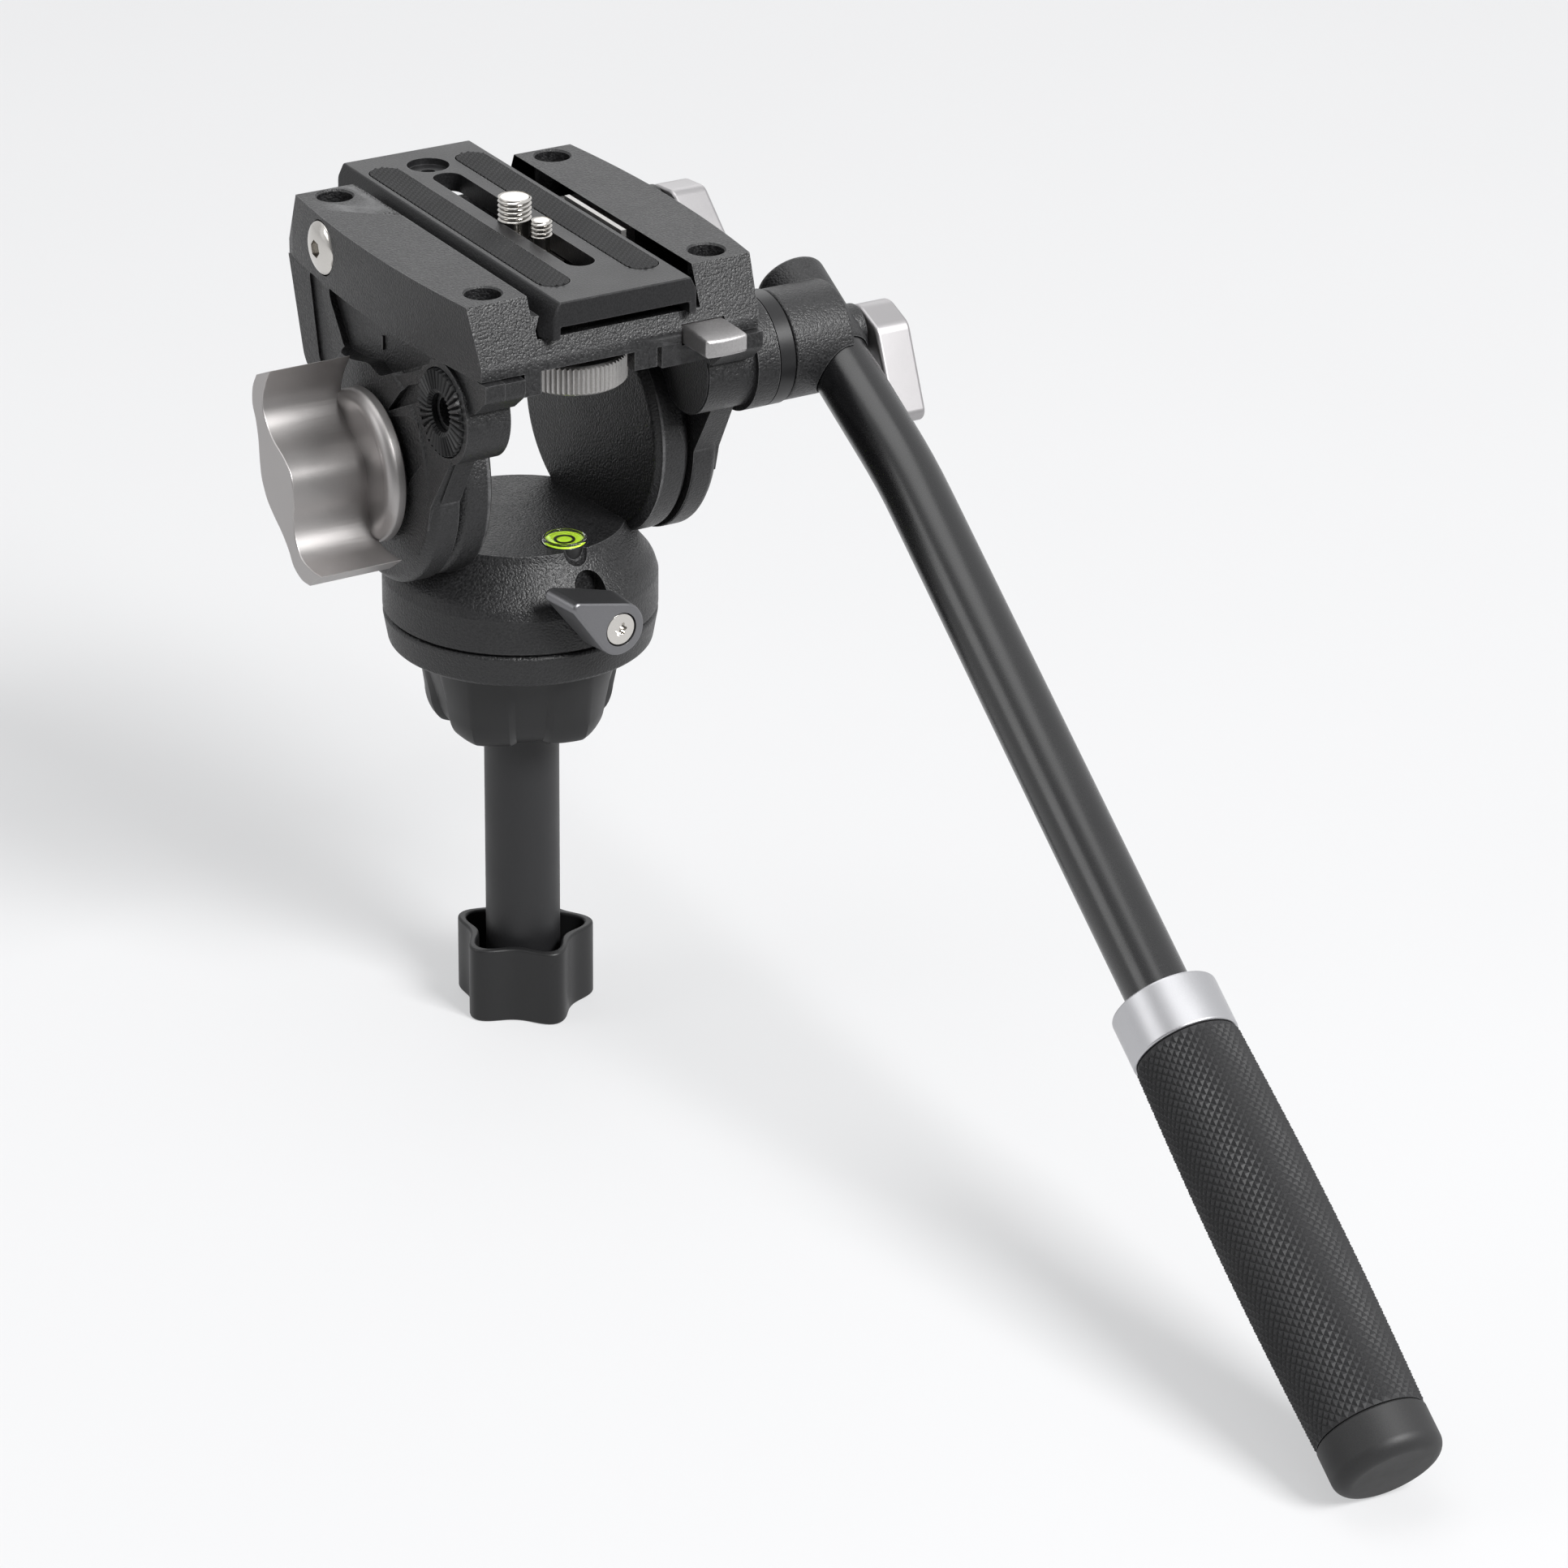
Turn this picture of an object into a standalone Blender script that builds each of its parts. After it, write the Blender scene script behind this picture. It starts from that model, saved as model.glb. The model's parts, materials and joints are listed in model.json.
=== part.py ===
"""Fluid video head on a fluted half ball, with a tie-down handle and a pan bar.

Run with: blender --background --python part.py

Frame: metres, +Z up. The pan axis is the Z axis, and Z is 0 at the underside of the tie-down
star knob, which stands on the floor with the end of the pan bar. X runs along the tilt axis:
the drag knob is at -X, the pan bar at +X, and the operator stands at -Y.
"""

import math

import bmesh
import bpy
from mathutils import Matrix, Vector

MM = 0.001

# Shared fits
SEAT_GAP = 0.3 * MM            # between pieces that rest on or in each other
RUN_GAP = 0.5 * MM             # between pieces that move past each other
CUT_OVERRUN = 2.0 * MM         # how far a cutter runs past the face it opens
MERGE = 0.01 * MM              # merge distance for welded caps
FINE_SEGMENTS = 36             # sides of large round pieces
SMALL_SEGMENTS = 18            # sides of small round pieces
TINY_SEGMENTS = 10             # sides of pins

# Tie-down star knob and its tube
STAR_LOBES = 5
STAR_TIP_RADIUS = 20.5 * MM
STAR_VALLEY_RADIUS = 15.6 * MM
STAR_WALL = 2.6 * MM
STAR_FLOOR = 4.0 * MM
STAR_HEIGHT = 23.0 * MM
STAR_FOOT_CHAMFER = 1.4 * MM
STAR_POINTS_PER_LOBE = 8
TIE_TUBE_RADIUS = 10.7 * MM
TIE_TUBE_BORE = 8.0 * MM
TIE_TUBE_LENGTH = 86.0 * MM
TIE_NUT_LENGTH = 16.0 * MM
TIE_NUT_DEPTH = 30.0 * MM      # top of the nut below the top of the tube
STUD_RADIUS = 4.8 * MM
STUD_TAIL = 8.0 * MM           # stud below the nut
STUD_GRIP = 9.0 * MM           # stud inside the pan shaft
WASHER_RADIUS = 14.6 * MM
WASHER_THICKNESS = 2.0 * MM

# Fluted half ball
BALL_RIDGES = 5
BALL_RIDGE_TURN = math.radians(14)
BALL_TOP_RADIUS = 28.9 * MM
BALL_BASE_RADIUS = 22.0 * MM
BALL_HEIGHT = 25.7 * MM
BALL_CORNER = 6.5 * MM
BALL_CORNER_DRAFT = 1.6 * MM
BALL_RECESS_DEPTH = 2.4 * MM
BALL_SCOOP_TOP = 0.7 * MM
BALL_SCOOP_BASE = 2.4 * MM

# Base disc
DISC_RADIUS = 38.8 * MM
DISC_LOWER_RADIUS = 36.6 * MM
DISC_HEIGHT = 9.6 * MM
DISC_CHAMFER = 0.8 * MM
REGISTER_DEPTH = 1.0 * MM       # recess in the underside that takes the top of the ball

# Pan shaft, brake drum and drag cartridge
SHAFT_RADIUS = 8.0 * MM
SHAFT_FLANGE_RADIUS = 14.0 * MM
SHAFT_FLANGE_HEIGHT = 3.0 * MM
SHAFT_THREAD_RADIUS = 6.0 * MM
NUT_RADIUS = 11.0 * MM
NUT_HEIGHT = 4.0 * MM
DRUM_RADIUS = 25.4 * MM
DRUM_WALL = 5.4 * MM
DRUM_HEIGHT = 11.8 * MM

# Pan body: dome and two ears
SKIRT_HEIGHT = 9.9 * MM
DOME_RISE = 16.0 * MM
DOME_SHOULDER_RADIUS = 37.6 * MM
DOME_SHOULDER_RISE = 3.4 * MM
FLOOR_RADIUS = 29.6 * MM
DRUM_ROOM = 1.0 * MM           # radial room between the drum and the pan body
PAN_WEB = 3.5 * MM
NUT_ROOM_HEIGHT = 1.4 * MM
EAR_INNER_X = 24.0 * MM
EAR_THICKNESS = 12.0 * MM
EAR_RADIUS = 33.5 * MM
EAR_CHAMFER = 2.0 * MM
AXIS_RISE = 25.0 * MM          # tilt axis above the saddle floor
CARTRIDGE_RADIUS = 23.5 * MM
CARTRIDGE_DEPTH = 8.0 * MM
BUSHING_LENGTH = 2.0 * MM
BUSHING_WALL = 2.0 * MM

# Level vial
VIAL_RADIUS = 6.2 * MM
VIAL_HEIGHT = 5.2 * MM
VIAL_PROUD = 1.4 * MM
VIAL_X = 1.9 * MM
VIAL_Y = -22.4 * MM
NOTCH_RADIUS = 4.0 * MM
NOTCH_DEPTH = 3.0 * MM
NOTCH_X = 2.2 * MM

# Pan lock lever on the front of the skirt
LOCK_AZIMUTH = math.radians(5.0)
LOCK_Z_OVER_SKIRT = -0.5 * MM
LOCK_HUB_RADIUS = 7.7 * MM
LOCK_TIP_RADIUS = 2.2 * MM
LOCK_LENGTH = 19.5 * MM
LOCK_TURN = math.radians(146)  # from the right, seen from the front
LOCK_THICKNESS = 10.5 * MM
LOCK_STANDOFF = 1.0 * MM
LOCK_FACE_SHARE = 0.82         # how far the front face is drawn in against the back
LOCK_SPINDLE_RADIUS = 3.0 * MM
LOCK_PAD_LENGTH = 3.0 * MM
LOCK_SCREW_RADIUS = 4.1 * MM
LOCK_SCREW_HEIGHT = 2.4 * MM
LOCK_SOCKET_RADIUS = 1.7 * MM
POCKET_RADIUS = 5.0 * MM
POCKET_RISE = 7.6 * MM
POCKET_DEPTH = 4.2 * MM

# Tilt cradle: cheeks
CHEEK_PLATE = 6.0 * MM
CHEEK_DISC_RADIUS = 34.0 * MM
CHEEK_DISC_PROUD = 2.6 * MM
CHEEK_DISC_CHAMFER = 2.2 * MM
CHEEK_FRONT_Y = -60.5 * MM
CHEEK_BACK_Y = 55.5 * MM
CHEEK_WAIST_Y = 47.0 * MM
CHEEK_WAIST_RISE = 14.0 * MM
CHEEK_TOE_HEIGHT = 4.6 * MM
CHEEK_FLANGE_HEIGHT = 6.0 * MM
ARM_INNER_X = 30.3 * MM
PLATFORM_RISE = 42.8 * MM      # underside of the platform above the tilt axis
CHEEK_POCKET_DEPTH = 2.0 * MM
CHEEK_POCKET_SHARES = ((0.58, 0.855), (0.41, 0.58), (0.21, 0.63), (-0.13, 0.65), (-0.38, 0.82))

# Rosettes and the axis of the pan bar clamp
ROSETTE_Y = -38.0 * MM
ROSETTE_TEETH = 30
ROSETTE_RADIUS = 12.2 * MM
ROSETTE_BORE = 5.4 * MM
ROSETTE_THICKNESS = 2.6 * MM
ROSETTE_TOOTH = 0.9 * MM
ROSETTE_PROUD = 1.3 * MM
ARM_BOSS_RADIUS = 14.4 * MM
RIGHT_BOSS_RADIUS = 16.0 * MM
RIGHT_BOSS_LENGTH = 9.5 * MM
RIGHT_RING_THICKNESS = 4.8 * MM

# Trunnions
TRUNNION_RADIUS = 8.0 * MM
COVER_RADIUS = 12.0 * MM
COVER_THICKNESS = 2.2 * MM

# Platform
PLATFORM_HEIGHT = 19.2 * MM
PLATFORM_END_HALF = 42.4 * MM
PLATFORM_MID_HALF = 46.4 * MM
PLATFORM_FRONT_TOP_Y = -51.5 * MM
PLATFORM_FRONT_LIP_Y = -58.0 * MM
PLATFORM_BACK_TOP_Y = 48.5 * MM
PLATFORM_BACK_LIP_Y = 55.0 * MM
PLATFORM_LIP_HEIGHT = 4.2 * MM
BOW_POINTS = 12
CHANNEL_HALF = 25.2 * MM
CHANNEL_DEPTH = 10.9 * MM
DOVETAIL_LIP_DEPTH = 5.0 * MM
RAIL_HOLE_X = 34.2 * MM
RAIL_HOLE_FRONT_Y = -43.8 * MM
RAIL_HOLE_BACK_Y = 42.6 * MM
RAIL_HOLE_RADIUS = 5.0 * MM
RAIL_SCREW_HEAD_RADIUS = 4.6 * MM
RAIL_SCREW_HEAD_HEIGHT = 4.0 * MM
RAIL_SCREW_SHANK_RADIUS = 2.4 * MM
RAIL_SCREW_GRIP = 7.0 * MM
RAIL_HOLE_FLOOR = 5.2 * MM     # metal left under the screw head
BLOCK_HALF = 29.4 * MM
BLOCK_DEPTH = 6.6 * MM
BLOCK_FRONT_Y = -20.0 * MM
BLOCK_BACK_Y = 45.0 * MM
TOE_BLOCK_INNER_X = -24.4 * MM
TOE_BLOCK_LENGTH = 14.0 * MM
RIB_LEFT_X = 4.0 * MM
RIB_RIGHT_X = 11.0 * MM
RIB_DEPTH = 5.4 * MM
RIB_LENGTH = 4.0 * MM
HOUSING_LEFT_X = 12.4 * MM
HOUSING_RIGHT_X = 29.4 * MM
HOUSING_LENGTH = 18.0 * MM
HOUSING_DEPTH = 6.2 * MM

# Button screw in the side of the left rail
SIDE_SCREW_Y = 29.2 * MM
SIDE_SCREW_RISE = 10.2 * MM    # above the underside of the platform
SIDE_SCREW_RADIUS = 7.6 * MM
SIDE_SCREW_DOME = 3.0 * MM
SIDE_SCREW_RIM = 0.8 * MM
SIDE_SCREW_SHANK = 4.0 * MM
SIDE_SCREW_SHANK_RADIUS = 3.0 * MM
SIDE_SCREW_SOCKET = 2.6 * MM
SIDE_SCREW_SOCKET_DEPTH = 2.2 * MM
SIDE_SEAT_DEPTH = 1.2 * MM

# Safety button and the catch pin it works
BUTTON_LEFT_X = 18.8 * MM
BUTTON_WIDTH = 12.8 * MM
BUTTON_FRONT_Y = -71.5 * MM
BUTTON_LENGTH = 24.0 * MM
BUTTON_THICKNESS = 5.4 * MM
BUTTON_TOP_OVER_LIP = 0.6 * MM
BUTTON_TRAVEL = 3.5 * MM
BUTTON_BEVEL = 1.0 * MM
CATCH_X = 15.0 * MM
CATCH_Y = -2.0 * MM
CATCH_RADIUS = 1.8 * MM
CATCH_ENGAGE = 2.1 * MM
CATCH_TAIL = 6.0 * MM

# Thumbwheel under the front of the platform
WHEEL_X = -4.0 * MM
WHEEL_Y = -38.0 * MM
WHEEL_RADIUS = 15.0 * MM
WHEEL_HEIGHT = 8.4 * MM
WHEEL_DROP = 4.0 * MM          # top of the wheel below the platform
WHEEL_RIDGES = 60
WHEEL_RIDGE_DEPTH = 0.55 * MM
WHEEL_SPINDLE_RADIUS = 3.0 * MM
WHEEL_SPINDLE_REACH = 6.0 * MM

# Camera plate
PLATE_TOP_HALF = 20.0 * MM
PLATE_BASE_HALF = 24.2 * MM
PLATE_FRONT_Y = -60.4 * MM
PLATE_LENGTH = 126.0 * MM
PLATE_FOOT = 2.0 * MM
PLATE_RECESS_HALF = 19.6 * MM
PLATE_RECESS = 2.4 * MM
PLATE_CORNER_LONG = 5.6 * MM
PLATE_CORNER_WIDE = 2.6 * MM
SLOT_HALF = 4.3 * MM
SLOT_FRONT_MARGIN = 21.4 * MM  # from the front end of the plate
SLOT_BACK_MARGIN = 21.0 * MM
HEAD_GROOVE_HALF = 7.5 * MM
HEAD_GROOVE_DEPTH = 2.8 * MM
PIN_BORE_MARGIN = 13.2 * MM
PIN_BORE_RADIUS = 6.0 * MM
PIN_BORE_DEPTH = 2.0 * MM
PIN_HOLE_RADIUS = 2.1 * MM
CATCH_GROOVE_HALF_LENGTH = 38.0 * MM
CATCH_GROOVE_DEPTH = 2.8 * MM
CATCH_GROOVE_SIDE = 0.7 * MM
PAD_CENTRE_X = 13.6 * MM
PAD_WIDTH = 9.8 * MM
PAD_FRONT_MARGIN = 11.0 * MM
PAD_BACK_MARGIN = 9.0 * MM
PAD_DEPTH = 1.0 * MM
PAD_PROUD = 0.5 * MM
PAD_END_POINTS = 6

# Camera screws
LARGE_SCREW_Y = 1.5 * MM
LARGE_THREAD_RADIUS = 4.76 * MM
LARGE_SHANK_RADIUS = 3.8 * MM
LARGE_PROTRUSION = 6.7 * MM
LARGE_PITCH = 1.34 * MM
SMALL_SCREW_Y = -13.8 * MM
SMALL_THREAD_RADIUS = 3.0 * MM
SMALL_SHANK_RADIUS = 2.3 * MM
SMALL_PROTRUSION = 4.8 * MM
SMALL_PITCH = 1.2 * MM
THREAD_DEPTH = 0.5 * MM
SCREW_HEAD_RADIUS = 6.6 * MM
SCREW_HEAD_HEIGHT = 2.3 * MM
RETAINER_THICKNESS = 1.2 * MM
RETAINER_RADIUS = 6.9 * MM

# Plate lock lever, spindle and clamp jaw
PLATE_LOCK_Y = 14.0 * MM
PLATE_LOCK_RISE = 9.8 * MM     # above the underside of the platform
PLATE_LOCK_TURN = math.radians(-26)
PLATE_LOCK_STANDOFF = 6.0 * MM
PLATE_LOCK_WIDTH = 11.0 * MM
PLATE_SPINDLE_RADIUS = 2.8 * MM
COLLAR_RADIUS = 6.6 * MM
JAW_CENTRE_Y = 4.0 * MM
JAW_LENGTH = 32.0 * MM
JAW_THICKNESS = 5.6 * MM
JAW_HEIGHT = 5.0 * MM
JAW_TRAVEL = 1.4 * MM

# Lever blade shared by the two small clamping levers
LEVER_HUB_RADIUS = 6.4 * MM
LEVER_HEEL_RADIUS = 4.6 * MM
LEVER_HEEL_Y = -6.6 * MM
LEVER_HEEL_Z = -0.6 * MM
LEVER_TIP_RADIUS = 3.2 * MM
LEVER_TIP_Y = -16.4 * MM
LEVER_TIP_Z = -20.4 * MM
LEVER_ARC_POINTS = 7

# Drag knob on the tilt axis
DRAG_GAP = 1.0 * MM
DRAG_FLANGE_RADIUS = 21.7 * MM
DRAG_FLANGE_THICKNESS = 5.0 * MM
DRAG_DISH_RADIUS = 18.6 * MM
DRAG_HUB_RADIUS = 12.5 * MM
DRAG_HUB_LENGTH = 4.4 * MM       # from the back of the flange to the wing
DRAG_WING_LENGTH = 24.1 * MM
DRAG_WING_HALF = 29.6 * MM
DRAG_WING_TURN = math.radians(60)
DRAG_WING_SHARES = ((0.97, 0.43), (0.88, 0.26), (0.74, 0.10), (0.56, 0.07), (0.38, 0.13), (0.22, 0.24),
                    (0.10, 0.30), (0.0, 0.32))
DRAG_BACK_SHARES = ((0.0, -0.34), (0.12, -0.33), (0.28, -0.27), (0.45, -0.19), (0.62, -0.14), (0.78, -0.12),
                    (0.92, -0.02), (1.0, 0.12))
DRAG_SPINDLE_RADIUS = 4.0 * MM

# Pan bar
HANDLE_HUB_RADIUS = 15.6 * MM
HANDLE_HUB_TO_AXIS = 17.2 * MM  # from the face of the hub to the axis of the sleeve
HANDLE_HUB_BEYOND = 10.8 * MM   # lever seat past the axis of the sleeve
HANDLE_HUB_OVERLAP = 1.5 * MM   # hub past the plane of the sleeve's axis
LEVER_SEAT_RADIUS = 7.0 * MM
SLEEVE_RADIUS = 10.2 * MM
SLEEVE_BACK = 21.0 * MM
SLEEVE_FRONT = 9.5 * MM
SLEEVE_CAP_CHAMFER = 2.0 * MM
BAR_RADIUS = 9.0 * MM
BAR_WALL = 1.6 * MM
BAR_START = 15.0 * MM          # tube end behind the clamp axis
BAR_DIP = math.radians(28.9)
BAR_LOWER_DIP = math.radians(32.2)
BAR_SPLAY = math.radians(3.57)
BAR_STRAIGHT = 40.8 * MM
BAR_BEND_RADIUS = 253.0 * MM
BAR_BEND_POINTS = 6
BAR_END_SHORT = 8.6 * MM       # tube end inside the grip, short of the end cap
FERRULE_START = 226.0 * MM
FERRULE_RADIUS = 14.7 * MM
FERRULE_LENGTH = 15.0 * MM
GRIP_START_RADIUS = 14.6 * MM
GRIP_MID_RADIUS = 15.9 * MM
GRIP_END_RADIUS = 15.1 * MM
GRIP_LENGTH = 113.0 * MM
CAP_LENGTH = 13.1 * MM
CAP_RADIUS = 15.0 * MM
CAP_CORNER = 4.0 * MM
CAP_PLUG_LENGTH = 8.0 * MM

# Pan bar clamp
CLAMP_LEVER_WIDTH = 11.0 * MM
CLAMP_BOLT_RADIUS = 4.0 * MM
CLAMP_BOLT_GRIP = 14.0 * MM

# Heights and places that follow from the sizes above
TIE_TUBE_Z = STAR_FLOOR + SEAT_GAP
TIE_TUBE_TOP = TIE_TUBE_Z + TIE_TUBE_LENGTH
WASHER_Z = TIE_TUBE_TOP + SEAT_GAP
WASHER_TOP = WASHER_Z + WASHER_THICKNESS
BALL_Z = WASHER_TOP + SEAT_GAP - BALL_RECESS_DEPTH
BALL_TOP = BALL_Z + BALL_HEIGHT
DISC_Z = BALL_TOP + SEAT_GAP - REGISTER_DEPTH
SHAFT_Z = BALL_TOP + 2 * SEAT_GAP
DISC_TOP = DISC_Z + DISC_HEIGHT
PAN_Z = DISC_TOP + RUN_GAP
SKIRT_TOP = PAN_Z + SKIRT_HEIGHT
FLOOR_Z = SKIRT_TOP + DOME_RISE
AXIS_Z = FLOOR_Z + AXIS_RISE
PLATFORM_Z = AXIS_Z + PLATFORM_RISE
PLATFORM_TOP = PLATFORM_Z + PLATFORM_HEIGHT
CHANNEL_Z = PLATFORM_TOP - CHANNEL_DEPTH
PLATE_Z = CHANNEL_Z + SEAT_GAP
PLATE_TOP = PLATFORM_TOP
EAR_OUTER_X = EAR_INNER_X + EAR_THICKNESS
CHEEK_INNER_X = EAR_OUTER_X + RUN_GAP
CHEEK_OUTER_X = CHEEK_INNER_X + CHEEK_PLATE
CHEEK_FACE_X = CHEEK_OUTER_X + CHEEK_DISC_PROUD
ROSETTE_RISE = PLATFORM_RISE - 2 * SEAT_GAP - ARM_BOSS_RADIUS
ROSETTE_Z = AXIS_Z + ROSETTE_RISE
RIGHT_BOSS_X = CHEEK_OUTER_X + RIGHT_BOSS_LENGTH
RING_X = RIGHT_BOSS_X + SEAT_GAP
HUB_X = RING_X + RIGHT_RING_THICKNESS + RUN_GAP
SLEEVE_X = HUB_X + HANDLE_HUB_TO_AXIS
HUB_END_X = SLEEVE_X + HANDLE_HUB_BEYOND
LOCK_Z = SKIRT_TOP + LOCK_Z_OVER_SKIRT
PLATE_LOCK_Z = PLATFORM_Z + PLATE_LOCK_RISE
DRUM_Z = DISC_TOP + SEAT_GAP
DRUM_TOP = DRUM_Z + DRUM_HEIGHT
WEB_Z = DRUM_TOP + RUN_GAP
WEB_TOP = WEB_Z + PAN_WEB
NUT_Z = WEB_TOP + RUN_GAP
NUT_TOP = NUT_Z + NUT_HEIGHT
PLATE_BACK_Y = PLATE_FRONT_Y + PLATE_LENGTH
SLOT_FRONT_Y = PLATE_FRONT_Y + SLOT_FRONT_MARGIN
SLOT_BACK_Y = PLATE_BACK_Y - SLOT_BACK_MARGIN
PIN_BORE_Y = PLATE_BACK_Y - PIN_BORE_MARGIN
PAD_FRONT_Y = PLATE_FRONT_Y + PAD_FRONT_MARGIN
PAD_BACK_Y = PLATE_BACK_Y - PAD_BACK_MARGIN
GRIP_START = FERRULE_START + FERRULE_LENGTH + SEAT_GAP
CAP_START = GRIP_START + GRIP_LENGTH + SEAT_GAP
BAR_LENGTH = CAP_START - BAR_END_SHORT

BLACK_PAINT = ("black_paint", (0.018, 0.018, 0.020), 0.55, 0.0)
BLACK_PLASTIC = ("black_plastic", (0.022, 0.022, 0.024), 0.45, 0.0)
BLACK_TUBE = ("black_anodised", (0.015, 0.015, 0.016), 0.35, 0.6)
RUBBER = ("rubber", (0.030, 0.030, 0.032), 0.85, 0.0)
SILVER = ("satin_silver", (0.42, 0.41, 0.41), 0.38, 0.9)
GREY_METAL = ("grey_metal", (0.20, 0.20, 0.205), 0.40, 0.8)
STEEL = ("bright_steel", (0.62, 0.60, 0.58), 0.25, 1.0)
BRASS = ("brass", (0.60, 0.42, 0.18), 0.35, 1.0)
VIAL_GREEN = ("vial_green", (0.55, 0.85, 0.05), 0.10, 0.0)

ALONG_X = (math.pi / 2, 0, math.pi / 2)
ALONG_Y = (math.pi / 2, 0, 0)
ALONG_Z = (0, 0, 0)


def clear_scene():
    """Remove every object of the scene."""
    for item in list(bpy.data.objects):
        bpy.data.objects.remove(item, do_unlink=True)


def make_collection(name):
    """Return a new collection linked to the scene."""
    collection = bpy.data.collections.new(name)
    bpy.context.scene.collection.children.link(collection)
    return collection


def make_material(finish):
    """Return the material of a finish, made once."""
    name, colour, roughness, metallic = finish
    material = bpy.data.materials.get(name)
    if material is None:
        material = bpy.data.materials.new(name)
        material.use_nodes = True
        shader = material.node_tree.nodes["Principled BSDF"]
        shader.inputs["Base Color"].default_value = (*colour, 1)
        shader.inputs["Roughness"].default_value = roughness
        shader.inputs["Metallic"].default_value = metallic
        material.diffuse_color = (*colour, 1)
    return material


def move_to(item, collection):
    """Keep an object in one collection only."""
    for home in list(item.users_collection):
        home.objects.unlink(item)
    collection.objects.link(item)


def as_part(item, name, finish, parent=None):
    """Name an object, give it its finish and hang it on its joint's empty."""
    item.name = name
    item.data.name = name
    item.data.materials.clear()
    item.data.materials.append(make_material(finish))
    move_to(item, PARTS)
    if item.type == "MESH":
        item.data.shade_smooth()
        item.data.set_sharp_from_angle(angle=math.radians(35))
    if parent is not None:
        bpy.context.view_layer.update()
        world = item.matrix_world.copy()
        item.parent = parent
        item.matrix_parent_inverse = parent.matrix_world.inverted()
        item.matrix_world = world
    return item


def as_tool(item, name):
    """Keep an object as a hidden cutter or joined shape."""
    item.name = name
    item.hide_render = True
    item.display_type = "WIRE"
    move_to(item, CUTTERS)
    return item


def joint_empty(name, place, parent=None):
    """Return an empty on a joint's axis."""
    empty = bpy.data.objects.new(name, None)
    empty.location = place
    PARTS.objects.link(empty)
    if parent is not None:
        bpy.context.view_layer.update()
        empty.parent = parent
        empty.matrix_parent_inverse = parent.matrix_world.inverted()
    bpy.context.view_layer.update()
    return empty


def apply_scale(item):
    """Write an object's scale into its mesh."""
    item.data.transform(Matrix.Diagonal((*item.scale, 1)))
    item.scale = (1, 1, 1)


def box(low, high):
    """Return a box between two corners."""
    centre = [(a + b) / 2 for a, b in zip(low, high)]
    bpy.ops.mesh.primitive_cube_add(size=1, location=centre)
    item = bpy.context.active_object
    item.scale = [b - a for a, b in zip(low, high)]
    apply_scale(item)
    return item


def cylinder(radius, start, end, centre, axis, sides):
    """Return a cylinder along X, Y or Z from start to end, through a centre on the other axes."""
    middle = list(centre)
    index = "XYZ".index(axis)
    middle.insert(index, (start + end) / 2)
    turn = {"X": (0, math.pi / 2, 0), "Y": ALONG_Y, "Z": ALONG_Z}[axis]
    bpy.ops.mesh.primitive_cylinder_add(vertices=sides, radius=radius, depth=abs(end - start),
                                        location=middle, rotation=turn)
    return bpy.context.active_object


def turned(profile, place, rotation, sides):
    """Return a turned solid: a profile of (radius, height) points, run down its outer side."""
    mesh = bpy.data.meshes.new("profile")
    points = [(radius, 0, height) for radius, height in profile]
    mesh.from_pydata(points, [(i, i + 1) for i in range(len(points) - 1)], [])
    item = bpy.data.objects.new("turned", mesh)
    CUTTERS.objects.link(item)
    item.location = place
    item.rotation_euler = rotation
    screw = item.modifiers.new("Turn", "SCREW")
    screw.steps = sides
    screw.render_steps = sides
    screw.use_merge_vertices = True
    screw.merge_threshold = MERGE
    return item


def ring(outer, inner, low, high, place, rotation, sides, chamfer=0):
    """Return a turned ring or, with no bore, a disc."""
    profile = [(inner, high), (outer - chamfer, high), (outer, high - chamfer), (outer, low + chamfer),
               (outer - chamfer, low), (inner, low)]
    if chamfer == 0:
        profile = [(inner, high), (outer, high), (outer, low), (inner, low)]
    if inner > 0:
        profile.append(profile[0])
    return turned(profile, place, rotation, sides)


def curve_to_mesh(curve_object):
    """Replace a curve object with a welded mesh object in the same place."""
    bpy.context.view_layer.update()
    evaluated = curve_object.evaluated_get(bpy.context.evaluated_depsgraph_get())
    mesh = bpy.data.meshes.new_from_object(evaluated)
    working = bmesh.new()
    working.from_mesh(mesh)
    bmesh.ops.remove_doubles(working, verts=working.verts, dist=MERGE)
    bmesh.ops.recalc_face_normals(working, faces=working.faces)
    working.to_mesh(mesh)
    working.free()
    item = bpy.data.objects.new(curve_object.name, mesh)
    CUTTERS.objects.link(item)
    item.matrix_world = curve_object.matrix_world
    bpy.data.objects.remove(curve_object, do_unlink=True)
    return item


def outline(points, start, end, centre, rotation):
    """Return a flat outline drawn from start to end along the axis that rotation gives it."""
    curve = bpy.data.curves.new("outline", "CURVE")
    curve.dimensions = "2D"
    curve.fill_mode = "BOTH"
    curve.extrude = abs(end - start) / 2
    spline = curve.splines.new("POLY")
    spline.points.add(len(points) - 1)
    for spot, (across, up) in zip(spline.points, points):
        spot.co = (across, up, 0, 1)
    spline.use_cyclic_u = True
    item = bpy.data.objects.new("outline", curve)
    CUTTERS.objects.link(item)
    item.rotation_euler = rotation
    turn = item.rotation_euler.to_matrix()
    item.location = Vector(centre) + turn @ Vector((0, 0, (start + end) / 2))
    return curve_to_mesh(item)


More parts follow.
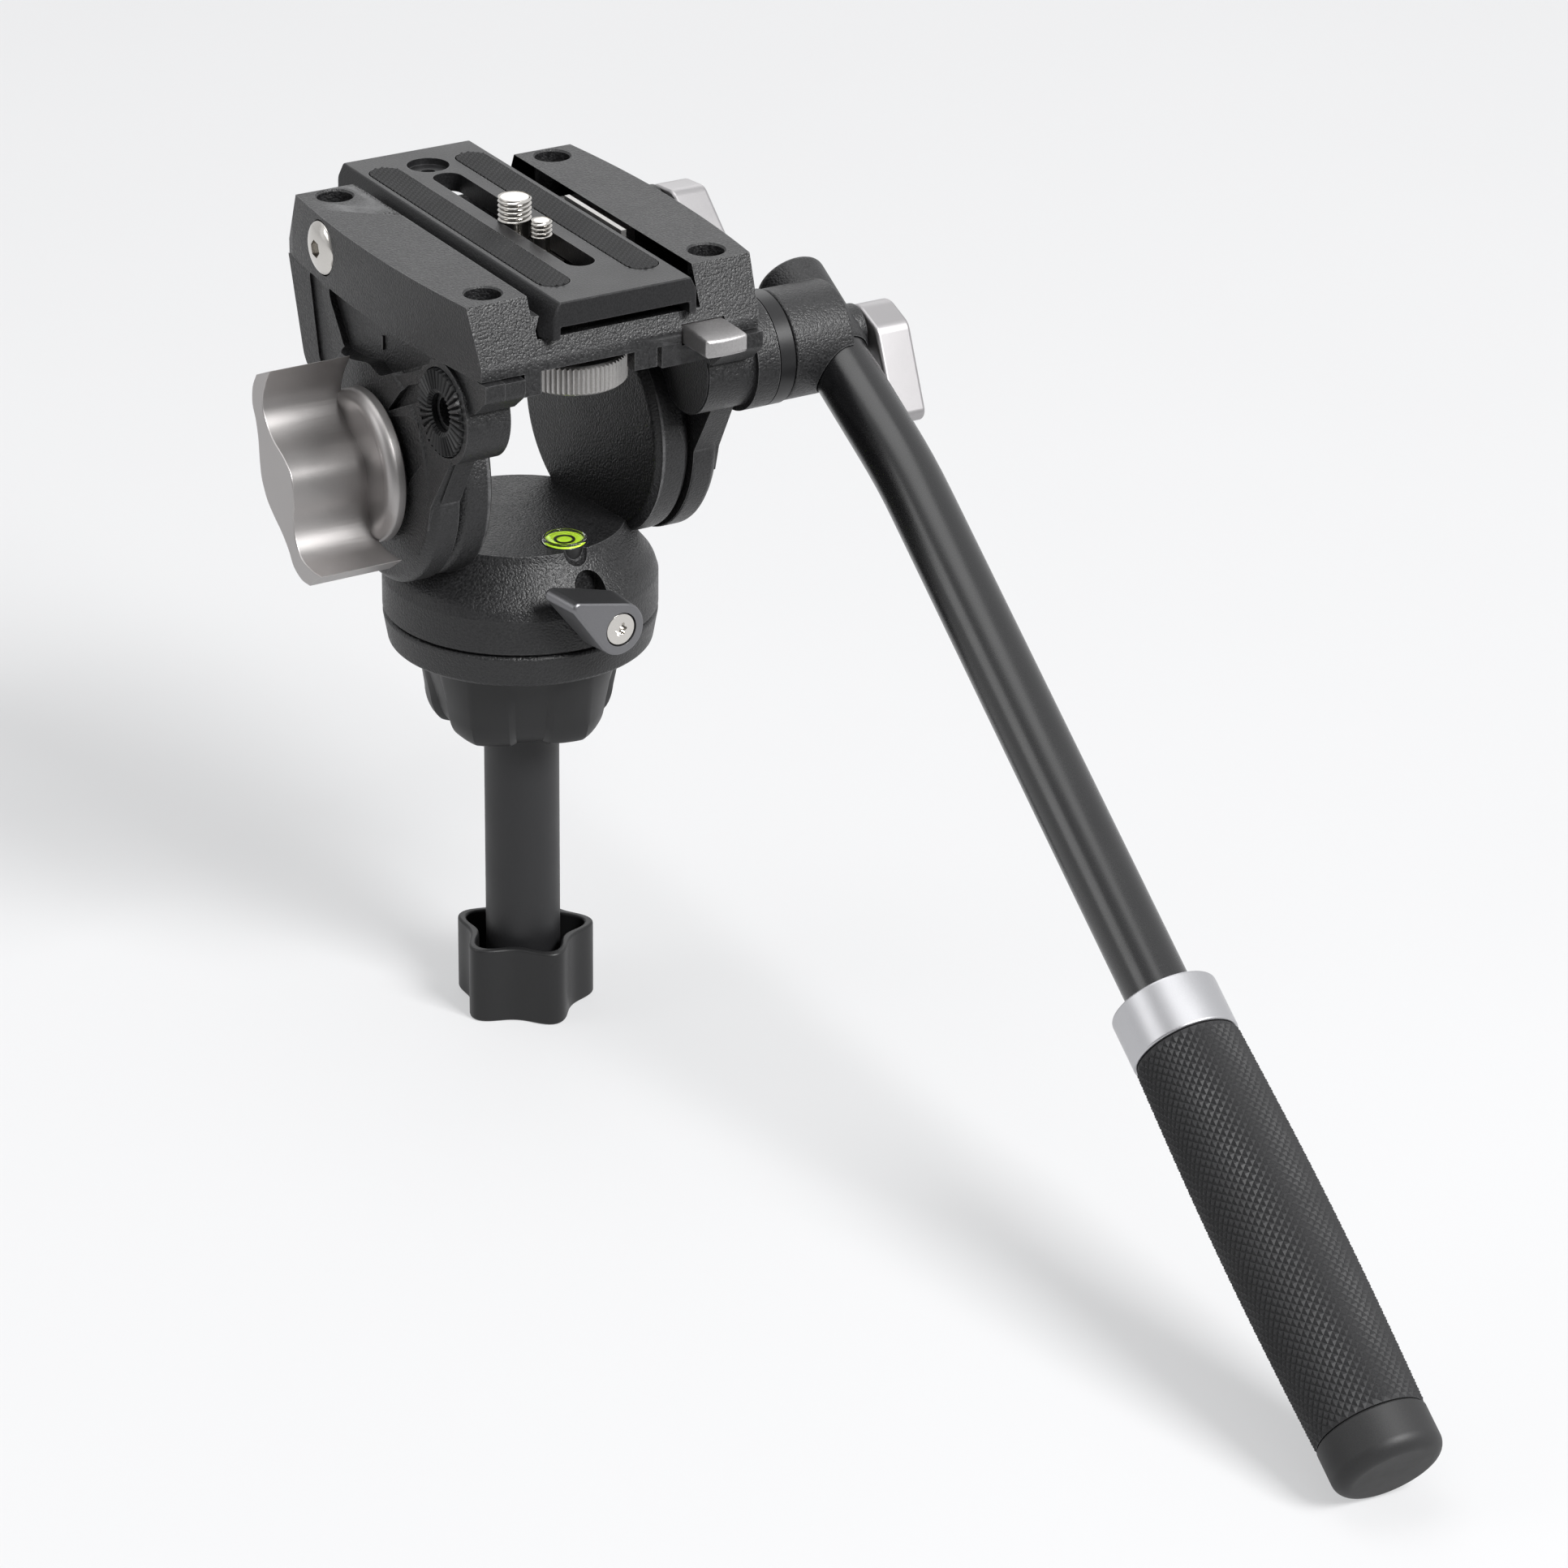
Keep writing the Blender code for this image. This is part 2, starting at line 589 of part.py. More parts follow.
def swept(points, radius, sides_step):
    """Return a round tube along points, with filled ends."""
    curve = bpy.data.curves.new("sweep", "CURVE")
    curve.dimensions = "3D"
    curve.bevel_depth = radius
    curve.bevel_resolution = sides_step
    curve.use_fill_caps = True
    spline = curve.splines.new("POLY")
    spline.points.add(len(points) - 1)
    for spot, place in zip(spline.points, points):
        spot.co = (*place, 1)
    item = bpy.data.objects.new("sweep", curve)
    CUTTERS.objects.link(item)
    return curve_to_mesh(item)


def arc(centre, radius, start, end, count):
    """Return points along an arc, with angles in radians."""
    return [(centre[0] + radius * math.cos(start + (end - start) * i / (count - 1)),
             centre[1] + radius * math.sin(start + (end - start) * i / (count - 1))) for i in range(count)]


def boolean(item, other, operation, name):
    """Cut, join or intersect an object with a tool object."""
    as_tool(other, name)
    modifier = item.modifiers.new(name, "BOOLEAN")
    modifier.object = other
    modifier.operation = operation
    return item


def cut(item, other, name):
    """Cut a tool out of an object."""
    return boolean(item, other, "DIFFERENCE", name)


def join(item, other, name):
    """Join a tool to an object."""
    return boolean(item, other, "UNION", name)


def star_outline(tip, valley, lobes, per_lobe, turn):
    """Return a wavy closed outline with round lobes."""
    count = lobes * per_lobe
    middle = (tip + valley) / 2
    swing = (tip - valley) / 2
    points = []
    for i in range(count):
        angle = 2 * math.pi * i / count
        wave = math.cos(lobes * angle)
        radius = middle + swing * (wave - (1 - wave * wave) / lobes)
        points.append((radius * math.cos(angle + turn), radius * math.sin(angle + turn)))
    return points


def hull_outline(circles, per_arc):
    """Return the outline round three circles given counter-clockwise as (y, z, radius)."""
    points = []
    count = len(circles)
    for i in range(count):
        before = circles[i - 1]
        here = circles[i]
        after = circles[(i + 1) % count]
        start = tangent_angle(before, here)
        end = tangent_angle(here, after)
        while end < start:
            end += 2 * math.pi
        points.extend(arc((here[0], here[1]), here[2], start, end, per_arc))
    return points


def tangent_angle(first, second):
    """Return the angle of the outer tangent's normal between two circles."""
    across = second[0] - first[0]
    up = second[1] - first[1]
    distance = math.hypot(across, up)
    return math.atan2(up, across) - math.pi / 2 + math.asin((second[2] - first[2]) / distance) * -1


def rotate_points(points, angle):
    """Return outline points turned about the origin."""
    return [(a * math.cos(angle) - b * math.sin(angle), a * math.sin(angle) + b * math.cos(angle))
            for a, b in points]


def build_tie_down():
    """Star knob, tube, nut insert and thrust washer below the half ball."""
    turn = joint_empty("tie_turn_axis", (0, 0, 0))
    lobe_turn = -math.pi / 2
    tip = STAR_TIP_RADIUS
    knob = outline(star_outline(tip, STAR_VALLEY_RADIUS, STAR_LOBES, STAR_POINTS_PER_LOBE, lobe_turn),
                   0, STAR_HEIGHT, (0, 0, 0), ALONG_Z)
    foot = turned([(0, STAR_HEIGHT + CUT_OVERRUN), (tip + CUT_OVERRUN, STAR_HEIGHT + CUT_OVERRUN),
                   (tip + CUT_OVERRUN, CUT_OVERRUN + STAR_FOOT_CHAMFER),
                   (tip - STAR_FOOT_CHAMFER, 0), (0, 0)], (0, 0, 0), ALONG_Z, FINE_SEGMENTS)
    boolean(knob, foot, "INTERSECT", "star_foot")
    hollow = outline(star_outline(tip - STAR_WALL, STAR_VALLEY_RADIUS - STAR_WALL, STAR_LOBES,
                                  STAR_POINTS_PER_LOBE, lobe_turn),
                     STAR_FLOOR, STAR_HEIGHT + CUT_OVERRUN, (0, 0, 0), ALONG_Z)
    cut(knob, hollow, "star_hollow")
    as_part(knob, "star_knob", BLACK_PLASTIC, turn)

    tube = ring(TIE_TUBE_RADIUS, TIE_TUBE_BORE, TIE_TUBE_Z, TIE_TUBE_TOP, (0, 0, 0), ALONG_Z,
                FINE_SEGMENTS)
    as_part(tube, "tie_tube", BLACK_TUBE, turn)

    nut_top = TIE_TUBE_TOP - TIE_NUT_DEPTH
    nut = ring(TIE_TUBE_BORE - SEAT_GAP, STUD_RADIUS + SEAT_GAP, nut_top - TIE_NUT_LENGTH, nut_top,
               (0, 0, 0), ALONG_Z, SMALL_SEGMENTS)
    as_part(nut, "tube_nut", BRASS, turn)

    washer = ring(WASHER_RADIUS, STUD_RADIUS + RUN_GAP, WASHER_Z, WASHER_TOP, (0, 0, 0), ALONG_Z,
                  SMALL_SEGMENTS)
    as_part(washer, "thrust_washer", STEEL)


def build_half_ball():
    """Half ball whose sides are scooped between ridges, deeper towards its base."""
    drop = BALL_HEIGHT
    shoulder = BALL_TOP_RADIUS - BALL_CORNER_DRAFT
    corner = [(BALL_BASE_RADIUS + (shoulder - BALL_BASE_RADIUS) * math.cos(a),
               BALL_CORNER * (1 - math.sin(a)))
              for a in (0, math.pi / 6, math.pi / 3, math.pi / 2)]
    profile = [(0, drop), (BALL_TOP_RADIUS, drop)] + corner + [(0, 0)]
    ball = turned(profile, (0, 0, BALL_Z), ALONG_Z, BALL_RIDGES * STAR_POINTS_PER_LOBE)
    ball_mesh = mesh_of(ball)
    for spot in ball_mesh.data.vertices:
        radius = math.hypot(spot.co.x, spot.co.y)
        if radius > 0:
            angle = math.atan2(spot.co.y, spot.co.x) + math.pi / 2 - BALL_RIDGE_TURN
            depth = BALL_SCOOP_BASE + (BALL_SCOOP_TOP - BALL_SCOOP_BASE) * spot.co.z / drop
            scoop = depth * (1 - math.cos(BALL_RIDGES * angle)) / 2
            spot.co.x *= (radius - scoop) / radius
            spot.co.y *= (radius - scoop) / radius
    recess = cylinder(WASHER_RADIUS + RUN_GAP, BALL_Z - CUT_OVERRUN, BALL_Z + BALL_RECESS_DEPTH, (0, 0),
                      "Z",
                      SMALL_SEGMENTS)
    cut(ball_mesh, recess, "ball_recess")
    bore = cylinder(STUD_RADIUS + SEAT_GAP, BALL_Z - CUT_OVERRUN, BALL_TOP + CUT_OVERRUN, (0, 0), "Z",
                    TINY_SEGMENTS)
    cut(ball_mesh, bore, "ball_bore")
    as_part(ball_mesh, "half_ball", BLACK_PAINT)


def mesh_of(item):
    """Return a plain mesh object made from an object with modifiers."""
    bpy.context.view_layer.update()
    evaluated = item.evaluated_get(bpy.context.evaluated_depsgraph_get())
    mesh = bpy.data.meshes.new_from_object(evaluated)
    copy = bpy.data.objects.new(item.name, mesh)
    CUTTERS.objects.link(copy)
    copy.matrix_world = item.matrix_world
    bpy.data.objects.remove(item, do_unlink=True)
    return copy


def build_base():
    """Base disc, pan shaft, stud, brake drum, drag cartridge and retaining nut."""
    flange_room = SHAFT_FLANGE_RADIUS + SEAT_GAP
    flange_top = SHAFT_Z + SHAFT_FLANGE_HEIGHT
    register = BALL_TOP_RADIUS + SEAT_GAP
    register_z = DISC_Z + REGISTER_DEPTH
    disc = turned([(SHAFT_RADIUS + SEAT_GAP, DISC_TOP), (DISC_RADIUS - DISC_CHAMFER, DISC_TOP),
                   (DISC_RADIUS, DISC_TOP - DISC_CHAMFER),
                   (DISC_LOWER_RADIUS + DISC_CHAMFER, DISC_Z + DISC_CHAMFER), (DISC_LOWER_RADIUS, DISC_Z),
                   (register, DISC_Z), (register, register_z), (flange_room, register_z),
                   (flange_room, flange_top + SEAT_GAP),
                   (SHAFT_RADIUS + SEAT_GAP, flange_top + SEAT_GAP), (SHAFT_RADIUS + SEAT_GAP, DISC_TOP)],
                  (0, 0, 0), ALONG_Z, FINE_SEGMENTS)
    as_part(disc, "base_disc", BLACK_PAINT)

    shaft_bottom = SHAFT_Z
    bore = STUD_RADIUS + SEAT_GAP
    bore_top = shaft_bottom + STUD_GRIP + SEAT_GAP
    shaft = turned([(0, NUT_TOP), (SHAFT_THREAD_RADIUS, NUT_TOP), (SHAFT_THREAD_RADIUS, WEB_TOP),
                    (SHAFT_RADIUS, WEB_TOP), (SHAFT_RADIUS, flange_top), (SHAFT_FLANGE_RADIUS, flange_top),
                    (SHAFT_FLANGE_RADIUS, shaft_bottom), (bore, shaft_bottom), (bore, bore_top),
                    (0, bore_top)],
                   (0, 0, 0), ALONG_Z, SMALL_SEGMENTS)
    as_part(shaft, "pan_shaft", STEEL)

    stud_bottom = TIE_TUBE_TOP - TIE_NUT_DEPTH - TIE_NUT_LENGTH - STUD_TAIL
    stud = ring(STUD_RADIUS, 0, stud_bottom, shaft_bottom + STUD_GRIP, (0, 0, 0), ALONG_Z, TINY_SEGMENTS)
    as_part(stud, "tie_stud", STEEL)

    drum = ring(DRUM_RADIUS, DRUM_RADIUS - DRUM_WALL, DRUM_Z, DRUM_TOP, (0, 0, 0), ALONG_Z, FINE_SEGMENTS)
    as_part(drum, "brake_drum", STEEL)
    cartridge = ring(DRUM_RADIUS - DRUM_WALL - SEAT_GAP, SHAFT_RADIUS + SEAT_GAP, DRUM_Z, DRUM_TOP,
                     (0, 0, 0),
                     ALONG_Z, SMALL_SEGMENTS)
    as_part(cartridge, "pan_drag_cartridge", BLACK_PLASTIC)
    nut = ring(NUT_RADIUS, SHAFT_THREAD_RADIUS + SEAT_GAP, NUT_Z, NUT_TOP, (0, 0, 0), ALONG_Z,
               SMALL_SEGMENTS)
    as_part(nut, "pan_retaining_nut", STEEL)


def lock_frame():
    """Return the placement of the pan lock axis: local Z points out of the front of the skirt."""
    out = Vector((math.sin(LOCK_AZIMUTH), -math.cos(LOCK_AZIMUTH), 0))
    side = Vector((math.cos(LOCK_AZIMUTH), math.sin(LOCK_AZIMUTH), 0))
    frame = Matrix((side, Vector((0, 0, 1)), out)).transposed().to_4x4()
    return Matrix.Translation((0, 0, LOCK_Z)) @ frame


def place_on(item, frame):
    """Carry an object built round the origin into a frame."""
    bpy.context.view_layer.update()
    item.matrix_world = frame @ item.matrix_world
    return item


def build_pan_body(pan):
    """Dome with its two ears, and what it holds."""
    cavity = DRUM_RADIUS + DRUM_ROOM
    shaft_room = SHAFT_RADIUS + RUN_GAP
    nut_room = NUT_RADIUS + RUN_GAP
    nut_room_top = NUT_TOP + NUT_ROOM_HEIGHT
    profile = [(0, FLOOR_Z), (FLOOR_RADIUS, FLOOR_Z), (DOME_SHOULDER_RADIUS,
                                                       SKIRT_TOP + DOME_SHOULDER_RISE),
               (DISC_RADIUS, SKIRT_TOP), (DISC_RADIUS, PAN_Z), (cavity, PAN_Z), (cavity, WEB_Z),
               (shaft_room, WEB_Z),
               (shaft_room, WEB_TOP), (nut_room, WEB_TOP), (nut_room, nut_room_top), (0, nut_room_top)]
    body = turned(profile, (0, 0, 0), ALONG_Z, FINE_SEGMENTS)
    vial_bottom = FLOOR_Z + VIAL_PROUD - VIAL_HEIGHT
    cut(body, cylinder(VIAL_RADIUS + SEAT_GAP, vial_bottom - SEAT_GAP, FLOOR_Z + CUT_OVERRUN, (VIAL_X, VIAL_Y),
                       "Z",
                       SMALL_SEGMENTS), "vial_seat")
    notch_y = -FLOOR_RADIUS
    cut(body, cylinder(NOTCH_RADIUS, FLOOR_Z - NOTCH_DEPTH, FLOOR_Z + CUT_OVERRUN, (NOTCH_X, notch_y), "Z",
                       TINY_SEGMENTS), "vial_notch")
    frame = lock_frame()
    spindle_hole = place_on(cylinder(LOCK_SPINDLE_RADIUS + RUN_GAP, DRUM_RADIUS, DISC_RADIUS + CUT_OVERRUN,
                                     (0, 0),
                                     "Z", TINY_SEGMENTS), frame)
    pocket_in = DISC_RADIUS - POCKET_DEPTH
    pocket_out = DISC_RADIUS + CUT_OVERRUN
    pocket_points = (arc((0, POCKET_RISE), POCKET_RADIUS, 0, math.pi, STAR_POINTS_PER_LOBE)
                     + arc((0, 0), POCKET_RADIUS, math.pi, 2 * math.pi, STAR_POINTS_PER_LOBE))
    pocket = place_on(outline(pocket_points, pocket_in, pocket_out, (0, 0, 0), ALONG_Z), frame)
    cut(body, pocket, "lever_pocket")
    cut(body, spindle_hole, "spindle_hole")
    for side, word in ((-1, "left"), (1, "right")):
        low = min(side * EAR_INNER_X, side * EAR_OUTER_X)
        high = max(side * EAR_INNER_X, side * EAR_OUTER_X)
        ear = ring(EAR_RADIUS, 0, low, high, (0, 0, AXIS_Z), (0, math.pi / 2, 0), FINE_SEGMENTS,
                   EAR_CHAMFER)
        join(body, ear, word + "_ear")
        bushing_room = TRUNNION_RADIUS + RUN_GAP + BUSHING_WALL + SEAT_GAP
        cartridge_room = CARTRIDGE_RADIUS + SEAT_GAP
        mouth = EAR_OUTER_X + CUT_OVERRUN
        step = EAR_OUTER_X - CARTRIDGE_DEPTH
        end = step - BUSHING_LENGTH - SEAT_GAP
        room = turned([(0, mouth), (cartridge_room, mouth), (cartridge_room, step), (bushing_room, step),
                       (bushing_room, end), (0, end)], (0, 0, AXIS_Z), (0, side * math.pi / 2, 0),
                      FINE_SEGMENTS)
        cut(body, room, word + "_ear_room")
    as_part(body, "pan_body", BLACK_PAINT, pan)

    vial = ring(VIAL_RADIUS, 0, vial_bottom, vial_bottom + VIAL_HEIGHT, (VIAL_X, VIAL_Y, 0), ALONG_Z,
                SMALL_SEGMENTS,
                SEAT_GAP)
    as_part(vial, "level_vial", VIAL_GREEN, pan)

    for side, word, name, finish in ((-1, "left", "tilt_drag_cartridge", BLACK_PLASTIC),
                                     (1, "right", "counterbalance_cartridge", STEEL)):
        deep = side * (EAR_OUTER_X - CARTRIDGE_DEPTH + SEAT_GAP)
        face = side * (EAR_OUTER_X - SEAT_GAP)
        cartridge = ring(CARTRIDGE_RADIUS, TRUNNION_RADIUS + RUN_GAP, min(deep, face), max(deep, face),
                         (0, 0, AXIS_Z), (0, math.pi / 2, 0), SMALL_SEGMENTS)
        as_part(cartridge, name, finish, pan)
        inner = side * (EAR_OUTER_X - CARTRIDGE_DEPTH - BUSHING_LENGTH)
        outer = side * (EAR_OUTER_X - CARTRIDGE_DEPTH)
        bushing = ring(TRUNNION_RADIUS + RUN_GAP + BUSHING_WALL, TRUNNION_RADIUS + RUN_GAP,
                       min(inner, outer),
                       max(inner, outer), (0, 0, AXIS_Z), (0, math.pi / 2, 0), SMALL_SEGMENTS)
        as_part(bushing, word + "_tilt_bushing", BRASS, pan)


def build_pan_lock(pan):
    """Teardrop lever, its screw and spindle, and the pad it presses on the drum."""
    frame = lock_frame()
    turn = joint_empty("pan_lock_axis", frame.translation, pan)
    back = DISC_RADIUS + LOCK_STANDOFF
    front = back + LOCK_THICKNESS
    tip = (LOCK_LENGTH * math.cos(LOCK_TURN), LOCK_LENGTH * math.sin(LOCK_TURN))
    drop = hull_pair(LOCK_HUB_RADIUS, tip, LOCK_TIP_RADIUS)
    lever = outline(drop, back, front, (0, 0, 0), ALONG_Z)
    for spot in lever.data.vertices:
        if spot.co.z > 0:
            share = LOCK_FACE_SHARE + (1 - LOCK_FACE_SHARE) * (1 - min(1, math.hypot(spot.co.x, spot.co.y)
                                                                     / LOCK_LENGTH))
            spot.co.x *= share
            spot.co.y *= share
    seat = cylinder(LOCK_SCREW_RADIUS + SEAT_GAP, front - LOCK_SCREW_HEIGHT - SEAT_GAP, front + CUT_OVERRUN,
                    (0, 0), "Z", SMALL_SEGMENTS)
    cut(lever, seat, "lever_screw_seat")
    bore = cylinder(LOCK_SPINDLE_RADIUS + SEAT_GAP, back - CUT_OVERRUN, front, (0, 0), "Z", TINY_SEGMENTS)
    cut(lever, bore, "lever_bore")
    for tool in (lever, seat, bore):
        place_on(tool, frame)
    as_part(lever, "pan_lock_lever", GREY_METAL, turn)

    screw = cylinder(LOCK_SCREW_RADIUS, front - LOCK_SCREW_HEIGHT, front - SEAT_GAP, (0, 0), "Z",
                     SMALL_SEGMENTS)
    socket = cylinder(LOCK_SOCKET_RADIUS, front - LOCK_SCREW_HEIGHT / 2, front + CUT_OVERRUN, (0, 0), "Z",
                      6)
    cut(screw, socket, "lock_screw_socket")
    for tool in (screw, socket):
        place_on(tool, frame)
    as_part(screw, "pan_lock_screw", STEEL, turn)

    pad_face = DRUM_RADIUS + SEAT_GAP
    pad_back = pad_face + LOCK_PAD_LENGTH
    spindle = place_on(cylinder(LOCK_SPINDLE_RADIUS, pad_back + RUN_GAP,
                                front - LOCK_SCREW_HEIGHT - SEAT_GAP,
                                (0, 0), "Z", TINY_SEGMENTS), frame)
    as_part(spindle, "pan_lock_spindle", STEEL, turn)

    slide = joint_empty("pan_lock_pad_axis", frame.translation, pan)
    pad = place_on(cylinder(LOCK_SPINDLE_RADIUS, pad_face, pad_back, (0, 0), "Z", TINY_SEGMENTS), frame)
    as_part(pad, "pan_lock_pad", BRASS, slide)


def hull_pair(radius, tip, tip_radius):
    """Return the outline round a circle at the origin and a smaller one at its tip."""
    distance = math.hypot(*tip)
    heading = math.atan2(tip[1], tip[0])
    spread = math.acos((radius - tip_radius) / distance)
    first = arc((0, 0), radius, heading + spread, heading + 2 * math.pi - spread, 2 * STAR_POINTS_PER_LOBE)
    return first + arc(tip, tip_radius, heading - spread, heading + spread, LEVER_ARC_POINTS)


def front_edge(inset):
    """Return the front edge of a cheek: its toe, and the arc round its rosette boss."""
    radius = ARM_BOSS_RADIUS - SEAT_GAP - inset
    front = CHEEK_FRONT_Y + inset
    top = PLATFORM_RISE - SEAT_GAP - inset
    start = math.radians(160)
    bend = (ROSETTE_Y + radius * math.cos(start) - CHEEK_PLATE / 2, ROSETTE_RISE + radius * math.sin(start))
    boss = arc((ROSETTE_Y, ROSETTE_RISE), radius, start, math.radians(248), STAR_POINTS_PER_LOBE)
    return [(front, top), (front, top - CHEEK_TOE_HEIGHT), bend] + boss


def cheek_outline():
    """Return the side view of a cheek round the tilt axis."""
    radius = CHEEK_DISC_RADIUS - SEAT_GAP
    waist = (CHEEK_WAIST_Y, CHEEK_WAIST_RISE)
    touch = math.atan2(waist[1], waist[0]) - math.acos(radius / math.hypot(*waist))
    disc = arc((0, 0), radius, math.radians(182), touch + 2 * math.pi, 2 * STAR_POINTS_PER_LOBE)
    return front_edge(0) + disc + [waist, (CHEEK_BACK_Y, PLATFORM_RISE - SEAT_GAP)]


def arm_outline():
    """Return the side view of the thick upper part of a cheek."""
    inset = SEAT_GAP
    top = PLATFORM_RISE - SEAT_GAP - inset
    flange = top - CHEEK_FLANGE_HEIGHT
    radius = ARM_BOSS_RADIUS - SEAT_GAP - inset
    behind = arc((ROSETTE_Y, ROSETTE_RISE), radius, math.radians(256), math.radians(290), LEVER_ARC_POINTS)
    back = CHEEK_BACK_Y - inset
    slope = (CHEEK_BACK_Y - CHEEK_WAIST_Y) / (PLATFORM_RISE - CHEEK_WAIST_RISE)
    return front_edge(inset) + behind + [(ROSETTE_Y + ARM_BOSS_RADIUS, flange),
                                         (back - slope * CHEEK_FLANGE_HEIGHT - inset, flange), (back, top)]


def build_cheeks(tilt):
    """Left and right cheeks with their rosettes and trunnions."""
    for side, word in ((-1, "left"), (1, "right")):
        inner = side * CHEEK_INNER_X
        outer = side * CHEEK_OUTER_X
        face = side * CHEEK_FACE_X
        cheek = outline(cheek_outline(), min(inner, outer), max(inner, outer), (0, 0, AXIS_Z), ALONG_X)
        within = side * (CHEEK_INNER_X + 2 * CHEEK_PLATE / 3)
        arm = outline(arm_outline(), min(side * ARM_INNER_X, within), max(side * ARM_INNER_X, within),
                      (0, 0, AXIS_Z), ALONG_X)
        boss_end = side * (CHEEK_FACE_X - ROSETTE_PROUD)
        if side > 0:
            boss_end = RIGHT_BOSS_X - RIGHT_BOSS_LENGTH / 2
            join(arm, cylinder(RIGHT_BOSS_RADIUS, CHEEK_FACE_X, RIGHT_BOSS_X, (ROSETTE_Y, ROSETTE_Z), "X",
                               FINE_SEGMENTS), "right_outer_boss")
        join(arm, cylinder(ARM_BOSS_RADIUS, side * (ARM_INNER_X + SEAT_GAP), boss_end,
                           (ROSETTE_Y, ROSETTE_Z), "X",
                           FINE_SEGMENTS), word + "_boss")
        cut(arm, cylinder(EAR_RADIUS + RUN_GAP, side * ARM_INNER_X - side * CUT_OVERRUN,
                          inner + side * CHEEK_PLATE / 3, (0, AXIS_Z), "X", FINE_SEGMENTS),
            word + "_ear_clearance")
        join(cheek, arm, word + "_arm")
        disc = disc_with_chamfer(CHEEK_DISC_RADIUS, inner, face)
        join(cheek, disc, word + "_cheek_disc")
        cut(cheek, cylinder(TRUNNION_RADIUS + SEAT_GAP, inner - side * CUT_OVERRUN,
                            face + side * CUT_OVERRUN,
                            (0, AXIS_Z), "X", SMALL_SEGMENTS), word + "_trunnion_hole")
        pocket = [(y * CHEEK_BACK_Y, z * PLATFORM_RISE) for y, z in CHEEK_POCKET_SHARES]
        cut(cheek, outline(pocket, min(outer - side * CHEEK_POCKET_DEPTH, outer + side * CUT_OVERRUN),
                           max(outer - side * CHEEK_POCKET_DEPTH, outer + side * CUT_OVERRUN),
                           (0, 0, AXIS_Z), ALONG_X), word + "_pocket")
        for y in (RAIL_HOLE_FRONT_Y, RAIL_HOLE_BACK_Y):
            top = PLATFORM_Z + CUT_OVERRUN
            cut(cheek, cylinder(RAIL_SCREW_SHANK_RADIUS + SEAT_GAP, PLATFORM_Z - RAIL_SCREW_GRIP, top,
                                (side * RAIL_HOLE_X, y), "Z", TINY_SEGMENTS), word + "_screw_hole")
        if side < 0:
            seat = boss_end + ROSETTE_THICKNESS - ROSETTE_PROUD
            cut(cheek, cylinder(ROSETTE_RADIUS + SEAT_GAP, seat, boss_end - CUT_OVERRUN,
                                (ROSETTE_Y, ROSETTE_Z),
                                "X", FINE_SEGMENTS), "left_rosette_seat")
            cut(cheek, cylinder(CLAMP_BOLT_RADIUS, seat + CHEEK_PLATE, seat - CUT_OVERRUN,
                                (ROSETTE_Y, ROSETTE_Z), "X", TINY_SEGMENTS), "left_rosette_hole")
        else:
            bolt_end = HUB_X - CLAMP_BOLT_GRIP
            cut(cheek, cylinder(CLAMP_BOLT_RADIUS + RUN_GAP, bolt_end - CUT_OVERRUN,
                                RIGHT_BOSS_X + CUT_OVERRUN,
                                (ROSETTE_Y, ROSETTE_Z), "X", TINY_SEGMENTS), "right_bolt_hole")
            cut(cheek, cylinder(COVER_RADIUS + SEAT_GAP, CHEEK_FACE_X - COVER_THICKNESS,
                                CHEEK_FACE_X + CUT_OVERRUN,
                                (0, AXIS_Z), "X", SMALL_SEGMENTS), "cover_seat")
        as_part(cheek, word + "_cheek", BLACK_PAINT, tilt)

    left_face = -(CHEEK_FACE_X - ROSETTE_PROUD) - ROSETTE_PROUD
    toothed_ring("left_rosette", left_face, left_face + ROSETTE_THICKNESS - SEAT_GAP, ROSETTE_RADIUS, tilt)
    right_ring = ring(RIGHT_BOSS_RADIUS, ROSETTE_BORE, RING_X, RING_X + RIGHT_RING_THICKNESS,
                      (0, ROSETTE_Y, ROSETTE_Z), (0, math.pi / 2, 0), FINE_SEGMENTS)
    as_part(right_ring, "right_rosette", BLACK_PAINT, tilt)

    deep = EAR_OUTER_X - CARTRIDGE_DEPTH - BUSHING_LENGTH
    left = ring(TRUNNION_RADIUS, DRAG_SPINDLE_RADIUS + SEAT_GAP, -CHEEK_FACE_X + SEAT_GAP, -deep,
                (0, 0, AXIS_Z), (0, math.pi / 2, 0), SMALL_SEGMENTS)
    as_part(left, "left_trunnion", STEEL, tilt)
    right = ring(TRUNNION_RADIUS, 0, deep, CHEEK_FACE_X - COVER_THICKNESS - SEAT_GAP, (0, 0, AXIS_Z),
                 (0, math.pi / 2, 0), SMALL_SEGMENTS)
    as_part(right, "right_trunnion", STEEL, tilt)
    cover = ring(COVER_RADIUS, 0, CHEEK_FACE_X - COVER_THICKNESS + SEAT_GAP, CHEEK_FACE_X, (0, 0, AXIS_Z),
                 (0, math.pi / 2, 0), SMALL_SEGMENTS)
    as_part(cover, "pivot_cover", BLACK_PLASTIC, tilt)


def disc_with_chamfer(radius, inner, face):
    """Return a disc along X whose outer rim is chamfered."""
    side = 1 if face > 0 else -1
    rim = face - side * CHEEK_DISC_CHAMFER
    profile = [(0, face), (radius - CHEEK_DISC_CHAMFER, face), (radius, rim), (radius, inner), (0, inner)]
    if side < 0:
        profile.reverse()
    return turned(profile, (0, 0, AXIS_Z), (0, math.pi / 2, 0), FINE_SEGMENTS)


